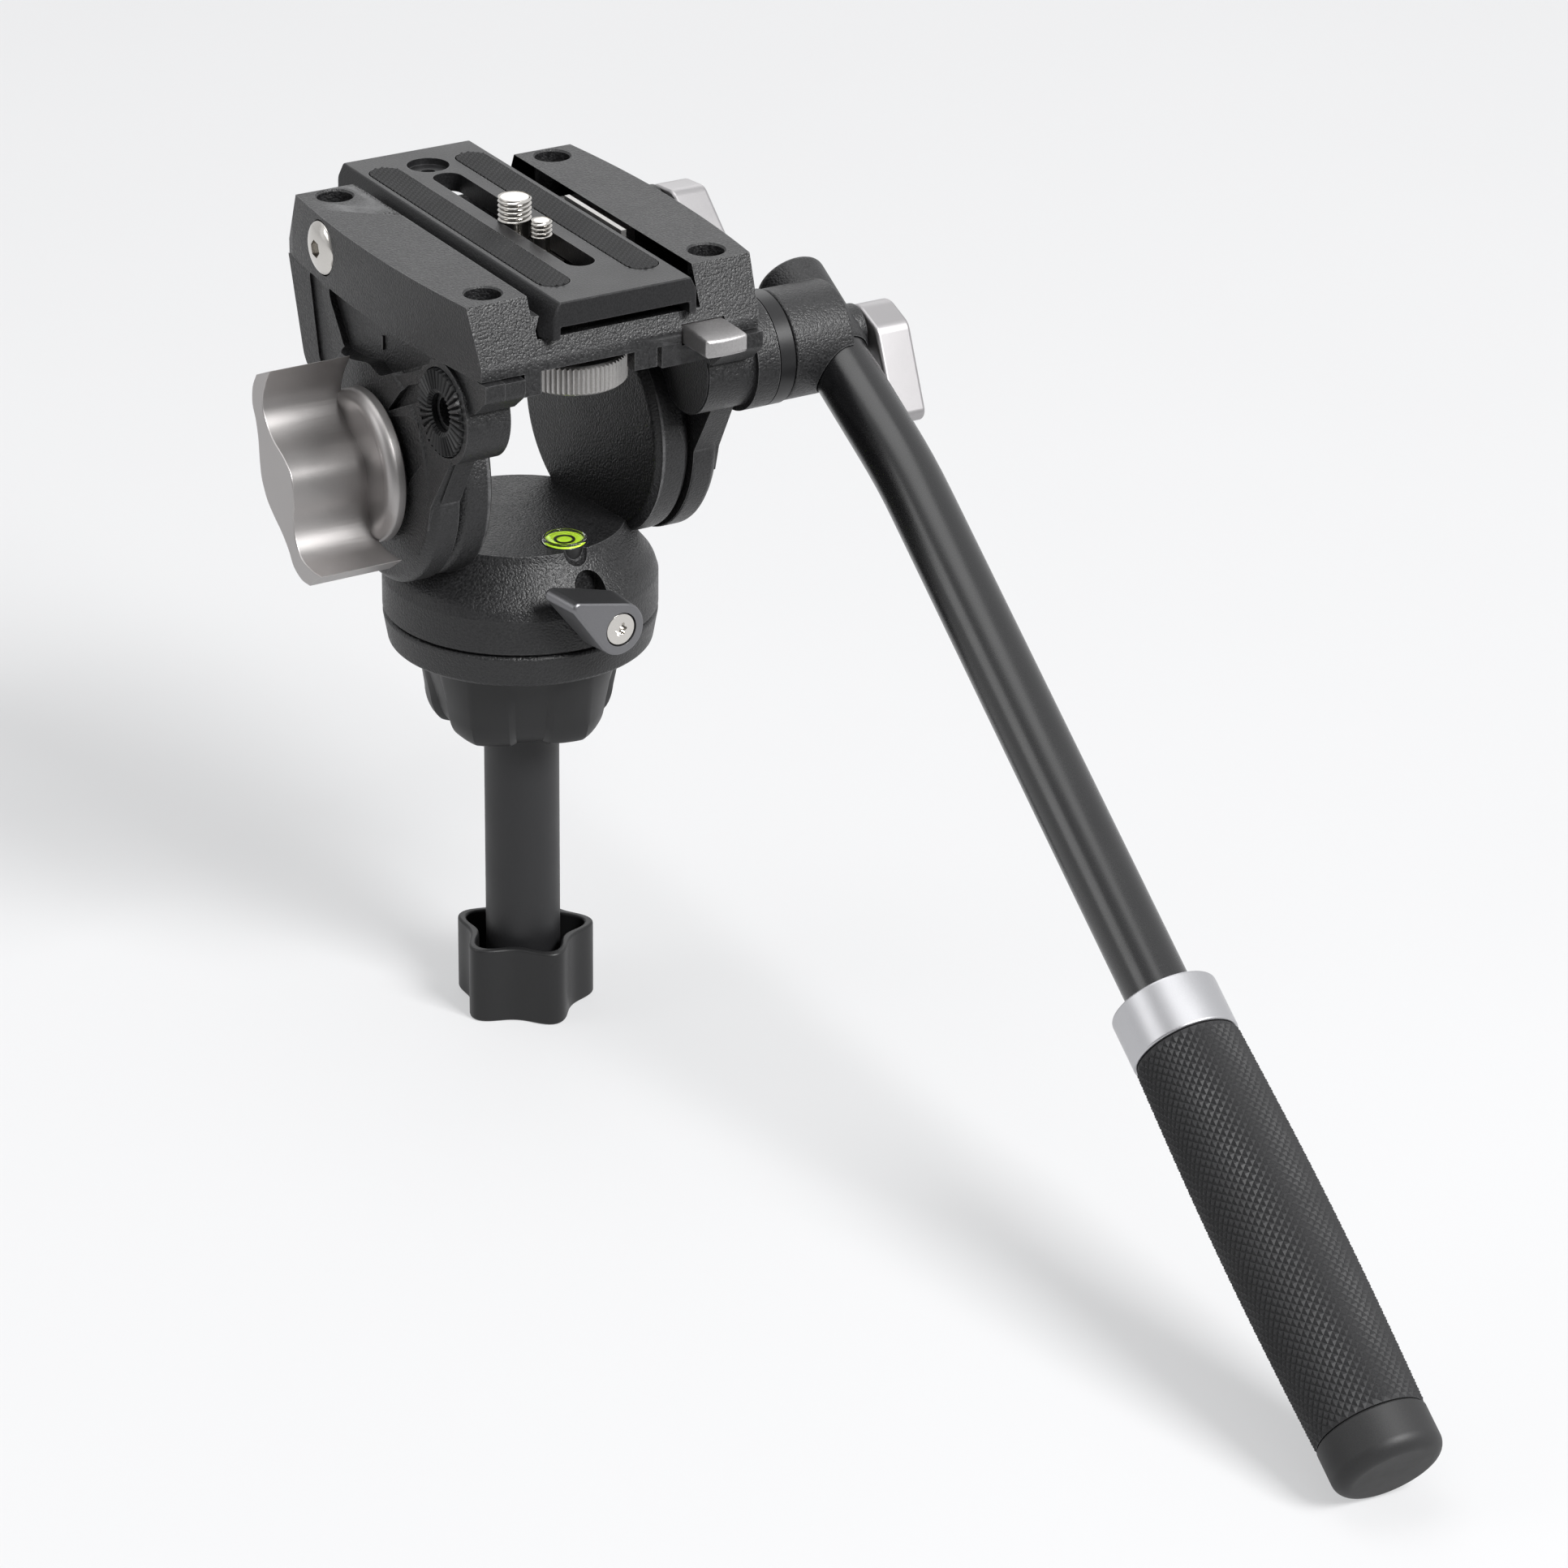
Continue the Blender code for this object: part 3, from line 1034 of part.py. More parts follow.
def toothed_ring(name, face, back, radius, parent):
    """Rosette: a ring whose face at -X carries radial teeth."""
    teeth = 2 * ROSETTE_TEETH
    item = ring(radius, ROSETTE_BORE, face, back, (0, ROSETTE_Y, ROSETTE_Z), (0, math.pi / 2, 0), teeth)
    rosette = mesh_of(item)
    for spot in rosette.data.vertices:
        if spot.co.z < (face + back) / 2:
            angle = math.atan2(spot.co.y, spot.co.x)
            index = round(angle / (2 * math.pi) * teeth)
            if index % 2:
                reach = math.hypot(spot.co.x, spot.co.y) / radius
                spot.co.z += ROSETTE_TOOTH * reach
    as_part(rosette, name, BLACK_PAINT, parent)


def platform_outline():
    """Return the plan of the platform, whose sides bow outwards."""
    front = PLATFORM_FRONT_LIP_Y
    back = PLATFORM_BACK_LIP_Y
    right = []
    for i in range(BOW_POINTS + 1):
        share = i / BOW_POINTS
        bow = (PLATFORM_MID_HALF - PLATFORM_END_HALF) * (1 - (2 * share - 1) ** 2)
        right.append((PLATFORM_END_HALF + bow, front + (back - front) * share))
    left = [(-x, y) for x, y in reversed(right)]
    return right + left


def rail_side_x(y):
    """Return how far out the side of the platform lies at a place along it."""
    share = (y - PLATFORM_FRONT_LIP_Y) / (PLATFORM_BACK_LIP_Y - PLATFORM_FRONT_LIP_Y)
    return PLATFORM_END_HALF + (PLATFORM_MID_HALF - PLATFORM_END_HALF) * (1 - (2 * share - 1) ** 2)


def plate_side_x(drop):
    """Return half the width of the camera plate at a depth below its top."""
    slope = (PLATE_BASE_HALF - PLATE_TOP_HALF) / (PLATE_TOP - PLATE_Z - PLATE_FOOT)
    return PLATE_TOP_HALF + slope * drop


def build_platform(tilt):
    """Platform with its two rails, the channel between them and what hangs under it."""
    body = outline(platform_outline(), PLATFORM_Z, PLATFORM_TOP, (0, 0, 0), ALONG_Z)
    side = [(PLATFORM_FRONT_LIP_Y, PLATFORM_Z), (PLATFORM_FRONT_LIP_Y, PLATFORM_Z + PLATFORM_LIP_HEIGHT),
            (PLATFORM_FRONT_TOP_Y, PLATFORM_TOP), (PLATFORM_BACK_TOP_Y, PLATFORM_TOP),
            (PLATFORM_BACK_LIP_Y, PLATFORM_Z + PLATFORM_LIP_HEIGHT), (PLATFORM_BACK_LIP_Y, PLATFORM_Z)]
    wide = PLATFORM_MID_HALF + CUT_OVERRUN
    boolean(body, outline(side, -wide, wide, (0, 0, 0), ALONG_X), "INTERSECT", "platform_side_view")

    foot_z = PLATE_Z + PLATE_FOOT
    lip_z = PLATE_TOP - DOVETAIL_LIP_DEPTH
    tooth_z = lip_z - SEAT_GAP
    tooth = plate_side_x(PLATE_TOP - tooth_z) + SEAT_GAP + SEAT_GAP / 2
    root = plate_side_x(PLATE_TOP - foot_z) + SEAT_GAP + SEAT_GAP / 2
    channel = [(CHANNEL_HALF, PLATFORM_TOP + CUT_OVERRUN), (-CHANNEL_HALF, PLATFORM_TOP + CUT_OVERRUN),
               (-CHANNEL_HALF, lip_z), (-tooth, tooth_z), (-root, foot_z), (-root, CHANNEL_Z),
               (CHANNEL_HALF, CHANNEL_Z)]
    reach = PLATFORM_BACK_LIP_Y + CUT_OVERRUN
    cut(body, outline(channel, -reach, -PLATFORM_FRONT_LIP_Y + CUT_OVERRUN, (0, 0, 0), ALONG_Y), "channel")

    block = box((-BLOCK_HALF, BLOCK_FRONT_Y, PLATFORM_Z - BLOCK_DEPTH),
                (BLOCK_HALF, BLOCK_BACK_Y, PLATFORM_Z + CUT_OVERRUN))
    join(body, block, "middle_block")
    toe = box((-BLOCK_HALF, PLATFORM_FRONT_LIP_Y, PLATFORM_Z - BLOCK_DEPTH),
              (TOE_BLOCK_INNER_X, PLATFORM_FRONT_LIP_Y + TOE_BLOCK_LENGTH, PLATFORM_Z + CUT_OVERRUN))
    join(body, toe, "toe_block")
    rib = box((RIB_LEFT_X, PLATFORM_FRONT_LIP_Y, PLATFORM_Z - RIB_DEPTH),
              (RIB_RIGHT_X, PLATFORM_FRONT_LIP_Y + RIB_LENGTH, PLATFORM_Z + CUT_OVERRUN))
    join(body, rib, "front_rib")
    housing = box((HOUSING_LEFT_X, PLATFORM_FRONT_LIP_Y, PLATFORM_Z - HOUSING_DEPTH),
                  (HOUSING_RIGHT_X, PLATFORM_FRONT_LIP_Y + HOUSING_LENGTH, PLATFORM_Z + CUT_OVERRUN))
    join(body, housing, "button_housing")

    button_top = PLATFORM_Z + PLATFORM_LIP_HEIGHT + BUTTON_TOP_OVER_LIP
    slot = box((BUTTON_LEFT_X - SEAT_GAP, PLATFORM_FRONT_LIP_Y - CUT_OVERRUN,
                button_top - BUTTON_THICKNESS - SEAT_GAP),
               (BUTTON_LEFT_X + BUTTON_WIDTH + SEAT_GAP,
                BUTTON_FRONT_Y + BUTTON_LENGTH + BUTTON_TRAVEL + RUN_GAP,
                button_top + SEAT_GAP))
    cut(body, slot, "button_slot")
    cut(body, cylinder(CATCH_RADIUS + SEAT_GAP, PLATFORM_Z - BLOCK_DEPTH / 2, CHANNEL_Z + CUT_OVERRUN,
                       (CATCH_X, CATCH_Y), "Z", TINY_SEGMENTS), "catch_hole")
    for x in (-RAIL_HOLE_X, RAIL_HOLE_X):
        for y in (RAIL_HOLE_FRONT_Y, RAIL_HOLE_BACK_Y):
            cut(body, cylinder(RAIL_HOLE_RADIUS, PLATFORM_Z + RAIL_HOLE_FLOOR, PLATFORM_TOP + CUT_OVERRUN,
                               (x, y),
                               "Z", SMALL_SEGMENTS), "rail_hole")
            cut(body, cylinder(RAIL_SCREW_SHANK_RADIUS + SEAT_GAP, PLATFORM_Z - CUT_OVERRUN, PLATFORM_TOP,
                               (x, y),
                               "Z", TINY_SEGMENTS), "rail_shank_hole")
    cut(body, cylinder(WHEEL_SPINDLE_RADIUS + RUN_GAP, PLATFORM_Z - CUT_OVERRUN,
                       PLATFORM_Z + WHEEL_SPINDLE_REACH + RUN_GAP, (WHEEL_X, WHEEL_Y), "Z", TINY_SEGMENTS),
        "wheel_hole")

    screw_z = PLATFORM_Z + SIDE_SCREW_RISE
    side_x = rail_side_x(SIDE_SCREW_Y)
    cut(body, cylinder(SIDE_SCREW_RADIUS + SEAT_GAP, -side_x + SIDE_SEAT_DEPTH, -side_x - SIDE_SCREW_DOME,
                       (SIDE_SCREW_Y, screw_z), "X", SMALL_SEGMENTS), "side_screw_seat")
    cut(body,
        cylinder(SIDE_SCREW_SHANK_RADIUS + SEAT_GAP,
                 -side_x + SIDE_SEAT_DEPTH + SIDE_SCREW_SHANK + SEAT_GAP,
                       -side_x, (SIDE_SCREW_Y, screw_z), "X", TINY_SEGMENTS), "side_screw_hole")
    jaw_z = foot_z + SEAT_GAP
    jaw_room = box((CHANNEL_HALF - CUT_OVERRUN, JAW_CENTRE_Y - JAW_LENGTH / 2 - SEAT_GAP, jaw_z - SEAT_GAP),
                   (jaw_outer_x() + JAW_TRAVEL + RUN_GAP, JAW_CENTRE_Y + JAW_LENGTH / 2 + SEAT_GAP,
                    jaw_z + JAW_HEIGHT + RUN_GAP))
    cut(body, jaw_room, "jaw_room")
    cut(body, cylinder(PLATE_SPINDLE_RADIUS + RUN_GAP, CHANNEL_HALF, PLATFORM_MID_HALF + CUT_OVERRUN,
                       (PLATE_LOCK_Y, PLATE_LOCK_Z), "X", TINY_SEGMENTS), "plate_spindle_hole")
    as_part(body, "platform", BLACK_PAINT, tilt)

    for x, side_word in ((-RAIL_HOLE_X, "left"), (RAIL_HOLE_X, "right")):
        for y, end_word in ((RAIL_HOLE_FRONT_Y, "front"), (RAIL_HOLE_BACK_Y, "rear")):
            floor = PLATFORM_Z + RAIL_HOLE_FLOOR + SEAT_GAP
            top = floor + RAIL_SCREW_HEAD_HEIGHT
            foot = PLATFORM_Z - RAIL_SCREW_GRIP + SEAT_GAP
            shape = [(0, top), (RAIL_SCREW_HEAD_RADIUS, top), (RAIL_SCREW_HEAD_RADIUS, floor),
                     (RAIL_SCREW_SHANK_RADIUS, floor), (RAIL_SCREW_SHANK_RADIUS, foot), (0, foot)]
            screw = turned(shape, (x, y, 0), ALONG_Z, TINY_SEGMENTS)
            as_part(screw, f"rail_screw_{end_word}_{side_word}", STEEL, tilt)

    seat_x = -side_x + SIDE_SEAT_DEPTH - SEAT_GAP
    dome = [(0, -SIDE_SCREW_SHANK)] + [(SIDE_SCREW_SHANK_RADIUS, -SIDE_SCREW_SHANK),
                                       (SIDE_SCREW_SHANK_RADIUS, 0),
                                       (SIDE_SCREW_RADIUS, 0), (SIDE_SCREW_RADIUS, SIDE_SCREW_RIM)]
    crown = SIDE_SCREW_DOME - SIDE_SCREW_RIM
    dome += [(SIDE_SCREW_RADIUS * math.cos(a), SIDE_SCREW_RIM + crown * math.sin(a))
             for a in (math.pi / 8, math.pi / 4, 3 * math.pi / 8)]
    dome.append((0, SIDE_SCREW_DOME))
    dome.reverse()
    screw = turned(dome, (seat_x, SIDE_SCREW_Y, screw_z), (0, -math.pi / 2, 0), SMALL_SEGMENTS)
    socket_end = seat_x - SIDE_SCREW_DOME
    cut(screw, cylinder(SIDE_SCREW_SOCKET, socket_end + SIDE_SCREW_SOCKET_DEPTH, socket_end - CUT_OVERRUN,
                        (SIDE_SCREW_Y, screw_z), "X", 6), "side_screw_socket")
    as_part(screw, "side_screw", STEEL, tilt)


def jaw_outer_x():
    """Return where the clamp jaw ends inside the right rail."""
    return plate_side_x(PLATE_TOP - PLATE_Z - PLATE_FOOT) + SEAT_GAP + JAW_THICKNESS


def build_plate_lock(tilt):
    """Clamp jaw, its spindle and lever on the right rail."""
    slide = joint_empty("jaw_axis", (CHANNEL_HALF, JAW_CENTRE_Y, PLATE_LOCK_Z), tilt)
    low = PLATE_Z + PLATE_FOOT + SEAT_GAP
    high = low + JAW_HEIGHT
    outer = jaw_outer_x()
    shape = [(plate_side_x(PLATE_TOP - low) + SEAT_GAP, low), (outer, low), (outer, high),
             (plate_side_x(PLATE_TOP - high) + SEAT_GAP, high)]
    jaw = outline(shape, -JAW_CENTRE_Y - JAW_LENGTH / 2, -JAW_CENTRE_Y + JAW_LENGTH / 2, (0, 0, 0), ALONG_Y)
    as_part(jaw, "clamp_jaw", STEEL, slide)

    turn = joint_empty("plate_lock_axis", (PLATFORM_MID_HALF, PLATE_LOCK_Y, PLATE_LOCK_Z), tilt)
    rail = rail_side_x(PLATE_LOCK_Y)
    start = rail + PLATE_LOCK_STANDOFF
    end = start + PLATE_LOCK_WIDTH
    lever = outline(rotate_points(lever_outline(), PLATE_LOCK_TURN), start, end,
                    (0, PLATE_LOCK_Y, PLATE_LOCK_Z),
                    ALONG_X)
    cut(lever, cylinder(PLATE_SPINDLE_RADIUS + SEAT_GAP, start - CUT_OVERRUN, end - PLATE_SPINDLE_RADIUS,
                        (PLATE_LOCK_Y, PLATE_LOCK_Z), "X", TINY_SEGMENTS), "plate_lever_bore")
    as_part(lever, "plate_lock_lever", SILVER, turn)
    spindle = cylinder(PLATE_SPINDLE_RADIUS, outer + JAW_TRAVEL + RUN_GAP,
                       end - PLATE_SPINDLE_RADIUS - SEAT_GAP,
                       (PLATE_LOCK_Y, PLATE_LOCK_Z), "X", TINY_SEGMENTS)
    as_part(spindle, "plate_lock_spindle", STEEL, turn)
    collar = ring(COLLAR_RADIUS, PLATE_SPINDLE_RADIUS + SEAT_GAP, rail + SEAT_GAP, start - SEAT_GAP,
                  (0, PLATE_LOCK_Y, PLATE_LOCK_Z), (0, math.pi / 2, 0), SMALL_SEGMENTS)
    as_part(collar, "plate_lock_collar", BLACK_PLASTIC, turn)


def lever_outline():
    """Return the side view of a small clamping lever round its hub."""
    return hull_outline([(0, 0, LEVER_HUB_RADIUS), (LEVER_HEEL_Y, LEVER_HEEL_Z, LEVER_HEEL_RADIUS),
                         (LEVER_TIP_Y, LEVER_TIP_Z, LEVER_TIP_RADIUS)], LEVER_ARC_POINTS)


def build_safety(tilt):
    """Safety button at the front lip and the catch pin it pulls down."""
    press = joint_empty("button_axis", (BUTTON_LEFT_X, PLATFORM_FRONT_LIP_Y, PLATFORM_Z), tilt)
    top = PLATFORM_Z + PLATFORM_LIP_HEIGHT + BUTTON_TOP_OVER_LIP
    button = box((BUTTON_LEFT_X, BUTTON_FRONT_Y, top - BUTTON_THICKNESS),
                 (BUTTON_LEFT_X + BUTTON_WIDTH, BUTTON_FRONT_Y + BUTTON_LENGTH, top))
    bevel = button.modifiers.new("Bevel", "BEVEL")
    bevel.width = BUTTON_BEVEL
    bevel.segments = 2
    as_part(button, "safety_button", SILVER, press)
    drop = joint_empty("catch_axis", (CATCH_X, CATCH_Y, CHANNEL_Z), tilt)
    tip = PLATE_Z + PLATE_RECESS + CATCH_ENGAGE
    catch = cylinder(CATCH_RADIUS, CHANNEL_Z - CATCH_TAIL, tip, (CATCH_X, CATCH_Y), "Z", TINY_SEGMENTS)
    as_part(catch, "safety_catch", STEEL, drop)


def build_thumbwheel(tilt):
    """Knurled wheel and its spindle under the platform."""
    turn = joint_empty("wheel_axis", (WHEEL_X, WHEEL_Y, PLATFORM_Z), tilt)
    top = PLATFORM_Z - WHEEL_DROP
    points = []
    for i in range(2 * WHEEL_RIDGES):
        radius = WHEEL_RADIUS - WHEEL_RIDGE_DEPTH * (i % 2)
        angle = math.pi * i / WHEEL_RIDGES
        points.append((radius * math.cos(angle), radius * math.sin(angle)))
    wheel = outline(points, top - WHEEL_HEIGHT, top, (WHEEL_X, WHEEL_Y, 0), ALONG_Z)
    cut(wheel, cylinder(WHEEL_SPINDLE_RADIUS + SEAT_GAP, top - WHEEL_HEIGHT / 2, top + CUT_OVERRUN,
                        (WHEEL_X, WHEEL_Y), "Z", TINY_SEGMENTS), "wheel_bore")
    as_part(wheel, "thumbwheel", SILVER, turn)
    spindle = cylinder(WHEEL_SPINDLE_RADIUS, top - WHEEL_HEIGHT / 2 + SEAT_GAP,
                       PLATFORM_Z + WHEEL_SPINDLE_REACH,
                       (WHEEL_X, WHEEL_Y), "Z", TINY_SEGMENTS)
    as_part(spindle, "wheel_spindle", STEEL, turn)


def build_drag_knob(tilt):
    """Winged drag knob and its spindle on the tilt axis."""
    turn = joint_empty("drag_knob_axis", (-CHEEK_FACE_X, 0, AXIS_Z), tilt)
    back = CHEEK_FACE_X + DRAG_GAP
    rim = back + DRAG_FLANGE_THICKNESS
    wing_start = back + DRAG_HUB_LENGTH
    wing_end = wing_start + DRAG_WING_LENGTH
    profile = [(0, wing_start + CUT_OVERRUN), (DRAG_HUB_RADIUS, wing_start + CUT_OVERRUN),
               (DRAG_HUB_RADIUS, rim - DRAG_GAP), (DRAG_DISH_RADIUS, rim),
               (DRAG_FLANGE_RADIUS, rim - DRAG_GAP),
               (DRAG_FLANGE_RADIUS, back), (0, back)]
    knob = turned(profile, (0, 0, AXIS_Z), (0, -math.pi / 2, 0), FINE_SEGMENTS)
    size = DRAG_WING_HALF
    upper = [(u * size, v * size) for u, v in DRAG_WING_SHARES]
    upper += [(-u * size, v * size) for u, v in reversed(DRAG_WING_SHARES[:-1])]
    lower = [(-u * size, v * size) for u, v in reversed(DRAG_BACK_SHARES)]
    lower += [(u * size, v * size) for u, v in DRAG_BACK_SHARES[1:]]
    wing = outline(rotate_points(upper + lower, DRAG_WING_TURN), -wing_end, -wing_start, (0, 0, AXIS_Z),
                   ALONG_X)
    join(knob, wing, "drag_wing")
    bore_end = rim + DRAG_FLANGE_THICKNESS
    cut(knob, cylinder(DRAG_SPINDLE_RADIUS + SEAT_GAP, -back + CUT_OVERRUN, -bore_end, (0, AXIS_Z), "X",
                       TINY_SEGMENTS), "drag_bore")
    as_part(knob, "drag_knob", SILVER, turn)
    deep = EAR_OUTER_X - CARTRIDGE_DEPTH - BUSHING_LENGTH
    spindle = cylinder(DRAG_SPINDLE_RADIUS, -deep, -bore_end + SEAT_GAP, (0, AXIS_Z), "X", TINY_SEGMENTS)
    as_part(spindle, "drag_spindle", STEEL, turn)


def bar_path(start, end, count):
    """Return points on the centre line of the pan bar between two distances from the clamp axis."""
    origin = Vector((SLEEVE_X, ROSETTE_Y, ROSETTE_Z))
    first = Vector((0, -math.cos(BAR_DIP), -math.sin(BAR_DIP)))
    last = Vector((-math.sin(BAR_SPLAY), -math.cos(BAR_SPLAY) * math.cos(BAR_LOWER_DIP),
                   -math.cos(BAR_SPLAY) * math.sin(BAR_LOWER_DIP)))
    angle = first.angle(last)
    inward = (last - first * first.dot(last)).normalized()
    bend = BAR_BEND_RADIUS * angle
    points = []
    for i in range(count):
        along = start + (end - start) * i / (count - 1)
        straight = min(along, BAR_STRAIGHT)
        turned_by = min(max(along - BAR_STRAIGHT, 0), bend) / BAR_BEND_RADIUS
        rest = max(along - BAR_STRAIGHT - bend, 0)
        points.append(origin + first * (straight + BAR_BEND_RADIUS * math.sin(turned_by))
                      + inward * (BAR_BEND_RADIUS * (1 - math.cos(turned_by))) + last * rest)
    return points


def bar_frame(along):
    """Return a frame on the lower straight of the pan bar, with local Z pointing to its end."""
    near, far = bar_path(along, along + FERRULE_LENGTH, 2)
    heading = (far - near).to_track_quat("Z", "Y").to_matrix().to_4x4()
    return Matrix.Translation(near) @ heading


def build_pan_bar(tilt):
    """Socket, tube, ferrule, grip and end cap of the pan bar."""
    turn = joint_empty("pan_bar_axis", (SLEEVE_X, ROSETTE_Y, ROSETTE_Z), tilt)
    path = bar_path(-SLEEVE_BACK, SLEEVE_FRONT, 2)
    socket = swept(path, SLEEVE_RADIUS, 6)
    cap_edge = socket.modifiers.new("Bevel", "BEVEL")
    cap_edge.width = SLEEVE_CAP_CHAMFER / 2
    cap_edge.segments = 1
    cap_edge.limit_method = "ANGLE"
    join(socket, cylinder(HANDLE_HUB_RADIUS, HUB_X, SLEEVE_X + HANDLE_HUB_OVERLAP, (ROSETTE_Y, ROSETTE_Z),
                          "X",
                          FINE_SEGMENTS), "socket_hub")
    join(socket, cylinder(LEVER_SEAT_RADIUS, SLEEVE_X + HANDLE_HUB_OVERLAP, HUB_END_X,
                          (ROSETTE_Y, ROSETTE_Z), "X",
                          SMALL_SEGMENTS), "socket_lever_seat")
    mouth = bar_path(-BAR_START - SEAT_GAP, max(SLEEVE_FRONT, HANDLE_HUB_RADIUS) + CUT_OVERRUN, 2)
    cut(socket, swept(mouth, BAR_RADIUS + SEAT_GAP, 6), "socket_bore")
    cut(socket, cylinder(CLAMP_BOLT_RADIUS + RUN_GAP, HUB_X - CUT_OVERRUN, HUB_END_X + CUT_OVERRUN,
                         (ROSETTE_Y, ROSETTE_Z), "X", TINY_SEGMENTS), "socket_bolt_hole")
    as_part(socket, "handle_socket", BLACK_PAINT, turn)

    bend_end = BAR_STRAIGHT + BAR_BEND_RADIUS * bend_angle()
    route = (bar_path(-BAR_START, BAR_STRAIGHT, 2) + bar_path(BAR_STRAIGHT, bend_end, BAR_BEND_POINTS)[1:]
             + bar_path(bend_end, BAR_LENGTH, 2)[1:])
    tube = swept(route, BAR_RADIUS, 6)
    bore_route = [route[0] + (route[0] - route[1]).normalized() * CUT_OVERRUN] + route[1:-1] \
        + [route[-1] + (route[-1] - route[-2]).normalized() * CUT_OVERRUN]
    cut(tube, swept(bore_route, BAR_RADIUS - BAR_WALL, 4), "tube_bore")
    cut(tube, cylinder(CLAMP_BOLT_RADIUS + RUN_GAP, HUB_X, HUB_END_X, (ROSETTE_Y, ROSETTE_Z), "X",
                       TINY_SEGMENTS),
        "tube_bolt_hole")
    as_part(tube, "handle_tube", BLACK_TUBE, turn)

    bore = BAR_RADIUS + SEAT_GAP
    ferrule = turned_on_bar(FERRULE_START, [(bore, 0), (FERRULE_RADIUS - SEAT_GAP, 0),
                                            (FERRULE_RADIUS, SEAT_GAP),
                                            (FERRULE_RADIUS, FERRULE_LENGTH), (bore, FERRULE_LENGTH)], bore)
    as_part(ferrule, "grip_ferrule", SILVER, turn)
    shape = [(bore, 0), (GRIP_START_RADIUS, 0)]
    steps = BAR_BEND_POINTS
    for i in range(1, steps):
        share = i / steps
        straight = GRIP_START_RADIUS + (GRIP_END_RADIUS - GRIP_START_RADIUS) * share
        swell = (GRIP_MID_RADIUS - (GRIP_START_RADIUS + GRIP_END_RADIUS) / 2) * math.sin(math.pi * share)
        shape.append((straight + swell, GRIP_LENGTH * share))
    shape += [(GRIP_END_RADIUS, GRIP_LENGTH), (bore, GRIP_LENGTH)]
    grip = turned_on_bar(GRIP_START, shape, bore)
    as_part(grip, "grip", RUBBER, turn)

    plug = BAR_RADIUS - BAR_WALL - SEAT_GAP
    tube_end = SEAT_GAP - BAR_END_SHORT
    corner = [(CAP_RADIUS - CAP_CORNER + CAP_CORNER * math.cos(a),
               CAP_LENGTH - CAP_CORNER + CAP_CORNER * math.sin(a))
              for a in (0, math.pi / 6, math.pi / 3, math.pi / 2)]
    cap_profile = [(0, tube_end - CAP_PLUG_LENGTH), (plug, tube_end - CAP_PLUG_LENGTH), (plug, 0),
                   (CAP_RADIUS, 0)]
    cap = turned_on_bar(CAP_START, cap_profile + corner + [(0, CAP_LENGTH)], 0)
    as_part(cap, "end_cap", RUBBER, turn)


def bend_angle():
    """Return the angle of the bend in the pan bar."""
    first = Vector((0, -math.cos(BAR_DIP), -math.sin(BAR_DIP)))
    last = Vector((-math.sin(BAR_SPLAY), -math.cos(BAR_SPLAY) * math.cos(BAR_LOWER_DIP),
                   -math.cos(BAR_SPLAY) * math.sin(BAR_LOWER_DIP)))
    return first.angle(last)


def turned_on_bar(along, shape, bore):
    """Return a turned piece on the pan bar; its shape runs from its start to its end."""
    profile = list(reversed(shape))
    if bore > 0:
        profile.append(profile[0])
    item = turned(profile, (0, 0, 0), ALONG_Z, FINE_SEGMENTS)
    return place_on(item, bar_frame(along))


def build_clamp(bar_parent):
    """Clamping lever and bolt of the pan bar."""
    turn = joint_empty("clamp_axis", (HUB_END_X, ROSETTE_Y, ROSETTE_Z), bar_parent)
    start = HUB_END_X + RUN_GAP
    end = start + CLAMP_LEVER_WIDTH
    lever = outline(lever_outline(), start, end, (0, ROSETTE_Y, ROSETTE_Z), ALONG_X)
    cut(lever, cylinder(CLAMP_BOLT_RADIUS + SEAT_GAP, start - CUT_OVERRUN, end - CLAMP_BOLT_RADIUS,
                        (ROSETTE_Y, ROSETTE_Z), "X", TINY_SEGMENTS), "clamp_lever_bore")
    as_part(lever, "clamp_lever", SILVER, turn)
    bolt = cylinder(CLAMP_BOLT_RADIUS, HUB_X - CLAMP_BOLT_GRIP, end - CLAMP_BOLT_RADIUS - SEAT_GAP,
                    (ROSETTE_Y, ROSETTE_Z), "X", TINY_SEGMENTS)
    as_part(bolt, "clamp_bolt", STEEL, turn)


def pad_outline(centre_x):
    """Return the plan of a rubber pad with blunt round ends."""
    half = PAD_WIDTH / 2
    return (arc((centre_x, PAD_BACK_Y - half), half, 0, math.pi, PAD_END_POINTS)
            + arc((centre_x, PAD_FRONT_Y + half), half, math.pi, 2 * math.pi, PAD_END_POINTS))


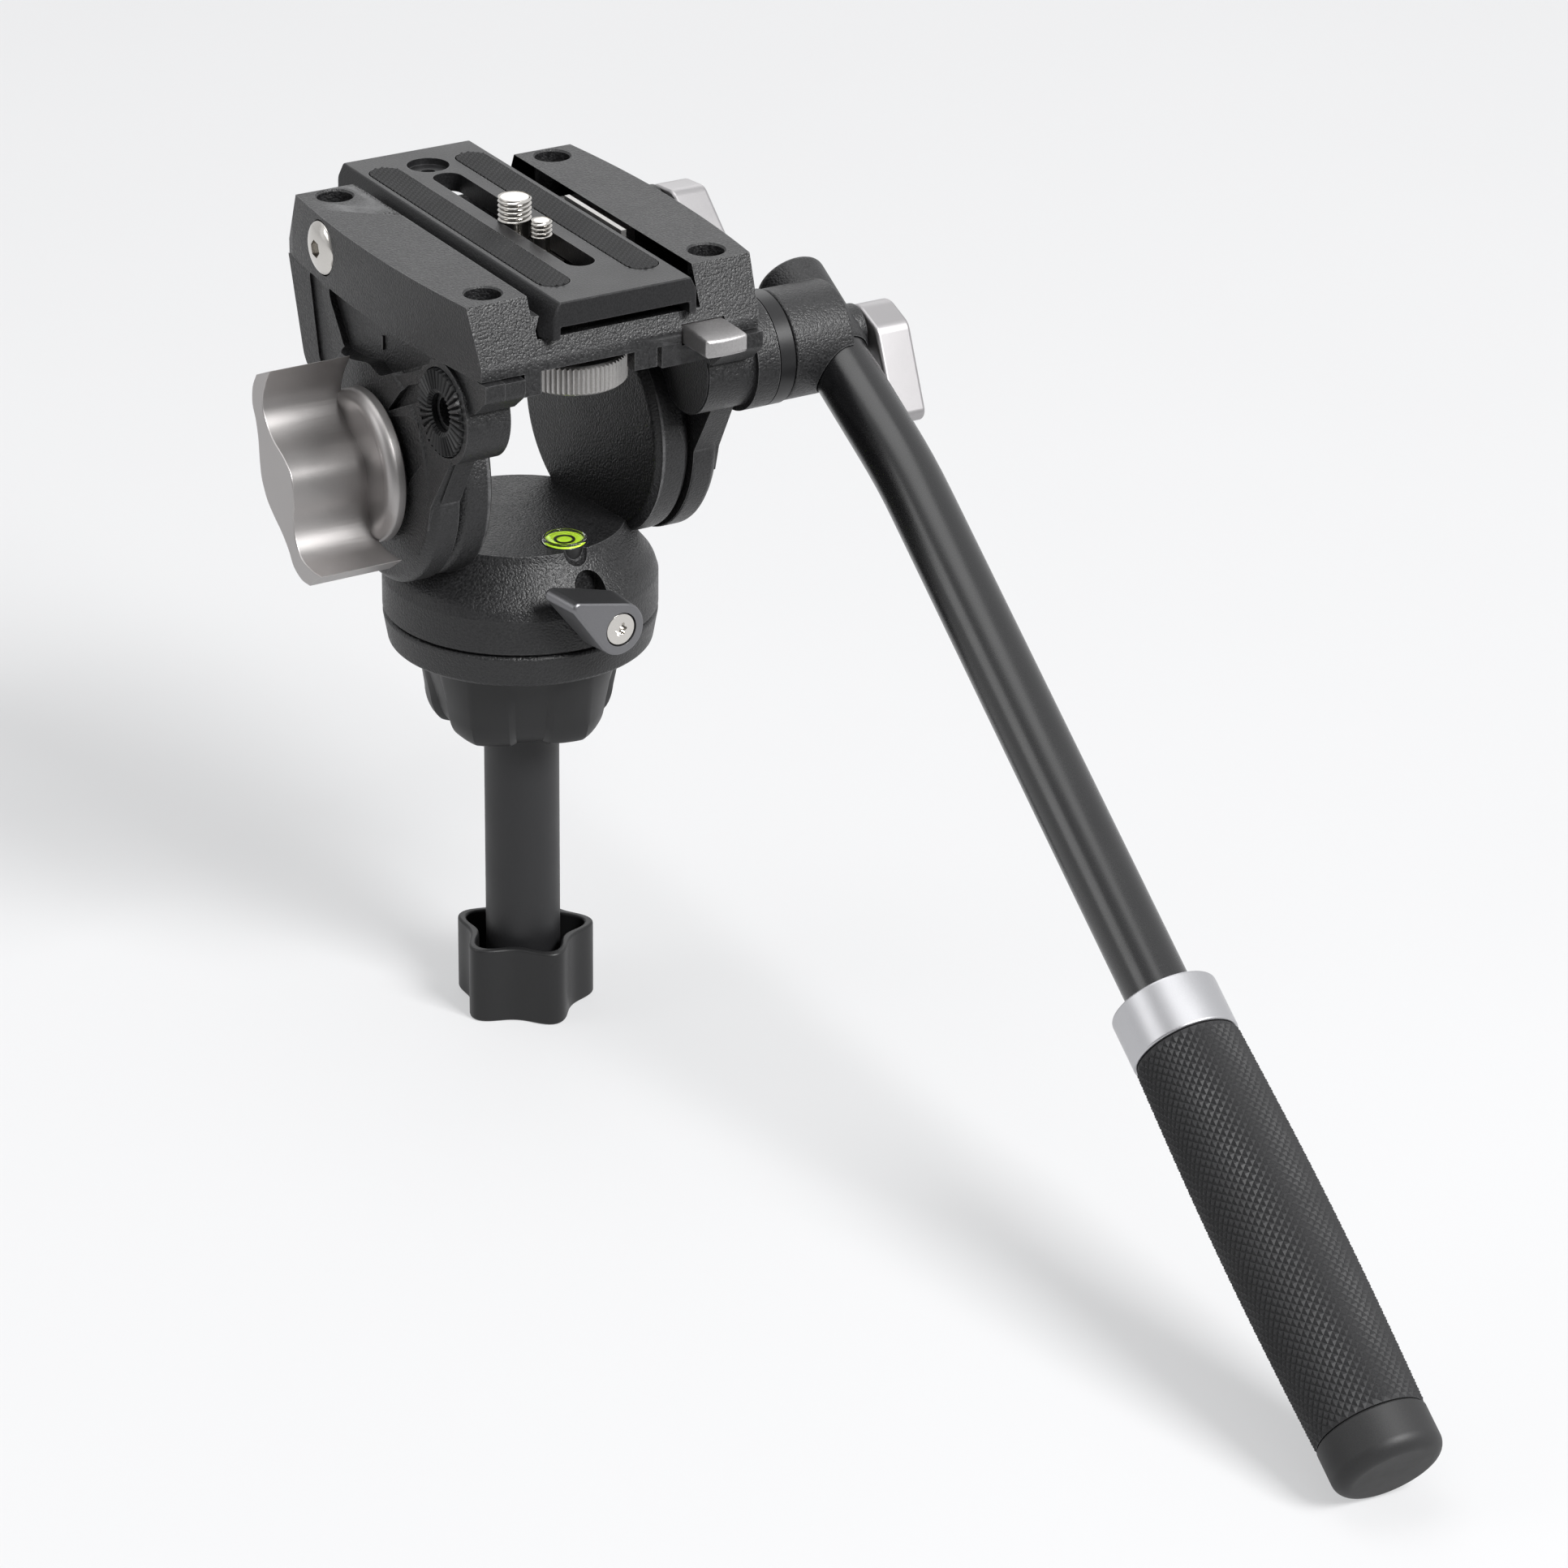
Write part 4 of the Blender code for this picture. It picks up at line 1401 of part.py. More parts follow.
def build_camera_plate(tilt):
    """Sliding camera plate, its pads, and its two camera screws with their retainers."""
    slide = joint_empty("plate_axis", (0, PLATE_FRONT_Y + PLATE_LENGTH / 2, PLATE_Z), tilt)
    foot_z = PLATE_Z + PLATE_FOOT
    recess_z = PLATE_Z + PLATE_RECESS
    half = [(PLATE_TOP_HALF, PLATE_TOP), (PLATE_BASE_HALF, foot_z), (PLATE_BASE_HALF, PLATE_Z),
            (PLATE_RECESS_HALF, PLATE_Z), (PLATE_RECESS_HALF, recess_z)]
    section = half + [(-x, z) for x, z in reversed(half)]
    back = PLATE_BACK_Y
    plate = outline(section, -back, -PLATE_FRONT_Y, (0, 0, 0), ALONG_Y)
    wide = PLATE_BASE_HALF + SEAT_GAP
    narrow = PLATE_BASE_HALF - PLATE_CORNER_WIDE
    plan = [(narrow, PLATE_FRONT_Y), (wide, PLATE_FRONT_Y + PLATE_CORNER_LONG),
            (wide, back - PLATE_CORNER_LONG),
            (narrow, back), (-narrow, back), (-wide, back - PLATE_CORNER_LONG),
            (-wide, PLATE_FRONT_Y + PLATE_CORNER_LONG), (-narrow, PLATE_FRONT_Y)]
    boolean(plate, outline(plan, PLATE_Z - CUT_OVERRUN, PLATE_TOP + CUT_OVERRUN, (0, 0, 0), ALONG_Z),
            "INTERSECT",
            "plate_plan")
    slot = (arc((0, SLOT_BACK_Y - SLOT_HALF), SLOT_HALF, 0, math.pi, PAD_END_POINTS)
            + arc((0, SLOT_FRONT_Y + SLOT_HALF), SLOT_HALF, math.pi, 2 * math.pi, PAD_END_POINTS))
    cut(plate, outline(slot, PLATE_Z - CUT_OVERRUN, PLATE_TOP + CUT_OVERRUN, (0, 0, 0), ALONG_Z),
        "screw_slot")
    spread = HEAD_GROOVE_HALF - SLOT_HALF
    groove = box((-HEAD_GROOVE_HALF, SLOT_FRONT_Y - spread, PLATE_Z - CUT_OVERRUN),
                 (HEAD_GROOVE_HALF, SLOT_BACK_Y + spread, recess_z + HEAD_GROOVE_DEPTH))
    cut(plate, groove, "head_groove")
    side = CATCH_RADIUS + CATCH_GROOVE_SIDE
    catch_groove = box((CATCH_X - side, CATCH_Y - CATCH_GROOVE_HALF_LENGTH, PLATE_Z - CUT_OVERRUN),
                       (CATCH_X + side, CATCH_Y + CATCH_GROOVE_HALF_LENGTH, recess_z + CATCH_GROOVE_DEPTH))
    cut(plate, catch_groove, "catch_groove")
    cut(plate, cylinder(PIN_BORE_RADIUS, PLATE_TOP - PIN_BORE_DEPTH, PLATE_TOP + CUT_OVERRUN,
                        (0, PIN_BORE_Y), "Z",
                        SMALL_SEGMENTS), "pin_bore")
    cut(plate, cylinder(PIN_HOLE_RADIUS, PLATE_Z - CUT_OVERRUN, PLATE_TOP, (0, PIN_BORE_Y), "Z",
                        TINY_SEGMENTS),
        "pin_hole")
    for sign, word in ((-1, "left"), (1, "right")):
        room = outline(pad_outline(sign * PAD_CENTRE_X), PLATE_TOP - PAD_DEPTH - SEAT_GAP,
                       PLATE_TOP + CUT_OVERRUN,
                       (0, 0, 0), ALONG_Z)
        cut(plate, room, word + "_pad_room")
    as_part(plate, "camera_plate", BLACK_PAINT, slide)
    for sign, word in ((-1, "left"), (1, "right")):
        shrink = (PAD_WIDTH - 2 * SEAT_GAP) / PAD_WIDTH
        points = [(sign * PAD_CENTRE_X + (x - sign * PAD_CENTRE_X) * shrink, y)
                  for x, y in pad_outline(sign * PAD_CENTRE_X)]
        middle = (PAD_FRONT_Y + PAD_BACK_Y) / 2
        length = PAD_BACK_Y - PAD_FRONT_Y
        points = [(x, middle + (y - middle) * (length - 2 * SEAT_GAP) / length) for x, y in points]
        pad = outline(points, PLATE_TOP - PAD_DEPTH, PLATE_TOP + PAD_PROUD, (0, 0, 0), ALONG_Z)
        as_part(pad, word + "_pad", RUBBER, slide)

    sizes = (("large", LARGE_SCREW_Y, LARGE_THREAD_RADIUS, LARGE_SHANK_RADIUS, LARGE_PROTRUSION,
              LARGE_PITCH),
             ("small", SMALL_SCREW_Y, SMALL_THREAD_RADIUS, SMALL_SHANK_RADIUS, SMALL_PROTRUSION,
              SMALL_PITCH))
    groove_top = recess_z + HEAD_GROOVE_DEPTH
    for word, y, thread, shank, rise, pitch in sizes:
        carriage = joint_empty(word + "_screw_slide_axis", (0, y, groove_top), slide)
        retainer = ring(RETAINER_RADIUS, shank + SEAT_GAP, groove_top - SEAT_GAP - RETAINER_THICKNESS,
                        groove_top - SEAT_GAP, (0, y, 0), ALONG_Z, SMALL_SEGMENTS)
        as_part(retainer, word + "_screw_retainer", STEEL, carriage)
        turn = joint_empty(word + "_screw_turn_axis", (0, y, groove_top), carriage)
        head_top = groove_top - 2 * SEAT_GAP - RETAINER_THICKNESS
        head_bottom = head_top - SCREW_HEAD_HEIGHT
        thread_start = PLATE_TOP + SEAT_GAP
        top = PLATE_TOP + rise
        profile = [(0, top), (thread - THREAD_DEPTH, top)]
        count = int((top - thread_start) / pitch)
        for i in range(count):
            crest = top - pitch * (i + 1) + pitch / 2
            profile.append((thread, crest))
            profile.append((thread - THREAD_DEPTH, crest - pitch / 2))
        profile += [(shank, thread_start), (shank, head_top), (SCREW_HEAD_RADIUS, head_top),
                    (SCREW_HEAD_RADIUS, head_bottom), (0, head_bottom)]
        screw = turned(profile, (0, y, 0), ALONG_Z, SMALL_SEGMENTS)
        as_part(screw, word + "_screw", STEEL, turn)


def build():
    """Build the whole head."""
    pan = joint_empty("pan_axis", (0, 0, PAN_Z))
    tilt = joint_empty("tilt_axis", (0, 0, AXIS_Z), pan)
    build_tie_down()
    build_half_ball()
    build_base()
    build_pan_body(pan)
    build_pan_lock(pan)
    build_cheeks(tilt)
    build_platform(tilt)
    build_plate_lock(tilt)
    build_safety(tilt)
    build_thumbwheel(tilt)
    build_drag_knob(tilt)
    build_pan_bar(tilt)
    build_clamp(tilt)
    build_camera_plate(tilt)


clear_scene()
PARTS = make_collection("fluid_video_head")
CUTTERS = make_collection("cutters")
build()
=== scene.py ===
"""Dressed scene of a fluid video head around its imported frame.

Sizes are in millimetres and become metres in the mesh. X runs along the tilt axis with the drag
knob at -X, the operator stands at -Y, Z points up, and the star knob stands on the floor at 0.
"""

import json
import logging
from collections.abc import Callable
from dataclasses import dataclass
from enum import Enum
from math import acos, asin, atan2, cos, degrees, hypot, pi, radians, sin

import bpy
from mathutils import Matrix, Vector

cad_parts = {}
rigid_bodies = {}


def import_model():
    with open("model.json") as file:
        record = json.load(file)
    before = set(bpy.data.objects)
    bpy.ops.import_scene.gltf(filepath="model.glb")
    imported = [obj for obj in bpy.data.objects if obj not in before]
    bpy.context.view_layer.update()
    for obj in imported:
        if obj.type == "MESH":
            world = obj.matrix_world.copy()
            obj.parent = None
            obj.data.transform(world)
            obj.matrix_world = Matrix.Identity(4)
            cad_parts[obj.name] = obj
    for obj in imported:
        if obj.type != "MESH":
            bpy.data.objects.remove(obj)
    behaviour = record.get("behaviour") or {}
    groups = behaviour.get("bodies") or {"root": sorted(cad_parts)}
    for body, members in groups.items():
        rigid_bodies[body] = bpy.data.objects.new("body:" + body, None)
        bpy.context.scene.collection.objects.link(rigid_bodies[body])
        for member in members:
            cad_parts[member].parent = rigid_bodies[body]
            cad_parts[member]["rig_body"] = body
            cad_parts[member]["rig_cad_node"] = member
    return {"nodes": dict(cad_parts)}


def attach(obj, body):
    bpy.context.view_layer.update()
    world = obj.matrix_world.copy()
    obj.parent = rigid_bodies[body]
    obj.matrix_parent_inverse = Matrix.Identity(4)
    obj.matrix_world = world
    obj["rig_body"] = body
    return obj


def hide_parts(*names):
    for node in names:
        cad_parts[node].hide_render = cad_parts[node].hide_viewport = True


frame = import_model()

LOG = logging.getLogger("fluid_video_head")
MM = 0.001
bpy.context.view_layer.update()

Pair = tuple[float, float]
Triple = tuple[float, float, float]
Colour = Triple
Socket = bpy.types.NodeSocket
Piece = bpy.types.Object
Outline = list[Pair]


class Turn(Enum):
    """How a piece drawn flat, with its height along local Z, is turned into place."""

    UP = ((1, 0, 0), (0, 1, 0), (0, 0, 1))
    RIGHT = ((0, 0, 1), (1, 0, 0), (0, 1, 0))
    FRONT = ((1, 0, 0), (0, 0, -1), (0, 1, 0))

    def at(self, x: float = 0, y: float = 0, z: float = 0) -> Matrix:
        """Return the placement of this turn at a point in millimetres."""
        return Matrix.Translation(Vector((x, y, z)) * MM) @ Matrix(self.value).to_4x4()


class Cut(Enum):
    """What a tool piece does to a body."""

    REMOVE = "DIFFERENCE"
    ADD = "UNION"
    KEEP = "INTERSECT"


# Outlines


def arc(centre: Pair, radius: float, start: float, end: float, count: int) -> Outline:
    """Draw an arc.

    Args:
        centre: Middle of the arc.
        radius: Its radius.
        start: First angle in degrees.
        end: Last angle in degrees.
        count: Number of points.

    Returns:
        The points from start to end.
    """
    turns = [radians(start + (end - start) * i / (count - 1)) for i in range(count)]
    return [(centre[0] + radius * cos(a), centre[1] + radius * sin(a)) for a in turns]


def eased(points: Outline, radius: float, steps: int = 4, closed: bool = True) -> Outline:
    """Round the corners of an outline or profile.

    Args:
        points: Corners in order.
        radius: Largest length that a corner gives up on each side.
        steps: Segments in each corner.
        closed: Whether the last corner joins the first.

    Returns:
        The points with each corner as a short curve.
    """
    count = len(points)
    result = []
    for i, corner in enumerate(points):
        if not closed and i in (0, count - 1):
            result.append(corner)
            continue
        here = Vector(corner)
        before = Vector(points[i - 1]) - here
        after = Vector(points[(i + 1) % count]) - here
        if before.length < 1e-6 or after.length < 1e-6 or before.angle(after) > radians(172):
            result.append(corner)
            continue
        start = here + before.normalized() * min(radius, before.length * 0.45)
        end = here + after.normalized() * min(radius, after.length * 0.45)
        for k in range(steps + 1):
            t = k / steps
            spot = start * (1 - t) ** 2 + here * 2 * t * (1 - t) + end * t ** 2
            result.append((spot.x, spot.y))
    return result


def flowing(points: Outline, steps: int = 5) -> Outline:
    """Draw a smooth open curve through points.

    Args:
        points: Points that the curve passes.
        steps: Segments between two of them.

    Returns:
        The points of the curve.
    """
    spots = [Vector(p) for p in points]
    spots = [spots[0] * 2 - spots[1]] + spots + [spots[-1] * 2 - spots[-2]]
    result = []
    for a, b, c, d in zip(spots, spots[1:], spots[2:], spots[3:]):
        for k in range(steps):
            t = k / steps
            spot = (b * 2 + (c - a) * t + (a * 2 - b * 5 + c * 4 - d) * t ** 2
                    + (b * 3 - a - c * 3 + d) * t ** 3) * 0.5
            result.append((spot.x, spot.y))
    return result + [tuple(points[-1])]


def spun(points: Outline, angle: float) -> Outline:
    """Return points turned about the origin by an angle in degrees."""
    turn = radians(angle)
    return [(a * cos(turn) - b * sin(turn), a * sin(turn) + b * cos(turn)) for a, b in points]


def wrapped(circles: list[Triple], count: int) -> Outline:
    """Draw the outline round circles.

    Args:
        circles: Each circle as (across, up, radius), counter-clockwise.
        count: Points on each arc.

    Returns:
        The closed outline.
    """
    def normal(first: Triple, second: Triple) -> float:
        """Return the direction of the outer tangent's normal in degrees.

        Args:
            first: The circle before.
            second: The circle after.

        Returns:
            The angle in degrees.
        """
        across, up = second[0] - first[0], second[1] - first[1]
        lean = asin((second[2] - first[2]) / hypot(across, up))
        return degrees(atan2(up, across) - pi / 2 - lean)

    result = []
    for i, (across, up, radius) in enumerate(circles):
        start = normal(circles[i - 1], circles[i])
        end = normal(circles[i], circles[(i + 1) % len(circles)])
        result += arc((across, up), radius, start, start + (end - start) % 360, count)
    return result


# Modelling steps


def put_down() -> None:
    """Leave edit mode and select nothing."""
    if bpy.context.mode != "OBJECT":
        bpy.ops.object.mode_set(mode="OBJECT")
    bpy.ops.object.select_all(action="DESELECT")


def take_up(piece: Piece) -> None:
    """Select one piece alone and make it active.

    Args:
        piece: The piece.
    """
    put_down()
    piece.select_set(True)
    bpy.context.view_layer.objects.active = piece


def edit(piece: Piece) -> None:
    """Open one piece in edit mode with all of it selected.

    Args:
        piece: The piece.
    """
    take_up(piece)
    bpy.ops.object.mode_set(mode="EDIT")
    bpy.ops.mesh.select_all(action="SELECT")


def set_at(piece: Piece, place: Matrix) -> Piece:
    """Carry a piece to its place, which goes into its mesh.

    Args:
        piece: The piece, as drawn at the origin.
        place: Placement of the drawing.

    Returns:
        The piece.
    """
    take_up(piece)
    piece.matrix_world = place
    bpy.ops.object.transform_apply(location=True, rotation=True, scale=True)
    return piece


def settle(place: Matrix) -> Piece:
    """Leave edit mode and carry the active piece to its place.

    Args:
        place: Placement of the drawn piece.

    Returns:
        The piece, with its place in its mesh.
    """
    bpy.ops.object.mode_set(mode="OBJECT")
    return set_at(bpy.context.active_object, place)


def linked(piece: Piece, points: list[int]) -> None:
    """Join chosen points across their faces and leave the piece in edit mode.

    Args:
        piece: The piece.
        points: Indices of the points.
    """
    take_up(piece)
    for items in (piece.data.vertices, piece.data.edges, piece.data.polygons):
        for item in items:
            item.select = False
    for index in points:
        piece.data.vertices[index].select = True
    bpy.ops.object.mode_set(mode="EDIT")
    bpy.ops.mesh.select_mode(type="VERT")
    bpy.ops.mesh.vert_connect()


def face_out() -> None:
    """Turn all faces of the piece in edit mode outwards."""
    bpy.ops.mesh.select_all(action="SELECT")
    bpy.ops.mesh.normals_make_consistent(inside=False)


def trace(points: list[Vector], closed: bool) -> None:
    """Draw a line by extruding one vertex from point to point, and leave it in edit mode.

    Args:
        points: The line's points.
        closed: Whether the line is closed and filled.
    """
    put_down()
    bpy.ops.mesh.primitive_plane_add(size=MM, location=(0, 0, 0))
    bpy.ops.object.mode_set(mode="EDIT")
    bpy.ops.mesh.merge(type="CENTER")
    bpy.ops.transform.translate(value=points[0] * MM)
    for here, there in zip(points, points[1:]):
        bpy.ops.mesh.extrude_region_move(TRANSFORM_OT_translate={"value": (there - here) * MM})
    bpy.ops.mesh.select_all(action="SELECT")
    if closed:
        bpy.ops.mesh.edge_face_add()


def lathe(profile: Outline, place: Matrix, steps: int = 96) -> Piece:
    """Turn a piece.

    Args:
        profile: Points as (radius, height). A ring's profile ends where it starts.
        place: Placement, with the axis along local Z.
        steps: Sides of the turned piece.

    Returns:
        The closed turned piece.
    """
    trace([Vector((radius, 0, height)) for radius, height in profile], closed=False)
    bpy.ops.mesh.spin(steps=steps, angle=2 * pi, center=(0, 0, 0), axis=(0, 0, 1))
    bpy.ops.mesh.select_all(action="SELECT")
    bpy.ops.mesh.remove_doubles(threshold=0.002 * MM)
    bpy.ops.mesh.normals_make_consistent(inside=False)
    return settle(place)


def ring_profile(outer: float, inner: float, low: float, high: float, edge: float) -> Outline:
    """Return the profile of a ring, or of a disc if it has no bore, with eased edges.

    Args:
        outer: Outer radius.
        inner: Radius of the bore, or 0.
        low: Lower end.
        high: Upper end.
        edge: Easing of the edges.

    Returns:
        The profile as (radius, height).
    """
    if inner == 0:
        return eased([(0, high), (outer, high), (outer, low), (0, low)], edge, closed=False)
    corners = eased([(outer, high), (outer, low), (inner, low), (inner, high)], edge)
    return corners + [corners[0]]


def prism(points: Outline, low: float, high: float, place: Matrix) -> Piece:
    """Draw a flat outline and extrude it.

    Args:
        points: The outline.
        low: Height of its first face along local Z.
        high: Height of its second face.
        place: Placement of the drawing.

    Returns:
        The closed prism.
    """
    trace([Vector((across, up, low)) for across, up in points], closed=True)
    bpy.ops.mesh.extrude_region_move(TRANSFORM_OT_translate={"value": (0, 0, (high - low) * MM)})
    face_out()
    return settle(place)


def block(low: Triple, high: Triple) -> Piece:
    """Return a block between two corners, to be shaped further or used as a tool.

    Args:
        low: Corner with the least coordinates.
        high: The opposite corner.

    Returns:
        The block.
    """
    put_down()
    middle = [(a + b) / 2 * MM for a, b in zip(low, high)]
    size = [(b - a) * MM for a, b in zip(low, high)]
    bpy.ops.mesh.primitive_cube_add(size=1, location=middle, scale=size)
    bpy.ops.object.transform_apply(location=True, rotation=True, scale=True)
    return bpy.context.active_object


def rod(radius: float, low: float, high: float, place: Matrix, sides: int = 48) -> Piece:
    """Return a rod along local Z, used as a tool or joined to a body.

    Args:
        radius: Its radius.
        low: Its lower end along local Z.
        high: Its upper end.
        place: Its placement.
        sides: Sides of its outline.

    Returns:
        The rod.
    """
    put_down()
    bpy.ops.mesh.primitive_cylinder_add(vertices=sides, radius=radius * MM,
                                        depth=(high - low) * MM, location=(0, 0, 0))
    lift = Matrix.Translation((0, 0, (low + high) / 2 * MM))
    return set_at(bpy.context.active_object, place @ lift)


def combine(body: Piece, tool: Piece, how: Cut = Cut.REMOVE) -> Piece:
    """Cut, join or trim a body with a tool, which is used up.

    Args:
        body: The piece that is kept.
        tool: The piece that works on it.
        how: What the tool does.

    Returns:
        The body.
    """
    take_up(body)
    bpy.ops.object.modifier_add(type="BOOLEAN")
    modifier = body.modifiers[-1]
    modifier.object = tool
    modifier.operation = how.value
    modifier.solver = "EXACT"
    bpy.ops.object.modifier_apply(modifier=modifier.name)
    bpy.data.objects.remove(tool, do_unlink=True)
    return body


def bevelled(piece: Piece, width: float, segments: int = 2, angle: float = 32) -> Piece:
    """Round a piece's sharp edges.

    Args:
        piece: The piece.
        width: Width of the rounding.
        segments: Steps across it.
        angle: Edges flatter than this, in degrees, stay.

    Returns:
        The piece.
    """
    take_up(piece)
    bpy.ops.object.modifier_add(type="BEVEL")
    modifier = piece.modifiers[-1]
    modifier.width = width * MM
    modifier.segments = segments
    modifier.angle_limit = radians(angle)
    modifier.use_clamp_overlap = True
    bpy.ops.object.modifier_apply(modifier=modifier.name)
    return piece


def welded(piece: Piece, flat: float = 0.6) -> Piece:
    """Merge doubles and dissolve the lines inside flat faces.

    Args:
        piece: The piece.
        flat: Largest angle that counts as flat, in degrees.

    Returns:
        The piece.
    """
    edit(piece)
    bpy.ops.mesh.remove_doubles(threshold=0.004 * MM)
    bpy.ops.mesh.dissolve_limited(angle_limit=radians(flat))
    put_down()
    return piece


def copy_of(node: str) -> Piece:
    """Return a welded copy of a CAD node, to be refined.

    Args:
        node: Name of the CAD node.

    Returns:
        The copy.
    """
    source = frame["nodes"][node]
    piece = source.copy()
    piece.data = source.data.copy()
    piece.parent = None
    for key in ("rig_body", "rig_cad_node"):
        del piece[key]
    bpy.context.scene.collection.objects.link(piece)
    take_up(piece)
    bpy.ops.mesh.customdata_custom_splitnormals_clear()
    return welded(piece)


def moved(piece: Piece, shift: Callable[[Vector], Vector]) -> Piece:
    """Move each vertex of a piece by a rule.

    Args:
        piece: The piece.
        shift: Takes a point in millimetres and returns its new place.

    Returns:
        The piece.
    """
    for vertex in piece.data.vertices:
        vertex.co = shift(vertex.co / MM) * MM
    piece.data.update()
    return piece


# Finishes


class Board:
    """A material's node tree, with short ways to add and join nodes."""

    def __init__(self, name: str) -> None:
        """Start a material with its shader and object coordinates.

        Args:
            name: Name of the material.
        """
        self.material = bpy.data.materials.new(name)
        self.material.use_nodes = True
        self.tree = self.material.node_tree
        self.shader = self.tree.nodes["Principled BSDF"]
        self.place = self.add("ShaderNodeTexCoord").outputs["Object"]

    def add(self, kind: str, **settings: object) -> bpy.types.Node:
        """Add a node with settings.

        Args:
            kind: Type of the node.
            settings: Its settings by name.

        Returns:
            The node.
        """
        node = self.tree.nodes.new(kind)
        for name, value in settings.items():
            setattr(node, name, value)
        return node

    def join(self, source: Socket, target: Socket) -> None:
        """Link two sockets."""
        self.tree.links.new(source, target)

    def noise(self, size: float, detail: float = 3, stretch: Colour = (1, 1, 1)) -> Socket:
        """Add a noise whose features have a size in millimetres, stretched along an axis.

        Args:
            size: Size of its features.
            detail: Octaves.
            stretch: Scale by axis.

        Returns:
            Its value.
        """
        mapping = self.add("ShaderNodeMapping")
        mapping.inputs["Scale"].default_value = stretch
        self.join(self.place, mapping.inputs["Vector"])
        node = self.add("ShaderNodeTexNoise")
        node.inputs["Scale"].default_value = 1 / (size * MM)
        node.inputs["Detail"].default_value = detail
        self.join(mapping.outputs["Vector"], node.inputs["Vector"])
        return node.outputs["Fac"]

    def cells(self, size: float, feature: str = "F1") -> Socket:
        """Add a cell pattern with cells of a size in millimetres.

        Args:
            size: Size of a cell.
            feature: What is measured.

        Returns:
            The distance.
        """
        node = self.add("ShaderNodeTexVoronoi", feature=feature)
        node.inputs["Scale"].default_value = 1 / (size * MM)
        self.join(self.place, node.inputs["Vector"])
        return node.outputs["Distance"]

    def spread(self, value: Socket, source: Pair, target: Pair) -> Socket:
        """Map a value from one range to another.

        Args:
            value: The value.
            source: Its range.
            target: The new range.

        Returns:
            The new value.
        """
        node = self.add("ShaderNodeMapRange")
        node.inputs["From Min"].default_value, node.inputs["From Max"].default_value = source
        node.inputs["To Min"].default_value, node.inputs["To Max"].default_value = target
        self.join(value, node.inputs["Value"])
        return node.outputs["Result"]

    def sums(self, first: Socket, second: Socket, operation: str = "ADD") -> Socket:
        """Combine two values.

        Args:
            first: One value.
            second: The other.
            operation: How they combine.

        Returns:
            The result.
        """
        node = self.add("ShaderNodeMath", operation=operation)
        self.join(first, node.inputs[0])
        self.join(second, node.inputs[1])
        return node.outputs["Value"]

    def tint(self, share: Socket, first: Colour, second: Colour) -> Socket:
        """Mix two colours by a share.

        Args:
            share: Share of the second.
            first: One colour.
            second: The other.

        Returns:
            The colour.
        """
        node = self.add("ShaderNodeMix", data_type="RGBA")
        sockets = [s for s in node.inputs if s.type == "RGBA"]
        sockets[0].default_value, sockets[1].default_value = (*first, 1), (*second, 1)
        self.join(share, node.inputs["Factor"])
        return next(s for s in node.outputs if s.type == "RGBA")

    def relief(self, height: Socket, depth: float, strength: float = 1.0) -> None:
        """Raise the surface by a height pattern, with its depth in millimetres.

        Args:
            height: The pattern.
            depth: Its depth.
            strength: Its share.
        """
        node = self.add("ShaderNodeBump")
        node.inputs["Distance"].default_value = depth * MM
        node.inputs["Strength"].default_value = strength
        self.join(height, node.inputs["Height"])
        self.join(node.outputs["Normal"], self.shader.inputs["Normal"])

    def fix(self, **values: object) -> None:
        """Set sockets of the shader, with underscores for spaces."""
        for name, value in values.items():
            self.shader.inputs[name.replace("_", " ")].default_value = value


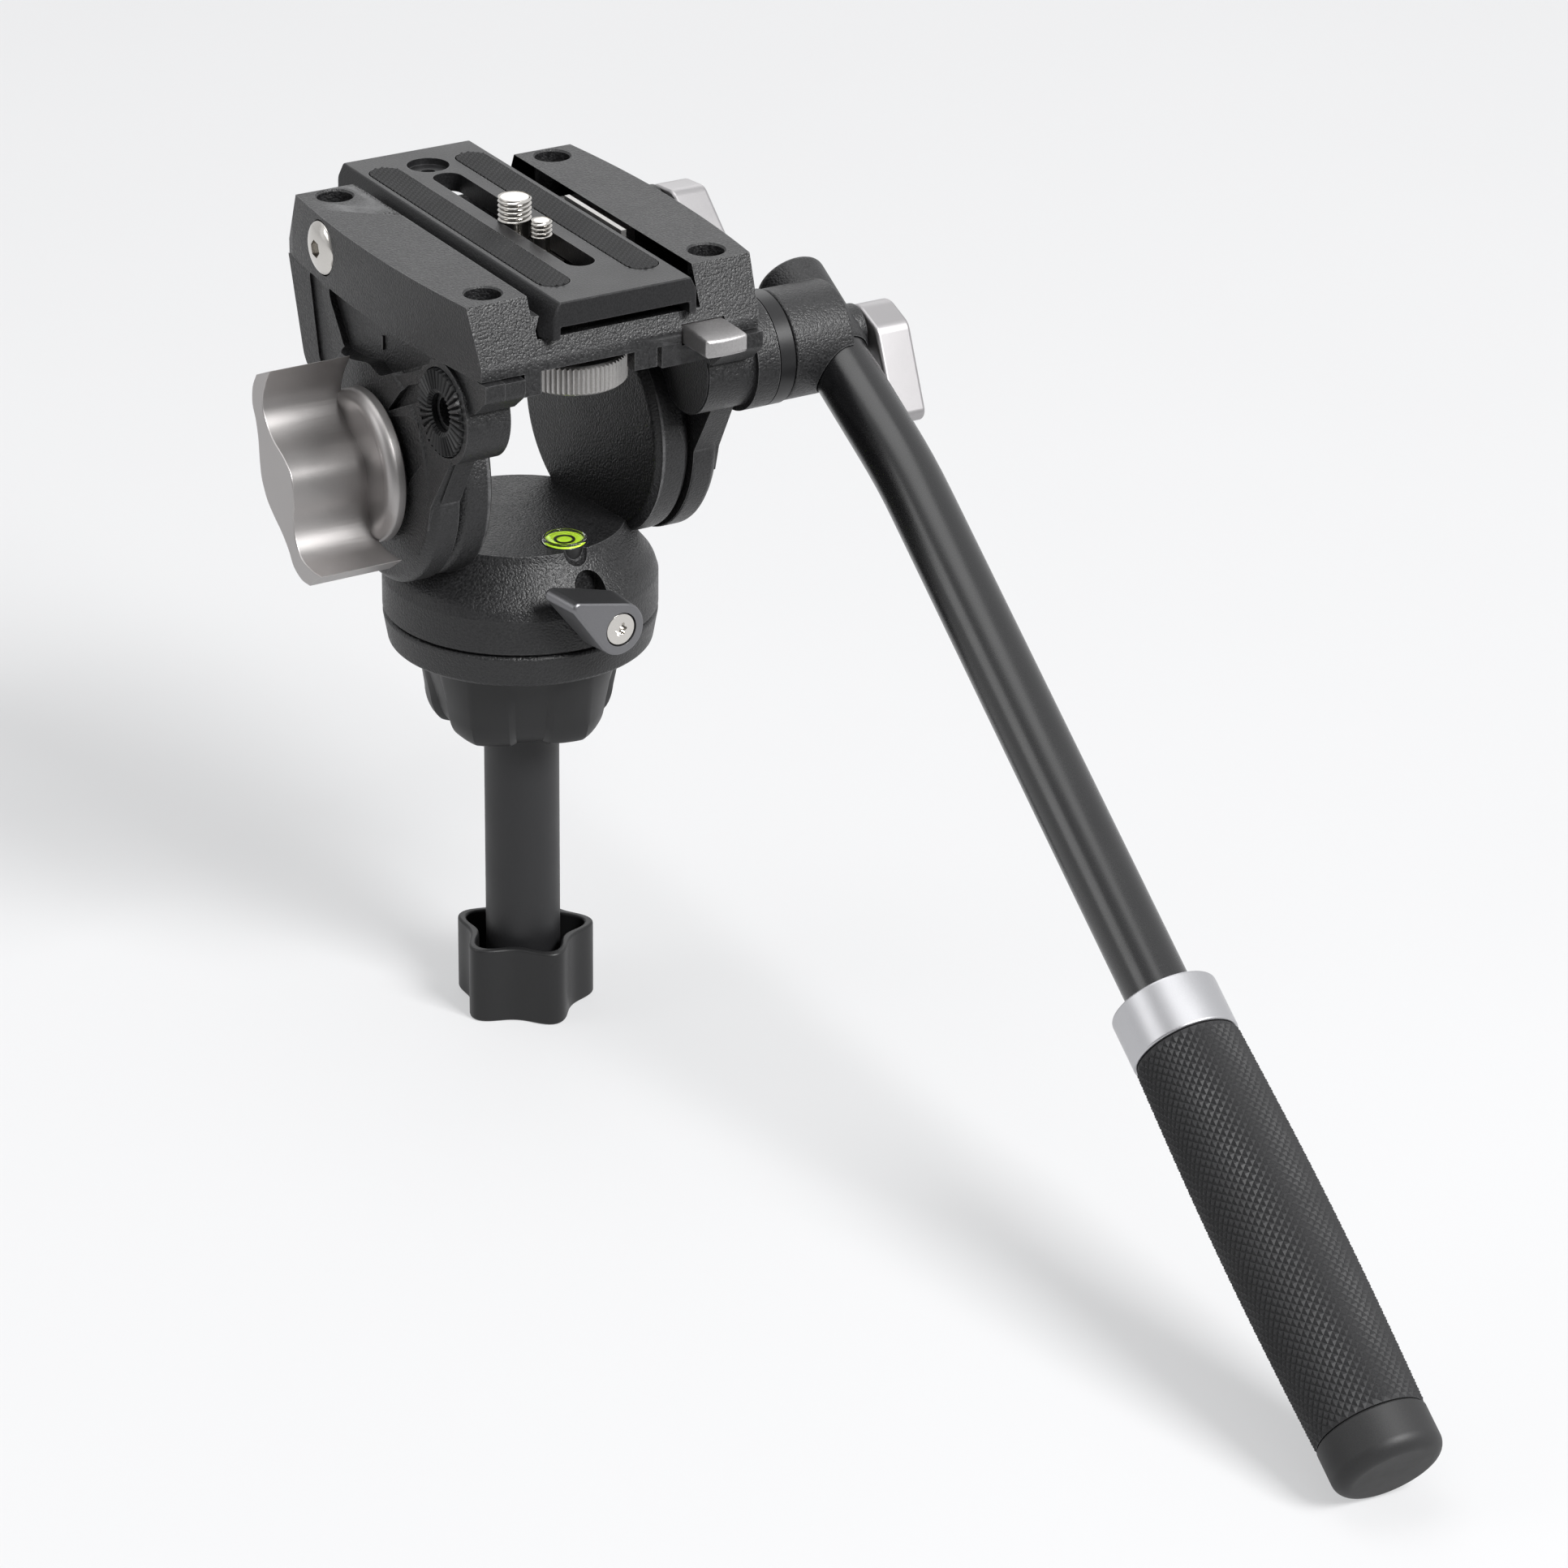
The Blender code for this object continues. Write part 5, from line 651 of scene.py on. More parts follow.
@dataclass(frozen=True)
class Finish:
    """A surface finish.

    Attributes:
        name: Name of its material.
        slot: Material slot of the record; not used.
        colour: Base colour, linear.
        roughness: Middle of its roughness.
        metallic: Share of metal.
        grain: Size of its fine grain.
        depth: Height of the grain.
        fleck: How much lighter the tops of the grain are.
        uneven: How far the roughness wanders over the surface.
        edge_highlight: How far edges are painted lighter, a painted highlight on rounded edges.
        streak: Stretch of the grain along the three axes.
        specular: Level of its clear reflection.
        hollow: How much darker its hollows are painted, as painted shade in the recesses of its
            pattern.
    """

    name: str
    slot: str
    colour: Colour
    roughness: float
    metallic: float = 0.0
    grain: float = 0.4
    depth: float = 0.02
    fleck: float = 0.2
    uneven: float = 0.06
    edge_highlight: float = 0.0
    streak: Colour = (1, 1, 1)
    specular: float = 0.5
    hollow: float = 0.0

    def material(self) -> bpy.types.Material:
        """Return the finish's material, made once.

        Returns:
            The material.
        """
        known = bpy.data.materials.get(self.name)
        if known is not None and known.get("made"):
            return known
        board = Board(self.name)
        board.material["made"] = True
        board.fix(Metallic=self.metallic, Specular_IOR_Level=self.specular)
        self.lay(board)
        return board.material

    def lay(self, board: Board) -> None:
        """Lay the grain, colour and roughness on the board.

        Args:
            board: The material's board.
        """
        fine = board.noise(self.grain, 2, self.streak)
        slow = board.noise(14, 3)
        lighter = tuple(min(1, c * (1 + self.fleck) + 0.01 * self.fleck) for c in self.colour)
        darker = tuple(c * (1 - self.fleck * 0.6) for c in self.colour)
        colour = board.tint(board.spread(fine, (0.3, 0.7), (0, 1)), darker, lighter)
        # Painted highlight: the colour is lightened along rounded edges.
        if self.edge_highlight:
            colour = self.painted_edge_highlight(board, colour)
        # Painted shade: the hollows of a pattern are darkened in the colour.
        if self.hollow:
            colour = self.painted_hollow_shade(board, colour)
        board.join(colour, board.shader.inputs["Base Color"])
        wander = board.spread(slow, (0.3, 0.7), (-self.uneven, self.uneven))
        swing = 0.03 + self.depth * 0.25
        gloss = board.spread(fine, (0.3, 0.7), (self.roughness - swing, self.roughness + swing))
        board.join(board.sums(gloss, wander), board.shader.inputs["Roughness"])
        board.relief(fine, self.depth)

    def painted_edge_highlight(self, board: Board, colour: Socket) -> Socket:
        """Lighten the edges of a colour with a painted highlight, where rounded edges catch the
        light.

        Args:
            board: The material's board.
            colour: The colour so far.

        Returns:
            The worn colour.
        """
        rounded = board.add("ShaderNodeBevel", samples=4)
        rounded.inputs["Radius"].default_value = 0.45 * MM
        turned = board.add("ShaderNodeVectorMath", operation="DOT_PRODUCT")
        board.join(rounded.outputs["Normal"], turned.inputs[0])
        board.join(board.add("ShaderNodeNewGeometry").outputs["True Normal"], turned.inputs[1])
        edge = board.spread(turned.outputs["Value"], (0.985, 0.86), (0, self.edge_highlight))
        patch = board.spread(board.noise(3, 4), (0.3, 0.6), (0.35, 1))
        share = board.sums(edge, patch, "MULTIPLY")
        mix = board.add("ShaderNodeMix", data_type="RGBA")
        board.join(share, mix.inputs["Factor"])
        sockets = [s for s in mix.inputs if s.type == "RGBA"]
        board.join(colour, sockets[0])
        # Colour of the painted edge highlight, far lighter than the base colour.
        sockets[1].default_value = (*(min(1, c * 4 + 0.07) for c in self.colour), 1)
        return next(s for s in mix.outputs if s.type == "RGBA")

    def painted_hollow_shade(self, board: Board, colour: Socket) -> Socket:
        """Darken the hollows of a pattern with painted shade.

        Args:
            board: The material's board.
            colour: The colour so far.

        Returns:
            The darkened colour.
        """
        share = board.spread(board.add("ShaderNodeNewGeometry").outputs["Pointiness"],
                             (0.40, 0.50), (self.hollow, 0))
        mix = board.add("ShaderNodeMix", data_type="RGBA")
        board.join(share, mix.inputs["Factor"])
        sockets = [s for s in mix.inputs if s.type == "RGBA"]
        board.join(colour, sockets[0])
        # Colour of the painted shade, a tenth of the base colour.
        sockets[1].default_value = (*(c * 0.1 for c in self.colour), 1)
        return next(s for s in mix.outputs if s.type == "RGBA")


@dataclass(frozen=True)
class Leather(Finish):
    """A cast surface with a pebbled grain, like leather."""

    pebble: float = 0.9

    def lay(self, board: Board) -> None:
        """Lay pebbles over the fine grain.

        Args:
            board: The material's board.
        """
        super().lay(board)
        pebbles = board.spread(board.cells(self.pebble, "SMOOTH_F1"), (0.05, 0.6), (1, 0))
        board.relief(pebbles, 0.16)


@dataclass(frozen=True)
class GlowingLiquid(Finish):
    """Tinted spirit of a level vial, glowing faintly with painted light."""

    def lay(self, board: Board) -> None:
        """Colour the liquid with a faint cloud and make it glow faintly, a painted light in place
        of light passing through it.

        Args:
            board: The material's board.
        """
        cloud = board.noise(2.5, 2)
        colour = board.tint(board.spread(cloud, (0.3, 0.7), (0, 1)),
                            tuple(c * 0.86 for c in self.colour), self.colour)
        board.join(colour, board.shader.inputs["Base Color"])
        board.join(board.spread(cloud, (0.3, 0.7), (0.05, 0.12)), board.shader.inputs["Roughness"])
        # Painted light: the spirit glows in its own colour though it is no lamp.
        board.fix(Emission_Strength=0.38, Emission_Color=(*self.colour, 1))


@dataclass(frozen=True)
class ClearCover(Finish):
    """Clear moulded cover."""

    def lay(self, board: Board) -> None:
        """Let light through with a faintly uneven gloss.

        Args:
            board: The material's board.
        """
        board.join(board.spread(board.noise(3, 2), (0.3, 0.7), (0.01, 0.05)),
                   board.shader.inputs["Roughness"])
        board.fix(Transmission_Weight=1.0, IOR=1.35, Base_Color=(*self.colour, 1))


BLACK = (0.0080, 0.0080, 0.0086)

# SAND_PAINT and PLATE_PAINT carry a painted highlight on their edges through their wear setting.
SAND_PAINT = Finish("sand_paint", "black_paint", BLACK, 0.42, grain=0.62, depth=0.30, fleck=0.6,
                    uneven=0.02, edge_highlight=0.9, specular=0.46)
PLATE_PAINT = Finish("plate_paint", "black_paint", (0.009, 0.009, 0.0097), 0.38, grain=0.5,
                     depth=0.09, fleck=0.4, uneven=0.02, edge_highlight=1.0, specular=0.32)
SATIN_PAINT = Finish("satin_paint", "black_paint", BLACK, 0.36, grain=0.22, depth=0.010,
                     fleck=0.15, uneven=0.02, specular=0.42)
LEATHER_PAINT = Leather("leather_paint", "black_paint", BLACK, 0.40, grain=0.3, depth=0.02,
                        specular=0.5)
PLASTIC = Finish("moulded_plastic", "black_plastic", (0.0085, 0.0085, 0.009), 0.44, grain=0.25,
                 depth=0.014, fleck=0.12, uneven=0.03, specular=0.42)
SLEEVE = Finish("matt_sleeve", "black_plastic", (0.010, 0.010, 0.011), 0.50, grain=0.2,
                depth=0.012, fleck=0.12, uneven=0.03, specular=0.5)
TUBE = Finish("satin_tube", "black_anodised", (0.0045, 0.0045, 0.005), 0.26, grain=0.3,
              depth=0.006, fleck=0.2, uneven=0.02, specular=0.7)
# RUBBER and PAD_RUBBER carry painted shade in their hollows through their hollow setting.
RUBBER = Finish("rubber", "rubber", (0.016, 0.016, 0.017), 0.60, grain=0.3, depth=0.03, fleck=0.3,
                specular=0.36, hollow=0.85)
PAD_RUBBER = Finish("pad_rubber", "rubber", (0.011, 0.011, 0.0115), 0.50, grain=0.3, depth=0.02,
                    specular=0.3, hollow=0.8)
CAP_RUBBER = Finish("cap_rubber", "rubber", (0.016, 0.016, 0.0165), 0.55, grain=0.3, depth=0.02,
                    specular=0.4)
KNOB_METAL = Finish("knob_metal", "satin_silver", (0.40, 0.385, 0.38), 0.44, metallic=1.0,
                    grain=0.25, depth=0.004, fleck=0.04, uneven=0.012)
LEVER_METAL = Finish("lever_metal", "satin_silver", (0.41, 0.40, 0.405), 0.36, metallic=1.0,
                     grain=0.18, depth=0.007, fleck=0.04, uneven=0.015)
BUTTON_METAL = Finish("button_metal", "satin_silver", (0.42, 0.41, 0.41), 0.44, metallic=0.95,
                      grain=0.5, depth=0.03, fleck=0.12, uneven=0.03)
BLASTED = Finish("blasted_silver", "satin_silver", (0.44, 0.43, 0.42), 0.42, metallic=0.9,
                 grain=0.4, depth=0.03, fleck=0.12)
GUNMETAL = Finish("gunmetal", "grey_metal", (0.20, 0.20, 0.208), 0.42, metallic=0.95, grain=0.3,
                  depth=0.01, fleck=0.06, uneven=0.01)
CLAMP_METAL = Finish("clamp_metal", "satin_silver", (0.38, 0.37, 0.375), 0.42, metallic=0.95,
                     grain=0.18, depth=0.007, fleck=0.04, uneven=0.015)
FERRULE = Finish("ferrule_metal", "satin_silver", (0.49, 0.49, 0.505), 0.38, metallic=1.0,
                 grain=0.2, depth=0.006, fleck=0.05, uneven=0.02)
STEEL = Finish("bright_steel_finish", "bright_steel", (0.60, 0.58, 0.55), 0.16, metallic=1.0,
               grain=0.3, depth=0.002, fleck=0.03, uneven=0.02)
DARK_STEEL = Finish("dark_steel", "bright_steel", (0.10, 0.10, 0.10), 0.4, metallic=0.8,
                    grain=0.3, depth=0.006, fleck=0.08)
BRASS = Finish("brass_finish", "brass", (0.60, 0.42, 0.18), 0.34, metallic=1.0, grain=0.3,
               depth=0.004, fleck=0.06)
# SPIRIT glows with painted light.
SPIRIT = GlowingLiquid("vial_spirit", "vial_green", (0.56, 0.83, 0.045), 0.1)
CLEAR = ClearCover("vial_cover", "vial_green", (0.97, 0.99, 0.95), 0.02)
INK = Finish("vial_ink", "black_plastic", (0.01, 0.01, 0.01), 0.4, grain=0.2, depth=0.002)


def finished(piece: Piece, name: str, body: str, finish: Finish, *nodes: str,
             smooth: float = 32) -> Piece:
    """Name, colour and mount a piece.

    Args:
        piece: The modelled piece.
        name: Its name.
        body: The body it rides on.
        finish: Its finish.
        nodes: The CAD nodes that it stands for.
        smooth: Edges flatter than this, in degrees, are shaded smooth.

    Returns:
        The piece.
    """
    take_up(piece)
    piece.name = name
    piece.data.name = name
    piece.data.materials.clear()
    piece.data.materials.append(finish.material())
    bpy.ops.object.shade_smooth_by_angle(angle=radians(smooth))
    bpy.ops.object.modifier_add(type="WEIGHTED_NORMAL")
    piece.modifiers[-1].keep_sharp = True
    bpy.ops.object.modifier_apply(modifier=piece.modifiers[-1].name)
    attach(piece, body)
    if nodes:
        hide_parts(*nodes)
    LOG.info("piece %s: %d faces", name, len(piece.data.polygons))
    return piece


def body_of(node: str) -> str:
    """Return the body that a CAD node rides on."""
    return frame["nodes"][node]["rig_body"]


def refined(node: str, finish: Finish, width: float, segments: int = 2,
            angle: float = 32) -> Piece:
    """Stand a copy of a CAD node with rounded edges in its place."""
    piece = bevelled(copy_of(node), width, segments, angle)
    return finished(piece, node + "_dressed", body_of(node), finish, node)


# Sub-assemblies


@dataclass
class TieDown:
    """Star knob and tube that draw the head down into a tripod's bowl."""

    tip: float = 20.5
    valley: float = 15.6
    wall: float = 2.6
    floor: float = 4.0
    height: float = 23.0
    lobes: int = 5
    tube_radius: float = 10.7
    tube_bore: float = 8.0
    tube_low: float = 4.3
    tube_high: float = 90.3

    def rim(self, inset: float) -> Outline:
        """Return the knob's wavy outline drawn in by an inset.

        Args:
            inset: Distance from the outer outline.

        Returns:
            The outline.
        """
        middle, swing = (self.tip + self.valley) / 2, (self.tip - self.valley) / 2
        points = []
        for i in range(self.lobes * 22):
            turn = 2 * pi * i / (self.lobes * 22)
            wave = cos(self.lobes * turn)
            reach = middle + swing * (wave - (1 - wave ** 2) / self.lobes) - inset
            points.append((reach * cos(turn), reach * sin(turn)))
        return spun(points, -90)

    def build(self) -> None:
        """Build the knob and its tube."""
        knob = prism(self.rim(0), 0, self.height, Turn.UP.at())
        hollow = prism(self.rim(self.wall), self.floor, self.height + 2, Turn.UP.at())
        combine(knob, hollow)
        bevelled(knob, 0.8, 3, 40)
        finished(knob, "star_knob_shell", "tie_knob", PLASTIC, "star_knob")
        tube = lathe(ring_profile(self.tube_radius, self.tube_bore, self.tube_low, self.tube_high,
                                  0.5), Turn.UP.at(), 64)
        finished(tube, "tie_down_tube", "tie_knob", SLEEVE, "tie_tube")


@dataclass
class HalfBall:
    """Half ball with scooped and fluted sides that seats in the tripod's bowl."""

    low: float = 90.5
    height: float = 25.7
    top_radius: float = 30.0
    base_radius: float = 24.4
    corner: float = 7.8
    draft: float = 2.0
    ridges: int = 5
    ridge_turn: float = 14.0
    ridge_half: float = 13.5
    ridge_soft: float = 3.5
    scoop_top: float = 0.5
    scoop_base: float = 3.4
    flute: float = 1.7
    recess_radius: float = 15.1
    recess_depth: float = 2.4
    bore: float = 5.1

    def scooped(self, spot: Vector) -> Vector:
        """Draw a point of the turned side in between the ridges, deeper towards the base.

        Args:
            spot: Its place in millimetres.

        Returns:
            Its new place.
        """
        radius = hypot(spot.x, spot.y)
        if radius < self.recess_radius + 1:
            return spot
        share = (spot.z - self.low) / self.height
        turn = atan2(spot.y, spot.x) + pi / 2 - radians(self.ridge_turn)
        wave = abs(sin(turn * self.ridges / 2))
        depth = self.scoop_base + (self.scoop_top - self.scoop_base) * share
        scoop = depth * (0.8 * wave + 0.2 * wave ** 2)
        middle = (degrees(turn) % (360 / self.ridges)) - 180 / self.ridges
        edge = min(1, max(0, (self.ridge_half - abs(middle)) / self.ridge_soft))
        lift = self.flute * (edge * edge * (3 - 2 * edge)) * (1.15 - share)
        scoop += lift * min(1, (1 - share) * 5)
        factor = (radius - scoop) / radius
        return Vector((spot.x * factor, spot.y * factor, spot.z))

    def build(self) -> None:
        """Turn the ball, scoop its sides and open its middle."""
        top = self.low + self.height
        shoulder = self.top_radius - self.draft
        corner = [(self.base_radius + (shoulder - self.base_radius) * cos(radians(a)),
                   self.low + self.corner * (1 - sin(radians(a)))) for a in range(90, -1, -10)]
        rise = [(shoulder + self.draft * i / 10, self.low + self.corner
                 + (self.height - self.corner) * i / 10) for i in range(1, 11)]
        profile = ([(self.bore, self.low + self.recess_depth),
                    (self.recess_radius, self.low + self.recess_depth),
                    (self.recess_radius, self.low)]
                   + corner + rise + [(self.bore, top), (self.bore, self.low + self.recess_depth)])
        turn = Matrix.Rotation(radians(self.ridge_turn - 90), 4, "Z")
        ball = lathe(profile, Turn.UP.at() @ turn, 180)
        moved(ball, self.scooped)
        finished(ball, "fluted_half_ball", "base", PLASTIC, "half_ball", smooth=24)


@dataclass
class Base:
    """Base disc that the pan body turns on."""

    low: float = 115.5
    high: float = 125.1
    radius: float = 38.8
    lower_radius: float = 36.6
    chamfer: float = 0.8
    register_radius: float = 29.2
    register_depth: float = 1.0
    flange_radius: float = 14.3
    flange_top: float = 120.1
    bore: float = 8.3

    def build(self) -> None:
        """Turn the disc."""
        register = self.low + self.register_depth
        profile = [(self.bore, self.high), (self.radius - self.chamfer, self.high),
                   (self.radius, self.high - self.chamfer),
                   (self.lower_radius + self.chamfer, self.low + self.chamfer),
                   (self.lower_radius, self.low), (self.register_radius, self.low),
                   (self.register_radius, register), (self.flange_radius, register),
                   (self.flange_radius, self.flange_top), (self.bore, self.flange_top)]
        corners = eased(profile, 0.4, 2)
        disc = lathe(corners + [corners[0]], Turn.UP.at(), 144)
        finished(disc, "turntable_disc", "base", SAND_PAINT, "base_disc")


@dataclass
class PanBody:
    """Dome with two ears that carry the tilt bearings, and its level vial."""

    bottom: float = 125.6
    skirt_top: float = 135.5
    shoulder: float = 138.9
    shoulder_radius: float = 37.6
    floor: float = 151.5
    floor_radius: float = 29.6
    radius: float = 38.8
    cavity: float = 26.4
    web: float = 137.7
    web_top: float = 141.2
    shaft_room: float = 8.5
    nut_room: float = 11.5
    nut_room_top: float = 147.1
    axis_z: float = 176.5
    ear_inner: float = 24.0
    ear_outer: float = 36.0
    ear_radius: float = 33.5
    ear_chamfer: float = 2.0
    ear_room: float = 23.8
    ear_room_floor: float = 28.0
    bushing_room: float = 10.8
    bushing_floor: float = 25.7
    vial_x: float = 1.9
    vial_y: float = -22.4
    vial_radius: float = 6.2
    vial_low: float = 147.7
    vial_high: float = 152.9
    notch: Triple = (1.6, -31.6, 151.9)
    notch_radius: float = 4.4
    ear_wedge: float = 0.097
    ear_pivot: float = -17.3
    lock_azimuth: float = 5.0
    lock_z: float = 135.0
    lock_bore: float = 3.5
    pocket_radius: float = 4.8
    pocket_rise: float = 6.6
    pocket_depth: float = 8.6
    circle: Pair = (3.0, 2.15)
    window: tuple = ((2.6, 0.06), (4.4, 0.25), (5.2, 0.45), (5.4, 0.7), (5.1, 0.8), (4.2, 0.62),
                     (2.4, 0.45), (0, 0.4))

    def dome(self) -> Piece:
        """Turn the dome, with the brake's room under it.

        Returns:
            The dome.
        """
        skirt = [(self.floor_radius, self.floor), (self.floor_radius + 1.4, self.floor - 3.2),
                 (self.shoulder_radius - 2.6, self.shoulder + 3.4),
                 (self.shoulder_radius, self.shoulder), (self.radius, self.skirt_top)]
        profile = ([(0, self.floor)] + flowing(skirt, 6)[:-1]
                   + [(self.radius, self.skirt_top), (self.radius, self.bottom + 0.5),
                      (self.radius - 0.5, self.bottom), (self.cavity, self.bottom),
                      (self.cavity, self.web),
                      (self.shaft_room, self.web), (self.shaft_room, self.web_top),
                      (self.nut_room, self.web_top), (self.nut_room, self.nut_room_top),
                      (0, self.nut_room_top)])
        return lathe(profile, Turn.UP.at(), 120)

    def ear(self, side: int) -> Piece:
        """Turn one ear's disc, solid, thicker towards the rear.

        Args:
            side: -1 for the left, 1 for the right.

        Returns:
            The ear.
        """
        steps = [self.ear_outer, self.ear_inner]
        profile = [(0, steps[0]), (self.ear_radius - self.ear_chamfer, steps[0]),
                   (self.ear_radius, steps[0] - self.ear_chamfer),
                   (self.ear_radius, steps[1] + self.ear_chamfer),
                   (self.ear_radius - self.ear_chamfer, steps[1]), (0, steps[1])]
        profile = eased(profile, 0.8, 3, closed=False)
        ear = lathe([(r, side * x) for r, x in profile], Turn.RIGHT.at(z=self.axis_z), 120)

        def wedged(spot: Vector) -> Vector:
            """Lean the inner face.

            Args:
                spot: Its place in millimetres.

            Returns:
                Its new place.
            """
            if abs(spot.x) > self.ear_inner + self.ear_chamfer + 0.5:
                return spot
            return spot - Vector((side * (spot.y - self.ear_pivot) * self.ear_wedge, 0, 0))

        return moved(ear, wedged)

    def room(self, side: int) -> Piece:
        """Turn the tool that opens one ear for its bearing.

        Args:
            side: -1 for the left, 1 for the right.

        Returns:
            The tool.
        """
        profile = [(0, 40), (self.ear_room, 40), (self.ear_room, self.ear_room_floor),
                   (self.bushing_room, self.ear_room_floor),
                   (self.bushing_room, self.bushing_floor), (0, self.bushing_floor)]
        return lathe([(r, side * x) for r, x in profile], Turn.RIGHT.at(z=self.axis_z), 60)

    def lock_place(self) -> Matrix:
        """Return the placement of the pan lock, with local Z out of the skirt."""
        turn = Matrix.Rotation(radians(self.lock_azimuth), 4, "Z")
        return turn @ Turn.FRONT.at(z=self.lock_z)

    def build(self) -> None:
        """Build the body and the vial in its floor."""
        body = self.dome()
        for side in (-1, 1):
            combine(body, self.ear(side), Cut.ADD)
        pocket = (arc((0, self.pocket_rise), self.pocket_radius, 0, 180, 14)
                  + arc((0, 0), self.pocket_radius, 180, 360, 14))
        combine(body, prism(pocket, self.radius - self.pocket_depth, self.radius + 3,
                            self.lock_place()))
        combine(body, rod(self.lock_bore, self.cavity - 1, self.radius + 2, self.lock_place()))
        scoop = arc((0, 0), self.notch_radius, -90, 90, 19)
        combine(body, lathe(scoop, Turn.UP.at(*self.notch), 48))
        bevelled(body, 1.0, 3, 34)
        for side in (-1, 1):
            combine(body, self.room(side))
        combine(body, rod(self.vial_radius + 0.15, self.vial_low - 0.3, self.floor + 2,
                          Turn.UP.at(x=self.vial_x, y=self.vial_y), 72))
        finished(body, "pan_dome", "pan_housing", SAND_PAINT, "pan_body")
        self.vial()

    def vial(self) -> None:
        """Build the vial: cup, spirit, printed circle, clear rim and clear cover."""
        place = Turn.UP.at(x=self.vial_x, y=self.vial_y)
        radius, low, top = self.vial_radius, self.vial_low, self.vial_high
        cup = lathe(ring_profile(radius, radius - 0.65, low, top - 1.25, 0.1), place, 72)
        finished(cup, "vial_cup", "pan_housing", INK, "level_vial")
        spirit = lathe([(0, top - 1.0), (radius - 1.0, top - 1.0), (radius - 0.75, top - 1.3),
                        (radius - 0.75, low + 0.2), (0, low + 0.2)], place, 72)
        finished(spirit, "vial_spirit_disc", "pan_housing", SPIRIT, "level_vial")
        circle = lathe(ring_profile(*self.circle, top - 0.99, top - 0.84, 0.04), place, 64)
        finished(circle, "vial_circle", "pan_housing", INK, "level_vial")
        rim = lathe(ring_profile(radius, radius - 0.7, top - 1.2, top, 0.3), place, 72)
        finished(rim, "vial_clear_rim", "pan_housing", CLEAR, "level_vial", smooth=60)
        cover = lathe([(0, top)] + [(r, top - drop) for r, drop in self.window], place, 72)
        finished(cover, "vial_window", "pan_housing", CLEAR, "level_vial", smooth=60)


@dataclass
class PanLock:
    """Teardrop lever that locks the pan turn, with its socket screw."""

    hub: float = 8.1
    tip_radius: float = 2.2
    length: float = 19.5
    turn: float = 146.0
    back: float = 39.8
    front: float = 50.3
    face_share: float = 0.84
    screw_radius: float = 4.6
    screw_height: float = 2.4
    key: float = 1.75
    key_swing: float = 0.32
    spindle_bore: float = 3.3

    def shape(self) -> Outline:
        """Return the drop outline round the hub and the tip.

        Returns:
            The outline.
        """
        tip = (self.length * cos(radians(self.turn)), self.length * sin(radians(self.turn)))
        spread = degrees(acos((self.hub - self.tip_radius) / self.length))
        return (arc((0, 0), self.hub, self.turn + spread, self.turn + 360 - spread, 40)
                + arc(tip, self.tip_radius, self.turn - spread, self.turn + spread, 16))

    def drawn_in(self, spot: Vector) -> Vector:
        """Draw the front face in towards the tip.

        Args:
            spot: Its place in millimetres.

        Returns:
            Its new place.
        """
        depth = (spot.z - self.back) / (self.front - self.back)
        away = min(1, hypot(spot.x, spot.y) / self.length)
        share = 1 - (1 - self.face_share) * away * max(0, depth)
        return Vector((spot.x * share, spot.y * share, spot.z))

    def build(self, place: Matrix) -> None:
        """Build the lever and the screw on the lock's axis.

        Args:
            place: Placement of the lock, with local Z outwards.
        """
        lever = prism(self.shape(), self.back, self.front, Turn.UP.at())
        moved(lever, self.drawn_in)
        bevelled(lever, 0.8, 4, 40)
        seat = lathe([(0, self.front + 1), (self.screw_radius + 0.55, self.front + 1),
                      (self.screw_radius + 0.3, self.front - 0.25),
                      (self.screw_radius + 0.3, self.front - self.screw_height - 0.3),
                      (0, self.front - self.screw_height - 0.3)], Turn.UP.at(), 64)
        combine(lever, seat)
        combine(lever, rod(self.spindle_bore, self.back - 1, self.front, Turn.UP.at()))
        set_at(lever, place)
        finished(lever, "pan_lock_drop", "pan_lock", GUNMETAL, "pan_lock_lever")
        low, high = self.front - self.screw_height, self.front - 0.3
        screw = lathe(eased([(0, high), (self.screw_radius, high), (self.screw_radius, low),
                             (0, low)], 0.35, 3, closed=False), Turn.UP.at(), 64)
        star = [((self.key + self.key_swing * cos(6 * a)) * cos(a),
                 (self.key + self.key_swing * cos(6 * a)) * sin(a))
                for a in (radians(6 * i) for i in range(60))]
        combine(screw, prism(star, high - 1.2, high + 1, Turn.UP.at()))
        set_at(screw, place)
        finished(screw, "pan_lock_socket_screw", "pan_lock", STEEL, "pan_lock_screw")


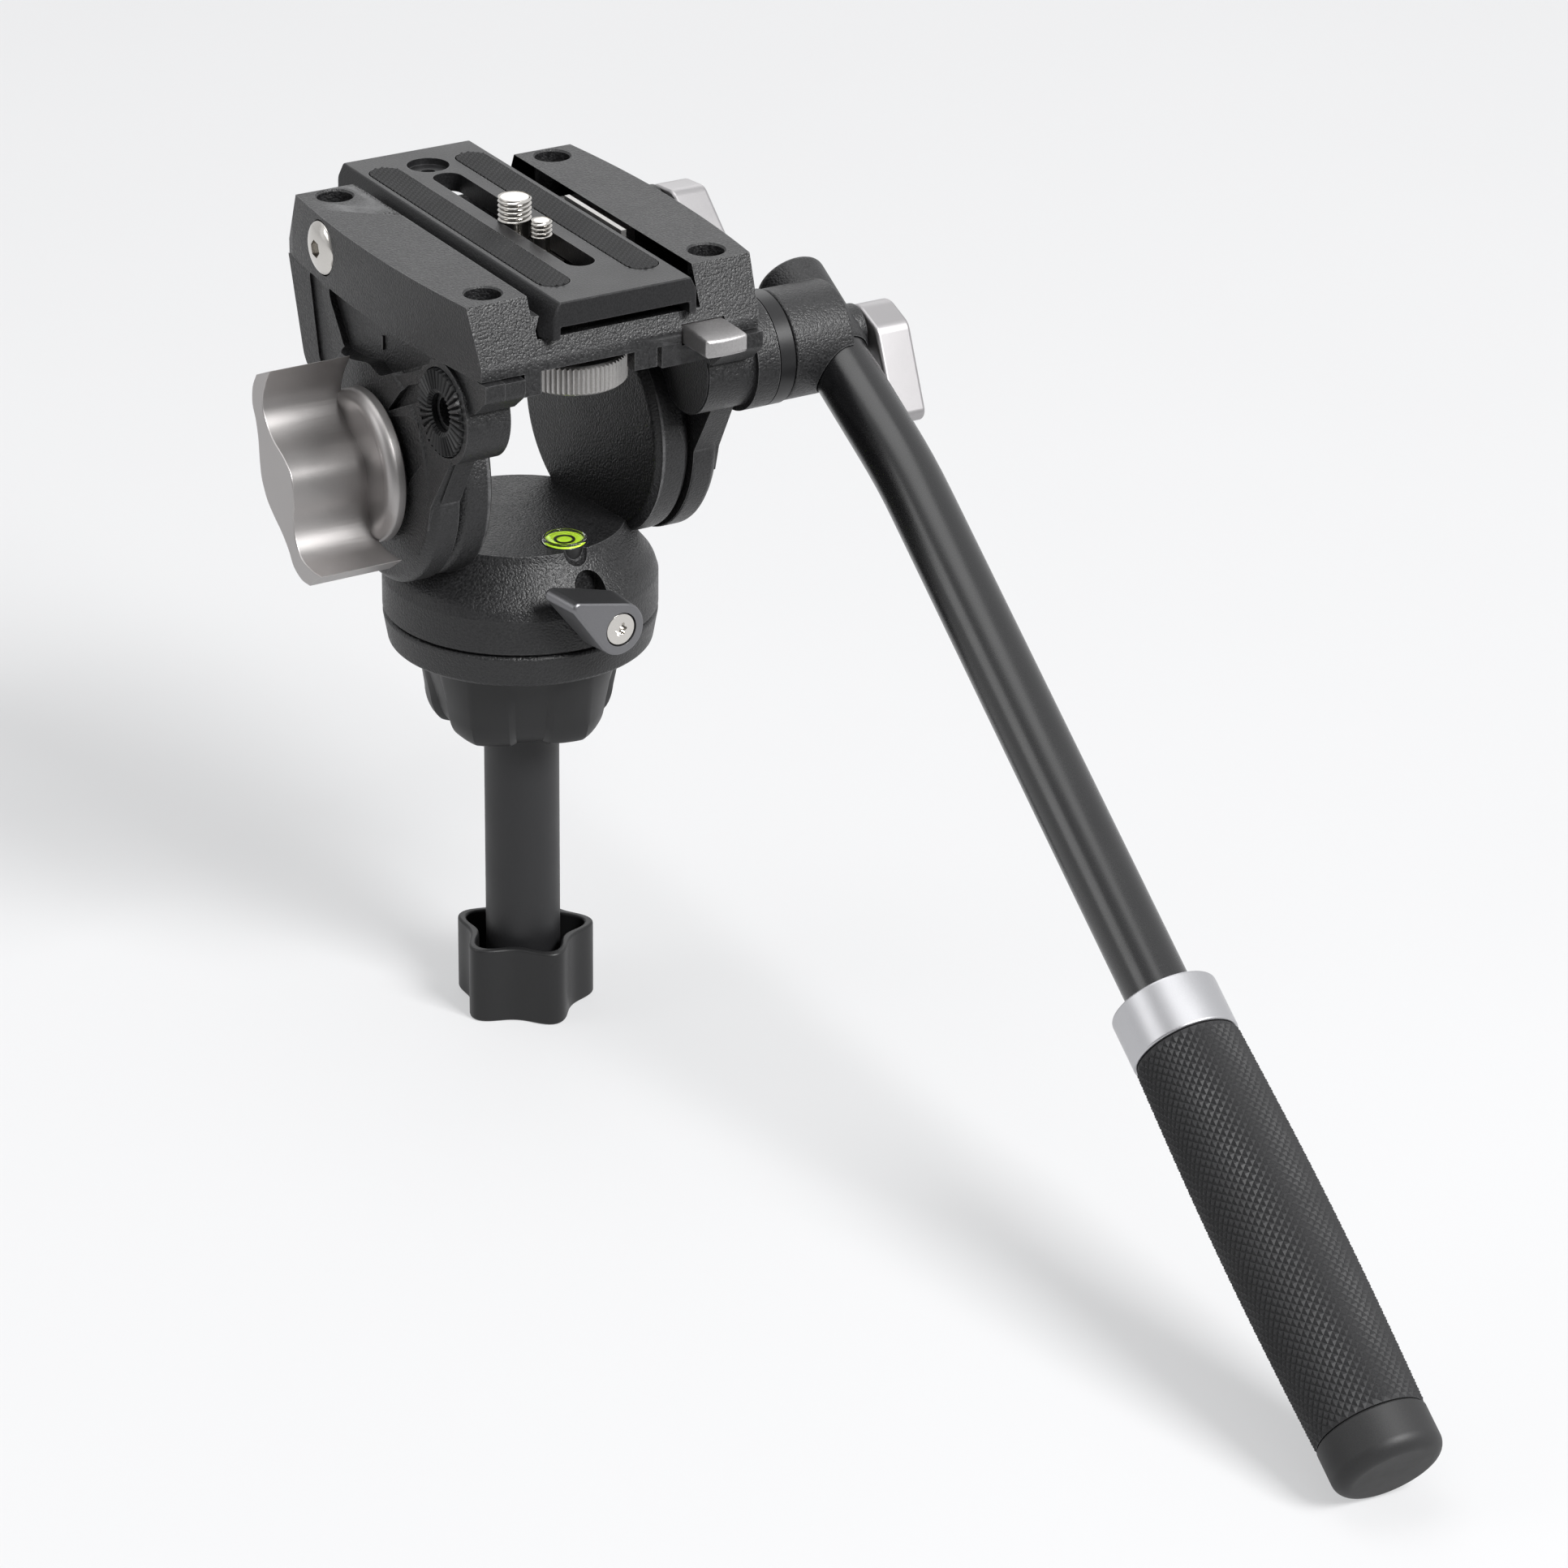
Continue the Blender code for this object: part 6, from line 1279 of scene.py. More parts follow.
@dataclass
class Cheeks:
    """Two cheeks that hang from the platform and turn on the ears, with their rosettes."""

    axis_z: float = 176.5
    inner: float = 36.5
    outer: float = 42.5
    face: float = 45.1
    disc_radius: float = 34.0
    chamfer: float = 2.2
    top: float = 42.5
    front: float = -60.5
    back: float = 55.5
    waist: Pair = (47.0, 14.0)
    toe: float = 4.6
    flange: float = 6.0
    arm_inner: float = 30.3
    arm_outer: float = 40.5
    boss_radius: float = 14.4
    boss_y: float = -38.0
    boss_rise: float = 27.8
    pocket_depth: float = 2.0
    right_boss: float = 16.0
    right_boss_end: float = 52.0
    ring_low: float = 52.3
    ring_high: float = 57.1
    rosette_radius: float = 12.2
    rosette_bore: float = 5.4
    rosette_low: float = 42.8
    teeth: int = 34
    ear_room: float = 34.0
    bearing_bore: float = 8.3
    left_bore: float = 4.0
    right_bore: float = 4.5
    cap_radius: float = 12.0
    cap_low: float = 42.9
    screw_x: float = 34.2
    screw_ys: Pair = (-43.8, 42.6)
    screw_bore: float = 2.7
    tick: tuple = ((-41.1, 1.3, 208.2), (-40.2, 2.3, 212.2))
    pocket: tuple = ((30.8, 41.2), (30.4, 37.6), (21.7, 25.4), (12.9, 25.8), (2.6, 28.4),
                     (-4.1, 26.6), (-18.9, 33.6), (-31.5, 39.6), (-31.5, 41.2))
    rear_recess: tuple = ((42.8, 41.2), (37.6, 16.8), (32.6, 14.5), (27.6, 21.5), (34.8, 36.5),
                          (34.8, 41.2))
    grain_recess: tuple = ((-4.5, 15.0), (-20.5, 20.9), (-25.2, 21.0), (-29.4, 10.6), (-22.0, 3.2),
                           (-15.5, -5.3), (-13, 0), (-8, 10))
    web_top: tuple = ((2.6, 27.4), (-4.1, 25.6), (-18.9, 32.6), (-27.5, 36.6))
    web_slope: float = 0.08
    wedge_recess: tuple = ((-8.3, 18.0), (-25.8, 26.6), (-25.6, 32.0), (-18.9, 29.0))

    def front_edge(self, inset: float) -> Outline:
        """Return the toe and the arc round the rosette's boss.

        Args:
            inset: Distance from the outer outline.

        Returns:
            The line.
        """
        radius = self.boss_radius - 0.3 - inset
        front, top = self.front + inset, self.top - inset
        start = radians(160)
        bend = (self.boss_y + radius * cos(start) - 3, self.boss_rise + radius * sin(start))
        edge = eased([(front, top), (front, top - self.toe), bend], 1.6, 4, closed=False)
        return edge + arc((self.boss_y, self.boss_rise), radius, 160, 248, 20)

    def outline(self) -> Outline:
        """Return a cheek's side view round the tilt axis.

        Returns:
            The outline.
        """
        radius = self.disc_radius - 0.3
        touch = degrees(atan2(self.waist[1], self.waist[0]) - acos(radius / hypot(*self.waist)))
        return (self.front_edge(0) + arc((0, 0), radius, 182, touch + 360, 48)
                + eased([(radius * 0.8, 0), self.waist, (self.back, self.top)], 3, 4,
                        closed=False)[1:])

    def arm(self) -> Outline:
        """Return the side view of the thick upper part.

        Returns:
            The outline.
        """
        inset = 0.3
        top = self.top - inset
        flange = top - self.flange
        behind = arc((self.boss_y, self.boss_rise), self.boss_radius - 0.3 - inset, 256, 290, 10)
        back = self.back - inset
        slope = (self.back - self.waist[0]) / (self.top + 0.3 - self.waist[1])
        return self.front_edge(inset) + behind + [
            (self.boss_y + self.boss_radius, flange), (back - slope * self.flange - inset, flange),
            (back, top)]

    def web(self, side: int) -> Piece:
        """Build the raised web from the disc to the boss, falling gently towards the boss.

        Args:
            side: -1 for the left, 1 for the right.

        Returns:
            The web.
        """
        radius = self.boss_radius - 0.8
        shape = (list(self.web_top) + arc((self.boss_y, self.boss_rise), radius, 100, 248, 24)
                 + [(-33.0, -1.2), (-31.0, -9.0), (-10, 0), (2.6, 15)])
        web = prism(shape, side * (self.outer - 0.6), side * (self.face - 0.05),
                    Turn.RIGHT.at(z=self.axis_z))

        def falling(spot: Vector) -> Vector:
            """Lower the face away from the disc.

            Args:
                spot: Its place in millimetres.

            Returns:
                Its new place.
            """
            away = -0.807 * spot.y + 0.59 * (spot.z - self.axis_z) - 30
            if abs(spot.x) < self.outer or away < 0:
                return spot
            return spot - Vector((side * away * self.web_slope, 0, 0))

        return moved(web, falling)

    def cheek(self, side: int) -> Piece:
        """Build one cheek.

        Args:
            side: -1 for the left, 1 for the right.

        Returns:
            The cheek, with its pockets and holes.
        """
        place = Turn.RIGHT.at(z=self.axis_z)
        piece = prism(self.outline(), side * self.inner, side * self.outer, place)
        arm = prism(self.arm(), side * self.arm_inner, side * self.arm_outer, place)
        boss = Turn.RIGHT.at(y=self.boss_y, z=self.axis_z + self.boss_rise)
        end = self.face - 1.3 if side < 0 else self.right_boss_end - 2
        ends = sorted((side * (self.arm_inner + 0.3), side * end))
        combine(arm, rod(self.boss_radius, *ends, boss, 96), Cut.ADD)
        if side > 0:
            combine(arm, rod(self.right_boss, self.face, self.right_boss_end, boss, 96), Cut.ADD)
        ends = sorted((side * (self.arm_inner - 2), side * (self.inner + 2)))
        combine(arm, rod(self.ear_room, *ends, place, 96))
        combine(piece, arm, Cut.ADD)
        profile = [(0, self.face), (self.disc_radius - self.chamfer, self.face),
                   (self.disc_radius, self.face - self.chamfer), (self.disc_radius, self.inner),
                   (0, self.inner)]
        profile = eased(profile, 0.8, 3, closed=False)
        combine(piece, lathe([(r, side * x) for r, x in profile], place, 120), Cut.ADD)
        combine(piece, self.web(side), Cut.ADD)
        ends = sorted((side * (self.outer - self.pocket_depth), side * (self.outer + 3)))
        combine(piece, prism(eased(self.pocket, 2.0, 4), *ends, place))
        ends = sorted((side * (self.outer - 0.8), side * (self.outer + 0.05)))
        combine(piece, prism(eased(self.rear_recess, 1.5, 3), *ends, place))
        if side < 0:
            combine(piece, prism(eased(self.grain_recess, 1.6, 4), -46, -(self.face - 0.8), place))
            combine(piece, prism(eased(self.wedge_recess, 0.8, 3), -46, -(self.face - 2.0), place))
        ends = sorted((side * (self.inner - 2), side * (self.face + 2)))
        combine(piece, rod(self.bearing_bore, *ends, place))
        if side < 0:
            seat = -(self.face - 2.6)
            combine(piece, rod(self.rosette_radius + 0.3, seat - 4, seat, boss, 72))
            combine(piece, rod(self.left_bore, seat - 4, seat + 6, boss))
        else:
            combine(piece, rod(self.right_bore, 41.0, 54.0, boss))
            combine(piece, rod(self.cap_radius + 0.3, self.face - 2.2, self.face + 2, place, 72))
        for y in self.screw_ys:
            combine(piece, rod(self.screw_bore, 212.3, 222,
                               Turn.UP.at(x=side * self.screw_x, y=y)))
        return bevelled(piece, 0.7, 3, 34)

    def rosette(self, side: int, radius: float, low: float, high: float, rim: float = 0) -> Piece:
        """Build a ring with radial teeth on its outer face.

        Args:
            side: -1 for the left, 1 for the right.
            radius: Outer radius.
            low: Distance of its back from the middle.
            high: Distance of its teeth's tips.
            rim: Width of the plain rim round the teeth.

        Returns:
            The toothed ring.
        """
        plain = [(radius - 0.3, side * high), (radius - rim, side * high)] if rim else []
        ring = lathe([(self.rosette_bore, side * low), (radius, side * low),
                      (radius, side * (high - (0.3 if rim else 1.4)))] + plain
                     + [(radius - rim - 0.35, side * high),
                        (self.rosette_bore + 1.2, side * high),
                        (self.rosette_bore, side * (high - 0.9)),
                        (self.rosette_bore, side * low)], Turn.UP.at(), self.teeth * 4)

        def toothed(spot: Vector) -> Vector:
            """Sink every second pair of columns.

            Args:
                spot: Its place in millimetres.

            Returns:
                Its new place.
            """
            if abs(spot.z) < high - 1.0 or hypot(spot.x, spot.y) > radius - rim - 0.2:
                return spot
            step = atan2(spot.y, spot.x) / (2 * pi) * self.teeth * 4
            away = (0, 0.3, 1, 0.3)[round(step) % 4]
            reach = hypot(spot.x, spot.y) / radius
            return Vector((spot.x, spot.y, spot.z - side * away * 1.3 * reach))

        place = Turn.RIGHT.at(y=self.boss_y, z=self.axis_z + self.boss_rise)
        return set_at(moved(ring, toothed), place)

    def build(self) -> None:
        """Build both cheeks and their rosettes."""
        for side, word in ((-1, "left"), (1, "right")):
            finished(self.cheek(side), word + "_cheek_casting", "tilt_cradle", SAND_PAINT,
                     word + "_cheek")
        left = self.rosette(-1, self.rosette_radius, self.rosette_low, self.face)
        finished(left, "left_rosette_teeth", "tilt_cradle", SATIN_PAINT, "left_rosette", smooth=20)
        right = self.rosette(1, self.right_boss, self.ring_low, self.ring_high, 1.6)
        finished(right, "right_rosette_teeth", "tilt_cradle", SATIN_PAINT, "right_rosette",
                 smooth=20)
        place = Turn.RIGHT.at(z=self.axis_z)
        grain = prism(eased(self.grain_recess, 1.4, 4), -(self.face - 0.35), -(self.face - 0.9),
                      place)
        finished(bevelled(grain, 0.12, 2), "leather_grain_panel", "tilt_cradle", LEATHER_PAINT)
        finished(bevelled(block(*self.tick), 0.2, 2), "index_tick", "tilt_cradle", SATIN_PAINT)
        disc = [(0, self.face), (self.cap_radius, self.face), (self.cap_radius, self.cap_low),
                (0, self.cap_low)]
        cover = lathe(eased(disc, 0.5, 3, closed=False), place, 72)
        finished(cover, "pivot_cap", "tilt_cradle", PLASTIC, "pivot_cover")


@dataclass
class Platform:
    """Platform with its rails, the channel between them, and the screws sunk in it."""

    low: float = 219.3
    high: float = 238.5
    end_half: float = 42.4
    middle_half: float = 46.4
    front_lip: float = -58.0
    front_top: float = -51.5
    back_top: float = 48.5
    back_lip: float = 55.0
    lip: float = 4.2
    channel_half: float = 25.2
    channel_z: float = 227.6
    lip_z: float = 233.5
    tooth_z: float = 233.2
    tooth: float = 22.7
    root: float = 24.65
    foot_z: float = 229.9
    hole_x: float = 34.2
    hole_ys: Pair = (-43.8, 42.6)
    hole_radius: float = 5.0
    hole_floor: float = 224.5
    side_screw_y: float = 29.2
    side_screw_z: float = 229.5
    side_screw_radius: float = 7.6
    side_screw_dome: float = 3.0
    side_shank: float = 3.0
    side_key: float = 2.6
    rail_key: float = 2.3
    rail_bore: float = 2.7
    rail_head_low: float = 224.8
    rail_head_high: float = 228.8
    rail_head_radius: float = 4.6
    rail_shank: float = 2.4
    rail_end: float = 212.6
    catch_room: Triple = (2.1, 216, 229)
    catch_at: Pair = (15.0, -2.0)
    wheel_room: Triple = (3.5, 216, 225.8)
    wheel_at: Pair = (-4.0, -38.0)
    lock_room: Triple = (3.3, 25.2, 50)
    lock_at: Pair = (14.0, 229.1)
    blocks: tuple = (((-29.4, -20.0, 212.7), (29.4, 45.0, 221.0)),
                     ((-29.4, -58.0, 212.7), (-24.4, -44.0, 221.0)),
                     ((4.0, -58.0, 213.9), (11.0, -54.0, 221.0)),
                     ((12.4, -58.0, 213.1), (29.4, -40.0, 221.0)))
    rooms: tuple = (((18.5, -62.0, 218.4), (31.9, -43.5, 224.4)),
                    ((23.2, -12.3, 229.9), (32.0, 20.3, 235.7)))

    def half_at(self, y: float) -> float:
        """Return the half width of the bowed plan at a place along it."""
        share = (y - self.front_lip) / (self.back_lip - self.front_lip)
        return self.end_half + (self.middle_half - self.end_half) * (1 - (2 * share - 1) ** 2)

    def build(self) -> None:
        """Build the platform and its screws."""
        steps = [self.front_lip + (self.back_lip - self.front_lip) * i / 32 for i in range(33)]
        plan = [(self.half_at(y), y) for y in steps]
        plan += [(-self.half_at(y), y) for y in reversed(steps)]
        body = prism(plan, self.low, self.high, Turn.UP.at())
        side = [(self.front_lip, self.low - 1), (self.front_lip, self.low + self.lip),
                (self.front_top, self.high), (self.back_top, self.high),
                (self.back_lip, self.low + self.lip), (self.back_lip, self.low - 1)]
        combine(body, prism(side, -60, 60, Turn.RIGHT.at()), Cut.KEEP)
        over = self.high + 4
        channel = [(self.channel_half, over), (-self.channel_half, over),
                   (-self.channel_half, self.lip_z),
                   (-self.tooth, self.tooth_z), (-self.root, self.foot_z),
                   (-self.root, self.channel_z), (self.channel_half, self.channel_z)]
        combine(body, prism(channel, -70, 70, Turn.FRONT.at()))
        for corners in self.blocks:
            combine(body, block(*corners), Cut.ADD)
        for corners in self.rooms:
            combine(body, block(*corners))
        bevelled(body, 0.6, 3, 24)
        for x in (-self.hole_x, self.hole_x):
            for y in self.hole_ys:
                tool = lathe([(0, self.high + 1), (self.hole_radius + 0.7, self.high + 1),
                              (self.hole_radius + 0.5, self.high),
                              (self.hole_radius, self.high - 0.5),
                              (self.hole_radius, self.hole_floor),
                              (self.rail_bore, self.hole_floor), (self.rail_bore, self.low - 1),
                              (0, self.low - 1)], Turn.UP.at(x=x, y=y), 64)
                combine(body, tool)
        seat = -self.half_at(self.side_screw_y) + 1.2
        combine(body, rod(self.side_screw_radius + 0.3, seat - 5, seat,
                          Turn.RIGHT.at(y=self.side_screw_y, z=self.side_screw_z), 72))
        spindles = (rod(*self.catch_room, Turn.UP.at(*self.catch_at)),
                    rod(*self.wheel_room, Turn.UP.at(*self.wheel_at)),
                    rod(*self.lock_room, Turn.RIGHT.at(0, *self.lock_at)))
        for spindle in spindles:
            combine(body, spindle)
        finished(body, "rail_platform", "tilt_cradle", SAND_PAINT, "platform", smooth=28)
        self.rail_screws()
        self.side_screw(seat - 0.3)

    def rail_screws(self) -> None:
        """Build the four sunk screws: one is modelled, the others are copied."""
        low, high, radius = self.rail_head_low, self.rail_head_high, self.rail_head_radius
        profile = eased([(0, high), (radius, high), (radius, low), (self.rail_shank, low),
                         (self.rail_shank, self.rail_end), (0, self.rail_end)], 0.35, 2,
                        closed=False)
        first = lathe(profile, Turn.UP.at(), 48)
        hexagon = arc((0, 0), self.rail_key, 0, 300, 6)
        combine(first, prism(hexagon, high - 2, high + 1, Turn.UP.at()))
        for x, side in ((-self.hole_x, "left"), (self.hole_x, "right")):
            for y, end in zip(self.hole_ys, ("front", "rear")):
                copy = first.copy()
                copy.data = first.data.copy()
                bpy.context.scene.collection.objects.link(copy)
                set_at(copy, Turn.UP.at(x=x, y=y))
                name = f"rail_screw_{end}_{side}"
                finished(copy, name + "_head", "tilt_cradle", DARK_STEEL, name)
        bpy.data.objects.remove(first, do_unlink=True)

    def side_screw(self, seat: float) -> None:
        """Build the domed screw in the side of the left rail.

        Args:
            seat: X of the face that it sits on.
        """
        radius, dome, shank = self.side_screw_radius, self.side_screw_dome, self.side_shank
        crown = [(radius * cos(radians(a)), 0.8 + (dome - 0.8) * sin(radians(a)))
                 for a in range(0, 90, 8)]
        profile = [(0, -4.0), (shank, -4.0), (shank, 0), (radius - 0.3, 0), (radius, 0.3)] + crown
        profile.append((0, dome))
        place = Turn.RIGHT.at(x=seat, y=self.side_screw_y, z=self.side_screw_z)
        screw = lathe([(r, -x) for r, x in profile], place, 72)
        hexagon = spun(arc((0, 0), self.side_key, 0, 300, 6), 12)
        combine(screw, prism(hexagon, -dome - 1, -dome + 2.2, place))
        finished(screw, "side_screw_dome", "tilt_cradle", STEEL, "side_screw")


@dataclass
class SmallLever:
    """Rounded clamping lever on a hub, used on the rail and on the pan bar's clamp."""

    hub: float = 6.4
    heel: Triple = (-6.6, -0.6, 4.6)
    tip: Triple = (-16.4, -20.4, 3.2)
    width: float = 11.0
    bore: float = 3.1

    def build(self, place: Matrix, angle: float) -> Piece:
        """Build the lever from local Z 0 outwards.

        Args:
            place: Placement of its hub.
            angle: Turn about the hub.

        Returns:
            The lever.
        """
        shape = spun(wrapped([(0, 0, self.hub), self.heel, self.tip], 14), angle)
        lever = prism(shape, 0, self.width, place)
        bevelled(lever, 1.1, 4, 40)
        return combine(lever, rod(self.bore, -1, self.width - 2.8, place, 32))


@dataclass
class PlateLock:
    """Lever, collar and jaw that clamp the camera plate."""

    y: float = 14.0
    z: float = 229.1
    turn: float = -26.0
    lever_x: float = 52.1
    collar_low: float = 46.4
    collar_high: float = 51.8
    collar_radius: float = 6.6
    collar_bore: float = 3.1
    strip_low: Triple = (22.15, -18.5, 234.4)
    strip_high: Triple = (23.7, 13.5, 237.9)

    def build(self) -> None:
        """Build the lever, its collar and the jaw with the strip beside the plate."""
        lever = SmallLever().build(Turn.RIGHT.at(x=self.lever_x, y=self.y, z=self.z), self.turn)
        finished(lever, "plate_lock_handle", "plate_lock", LEVER_METAL, "plate_lock_lever")
        collar = lathe(ring_profile(self.collar_radius, self.collar_bore, self.collar_low,
                                    self.collar_high, 0.6), Turn.RIGHT.at(y=self.y, z=self.z), 64)
        finished(collar, "plate_lock_sleeve", "plate_lock", PLASTIC, "plate_lock_collar")
        jaw = copy_of("clamp_jaw")
        combine(jaw, block(self.strip_low, self.strip_high), Cut.ADD)
        finished(bevelled(jaw, 0.25), "clamp_jaw_dressed", body_of("clamp_jaw"), BLASTED,
                 "clamp_jaw")


@dataclass
class Safety:
    """Safety button at the front lip."""

    low: Triple = (18.8, -71.5, 218.7)
    high: Triple = (31.6, -47.5, 224.1)

    def build(self) -> None:
        """Build the button, with its top drawn in a little towards the front."""
        button = block(self.low, self.high)
        edit(button)
        bpy.ops.mesh.subdivide(number_cuts=5)
        put_down()

        def drawn(spot: Vector) -> Vector:
            """Round the front end in plan and dish its top slightly.

            Args:
                spot: Its place in millimetres.

            Returns:
                Its new place.
            """
            middle = (self.low[0] + self.high[0]) / 2
            across = (spot.x - middle) / ((self.high[0] - self.low[0]) / 2)
            front = max(0, (self.low[1] + 6 - spot.y) / 6)
            lower = 0.5 * front * (spot.z - self.low[2]) / (self.high[2] - self.low[2])
            return Vector((spot.x, spot.y + 0.7 * across * across * front, spot.z - lower * 0.6))

        moved(button, drawn)
        bevelled(button, 0.9, 4, 50)
        finished(button, "safety_button_cap", "button", BUTTON_METAL, "safety_button", smooth=40)


@dataclass
class Thumbwheel:
    """Knurled wheel under the front of the platform."""

    x: float = -4.0
    y: float = -38.0
    low: float = 206.9
    high: float = 215.3
    radius: float = 15.0
    ridge: float = 0.62
    ridges: int = 64
    bore: float = 3.3

    def build(self) -> None:
        """Build the wheel: toothed rim, eased edges and a bore for its spindle."""
        steps = self.ridges * 4
        points = []
        for i in range(steps):
            depth = (0, 0.35, 1, 0.35)[i % 4] * self.ridge
            turn = 2 * pi * i / steps
            points.append(((self.radius - depth) * cos(turn), (self.radius - depth) * sin(turn)))
        place = Turn.UP.at(x=self.x, y=self.y)
        wheel = prism(points, self.low, self.high, place)
        trim = lathe([(0, self.high), (self.radius - 1.0, self.high),
                      (self.radius + 0.1, self.high - 0.9),
                      (self.radius + 0.1, self.low + 0.9), (self.radius - 1.0, self.low),
                      (0, self.low)], place, 96)
        combine(wheel, trim, Cut.KEEP)
        combine(wheel, rod(self.bore, (self.low + self.high) / 2, self.high + 1, place, 32))
        finished(wheel, "knurled_wheel", "wheel", BLASTED, "thumbwheel", smooth=25)


@dataclass
class DragKnob:
    """Winged knob that sets the tilt drag."""

    axis_z: float = 176.5
    back: float = 46.1
    flange_radius: float = 21.7
    rim: float = 51.1
    dish_radius: float = 18.6
    wing_low: float = 49.6
    wing_high: float = 74.6
    half: float = 29.6
    turn: float = 60.0
    draft: float = 4.6
    bore: float = 4.3
    upper: tuple = ((0.97, 0.43), (0.88, 0.26), (0.74, 0.10), (0.56, 0.07), (0.38, 0.13),
                    (0.22, 0.24), (0.10, 0.30), (0, 0.32))
    lower: tuple = ((0, -0.34), (0.12, -0.33), (0.28, -0.27), (0.45, -0.19), (0.62, -0.14),
                    (0.78, -0.12), (0.92, -0.02), (1.0, 0.12))

    def wing(self) -> Outline:
        """Return the wing's smooth outline round the axis.

        Returns:
            The outline.
        """
        upper = list(self.upper) + [(-u, v) for u, v in reversed(self.upper[:-1])]
        lower = [(-u, v) for u, v in reversed(self.lower)] + list(self.lower[1:])
        points = flowing(upper, 4) + flowing(lower, 4)
        return spun([(u * self.half, v * self.half) for u, v in points], self.turn)

    def drafted(self, spot: Vector) -> Vector:
        """Scoop the wing's near side towards the flange, most in the middle.

        Args:
            spot: Its place in millimetres.

        Returns:
            Its new place.
        """
        if spot.x < -60:
            return spot
        turn = radians(self.turn)
        along = spot.y * cos(turn) + (spot.z - self.axis_z) * sin(turn)
        across = -spot.y * sin(turn) + (spot.z - self.axis_z) * cos(turn)
        if across < 0:
            return spot
        drop = self.draft * max(0, 1 - (along / self.half) ** 2)
        return spot + Vector((0, drop * sin(turn), -drop * cos(turn)))

    def build(self) -> None:
        """Turn the flange and the hub, add the wing and round it all."""
        place = Turn.RIGHT.at(z=self.axis_z)
        hub = ([(0, self.rim - 0.9), (self.dish_radius - 4, self.rim - 0.9),
                (self.dish_radius - 2, self.rim - 0.5), (self.dish_radius - 0.6, self.rim)]
               + arc((self.flange_radius - 3.0, self.rim - 3.0), 3.0, 84, 6, 9)
               + [(self.flange_radius, self.back + 0.5), (self.flange_radius - 0.5, self.back),
                  (0, self.back)])
        knob = lathe([(r, -x) for r, x in hub], place, 144)
        wing = prism(self.wing(), -self.wing_high, -self.wing_low, place)
        moved(wing, self.drafted)
        bevelled(wing, 1.0, 4, 40)
        combine(knob, wing, Cut.ADD)
        combine(knob, rod(self.bore, -self.rim + 1.1, -self.back + 2, place))
        finished(knob, "winged_drag_knob", "drag", KNOB_METAL, "drag_knob", smooth=28)


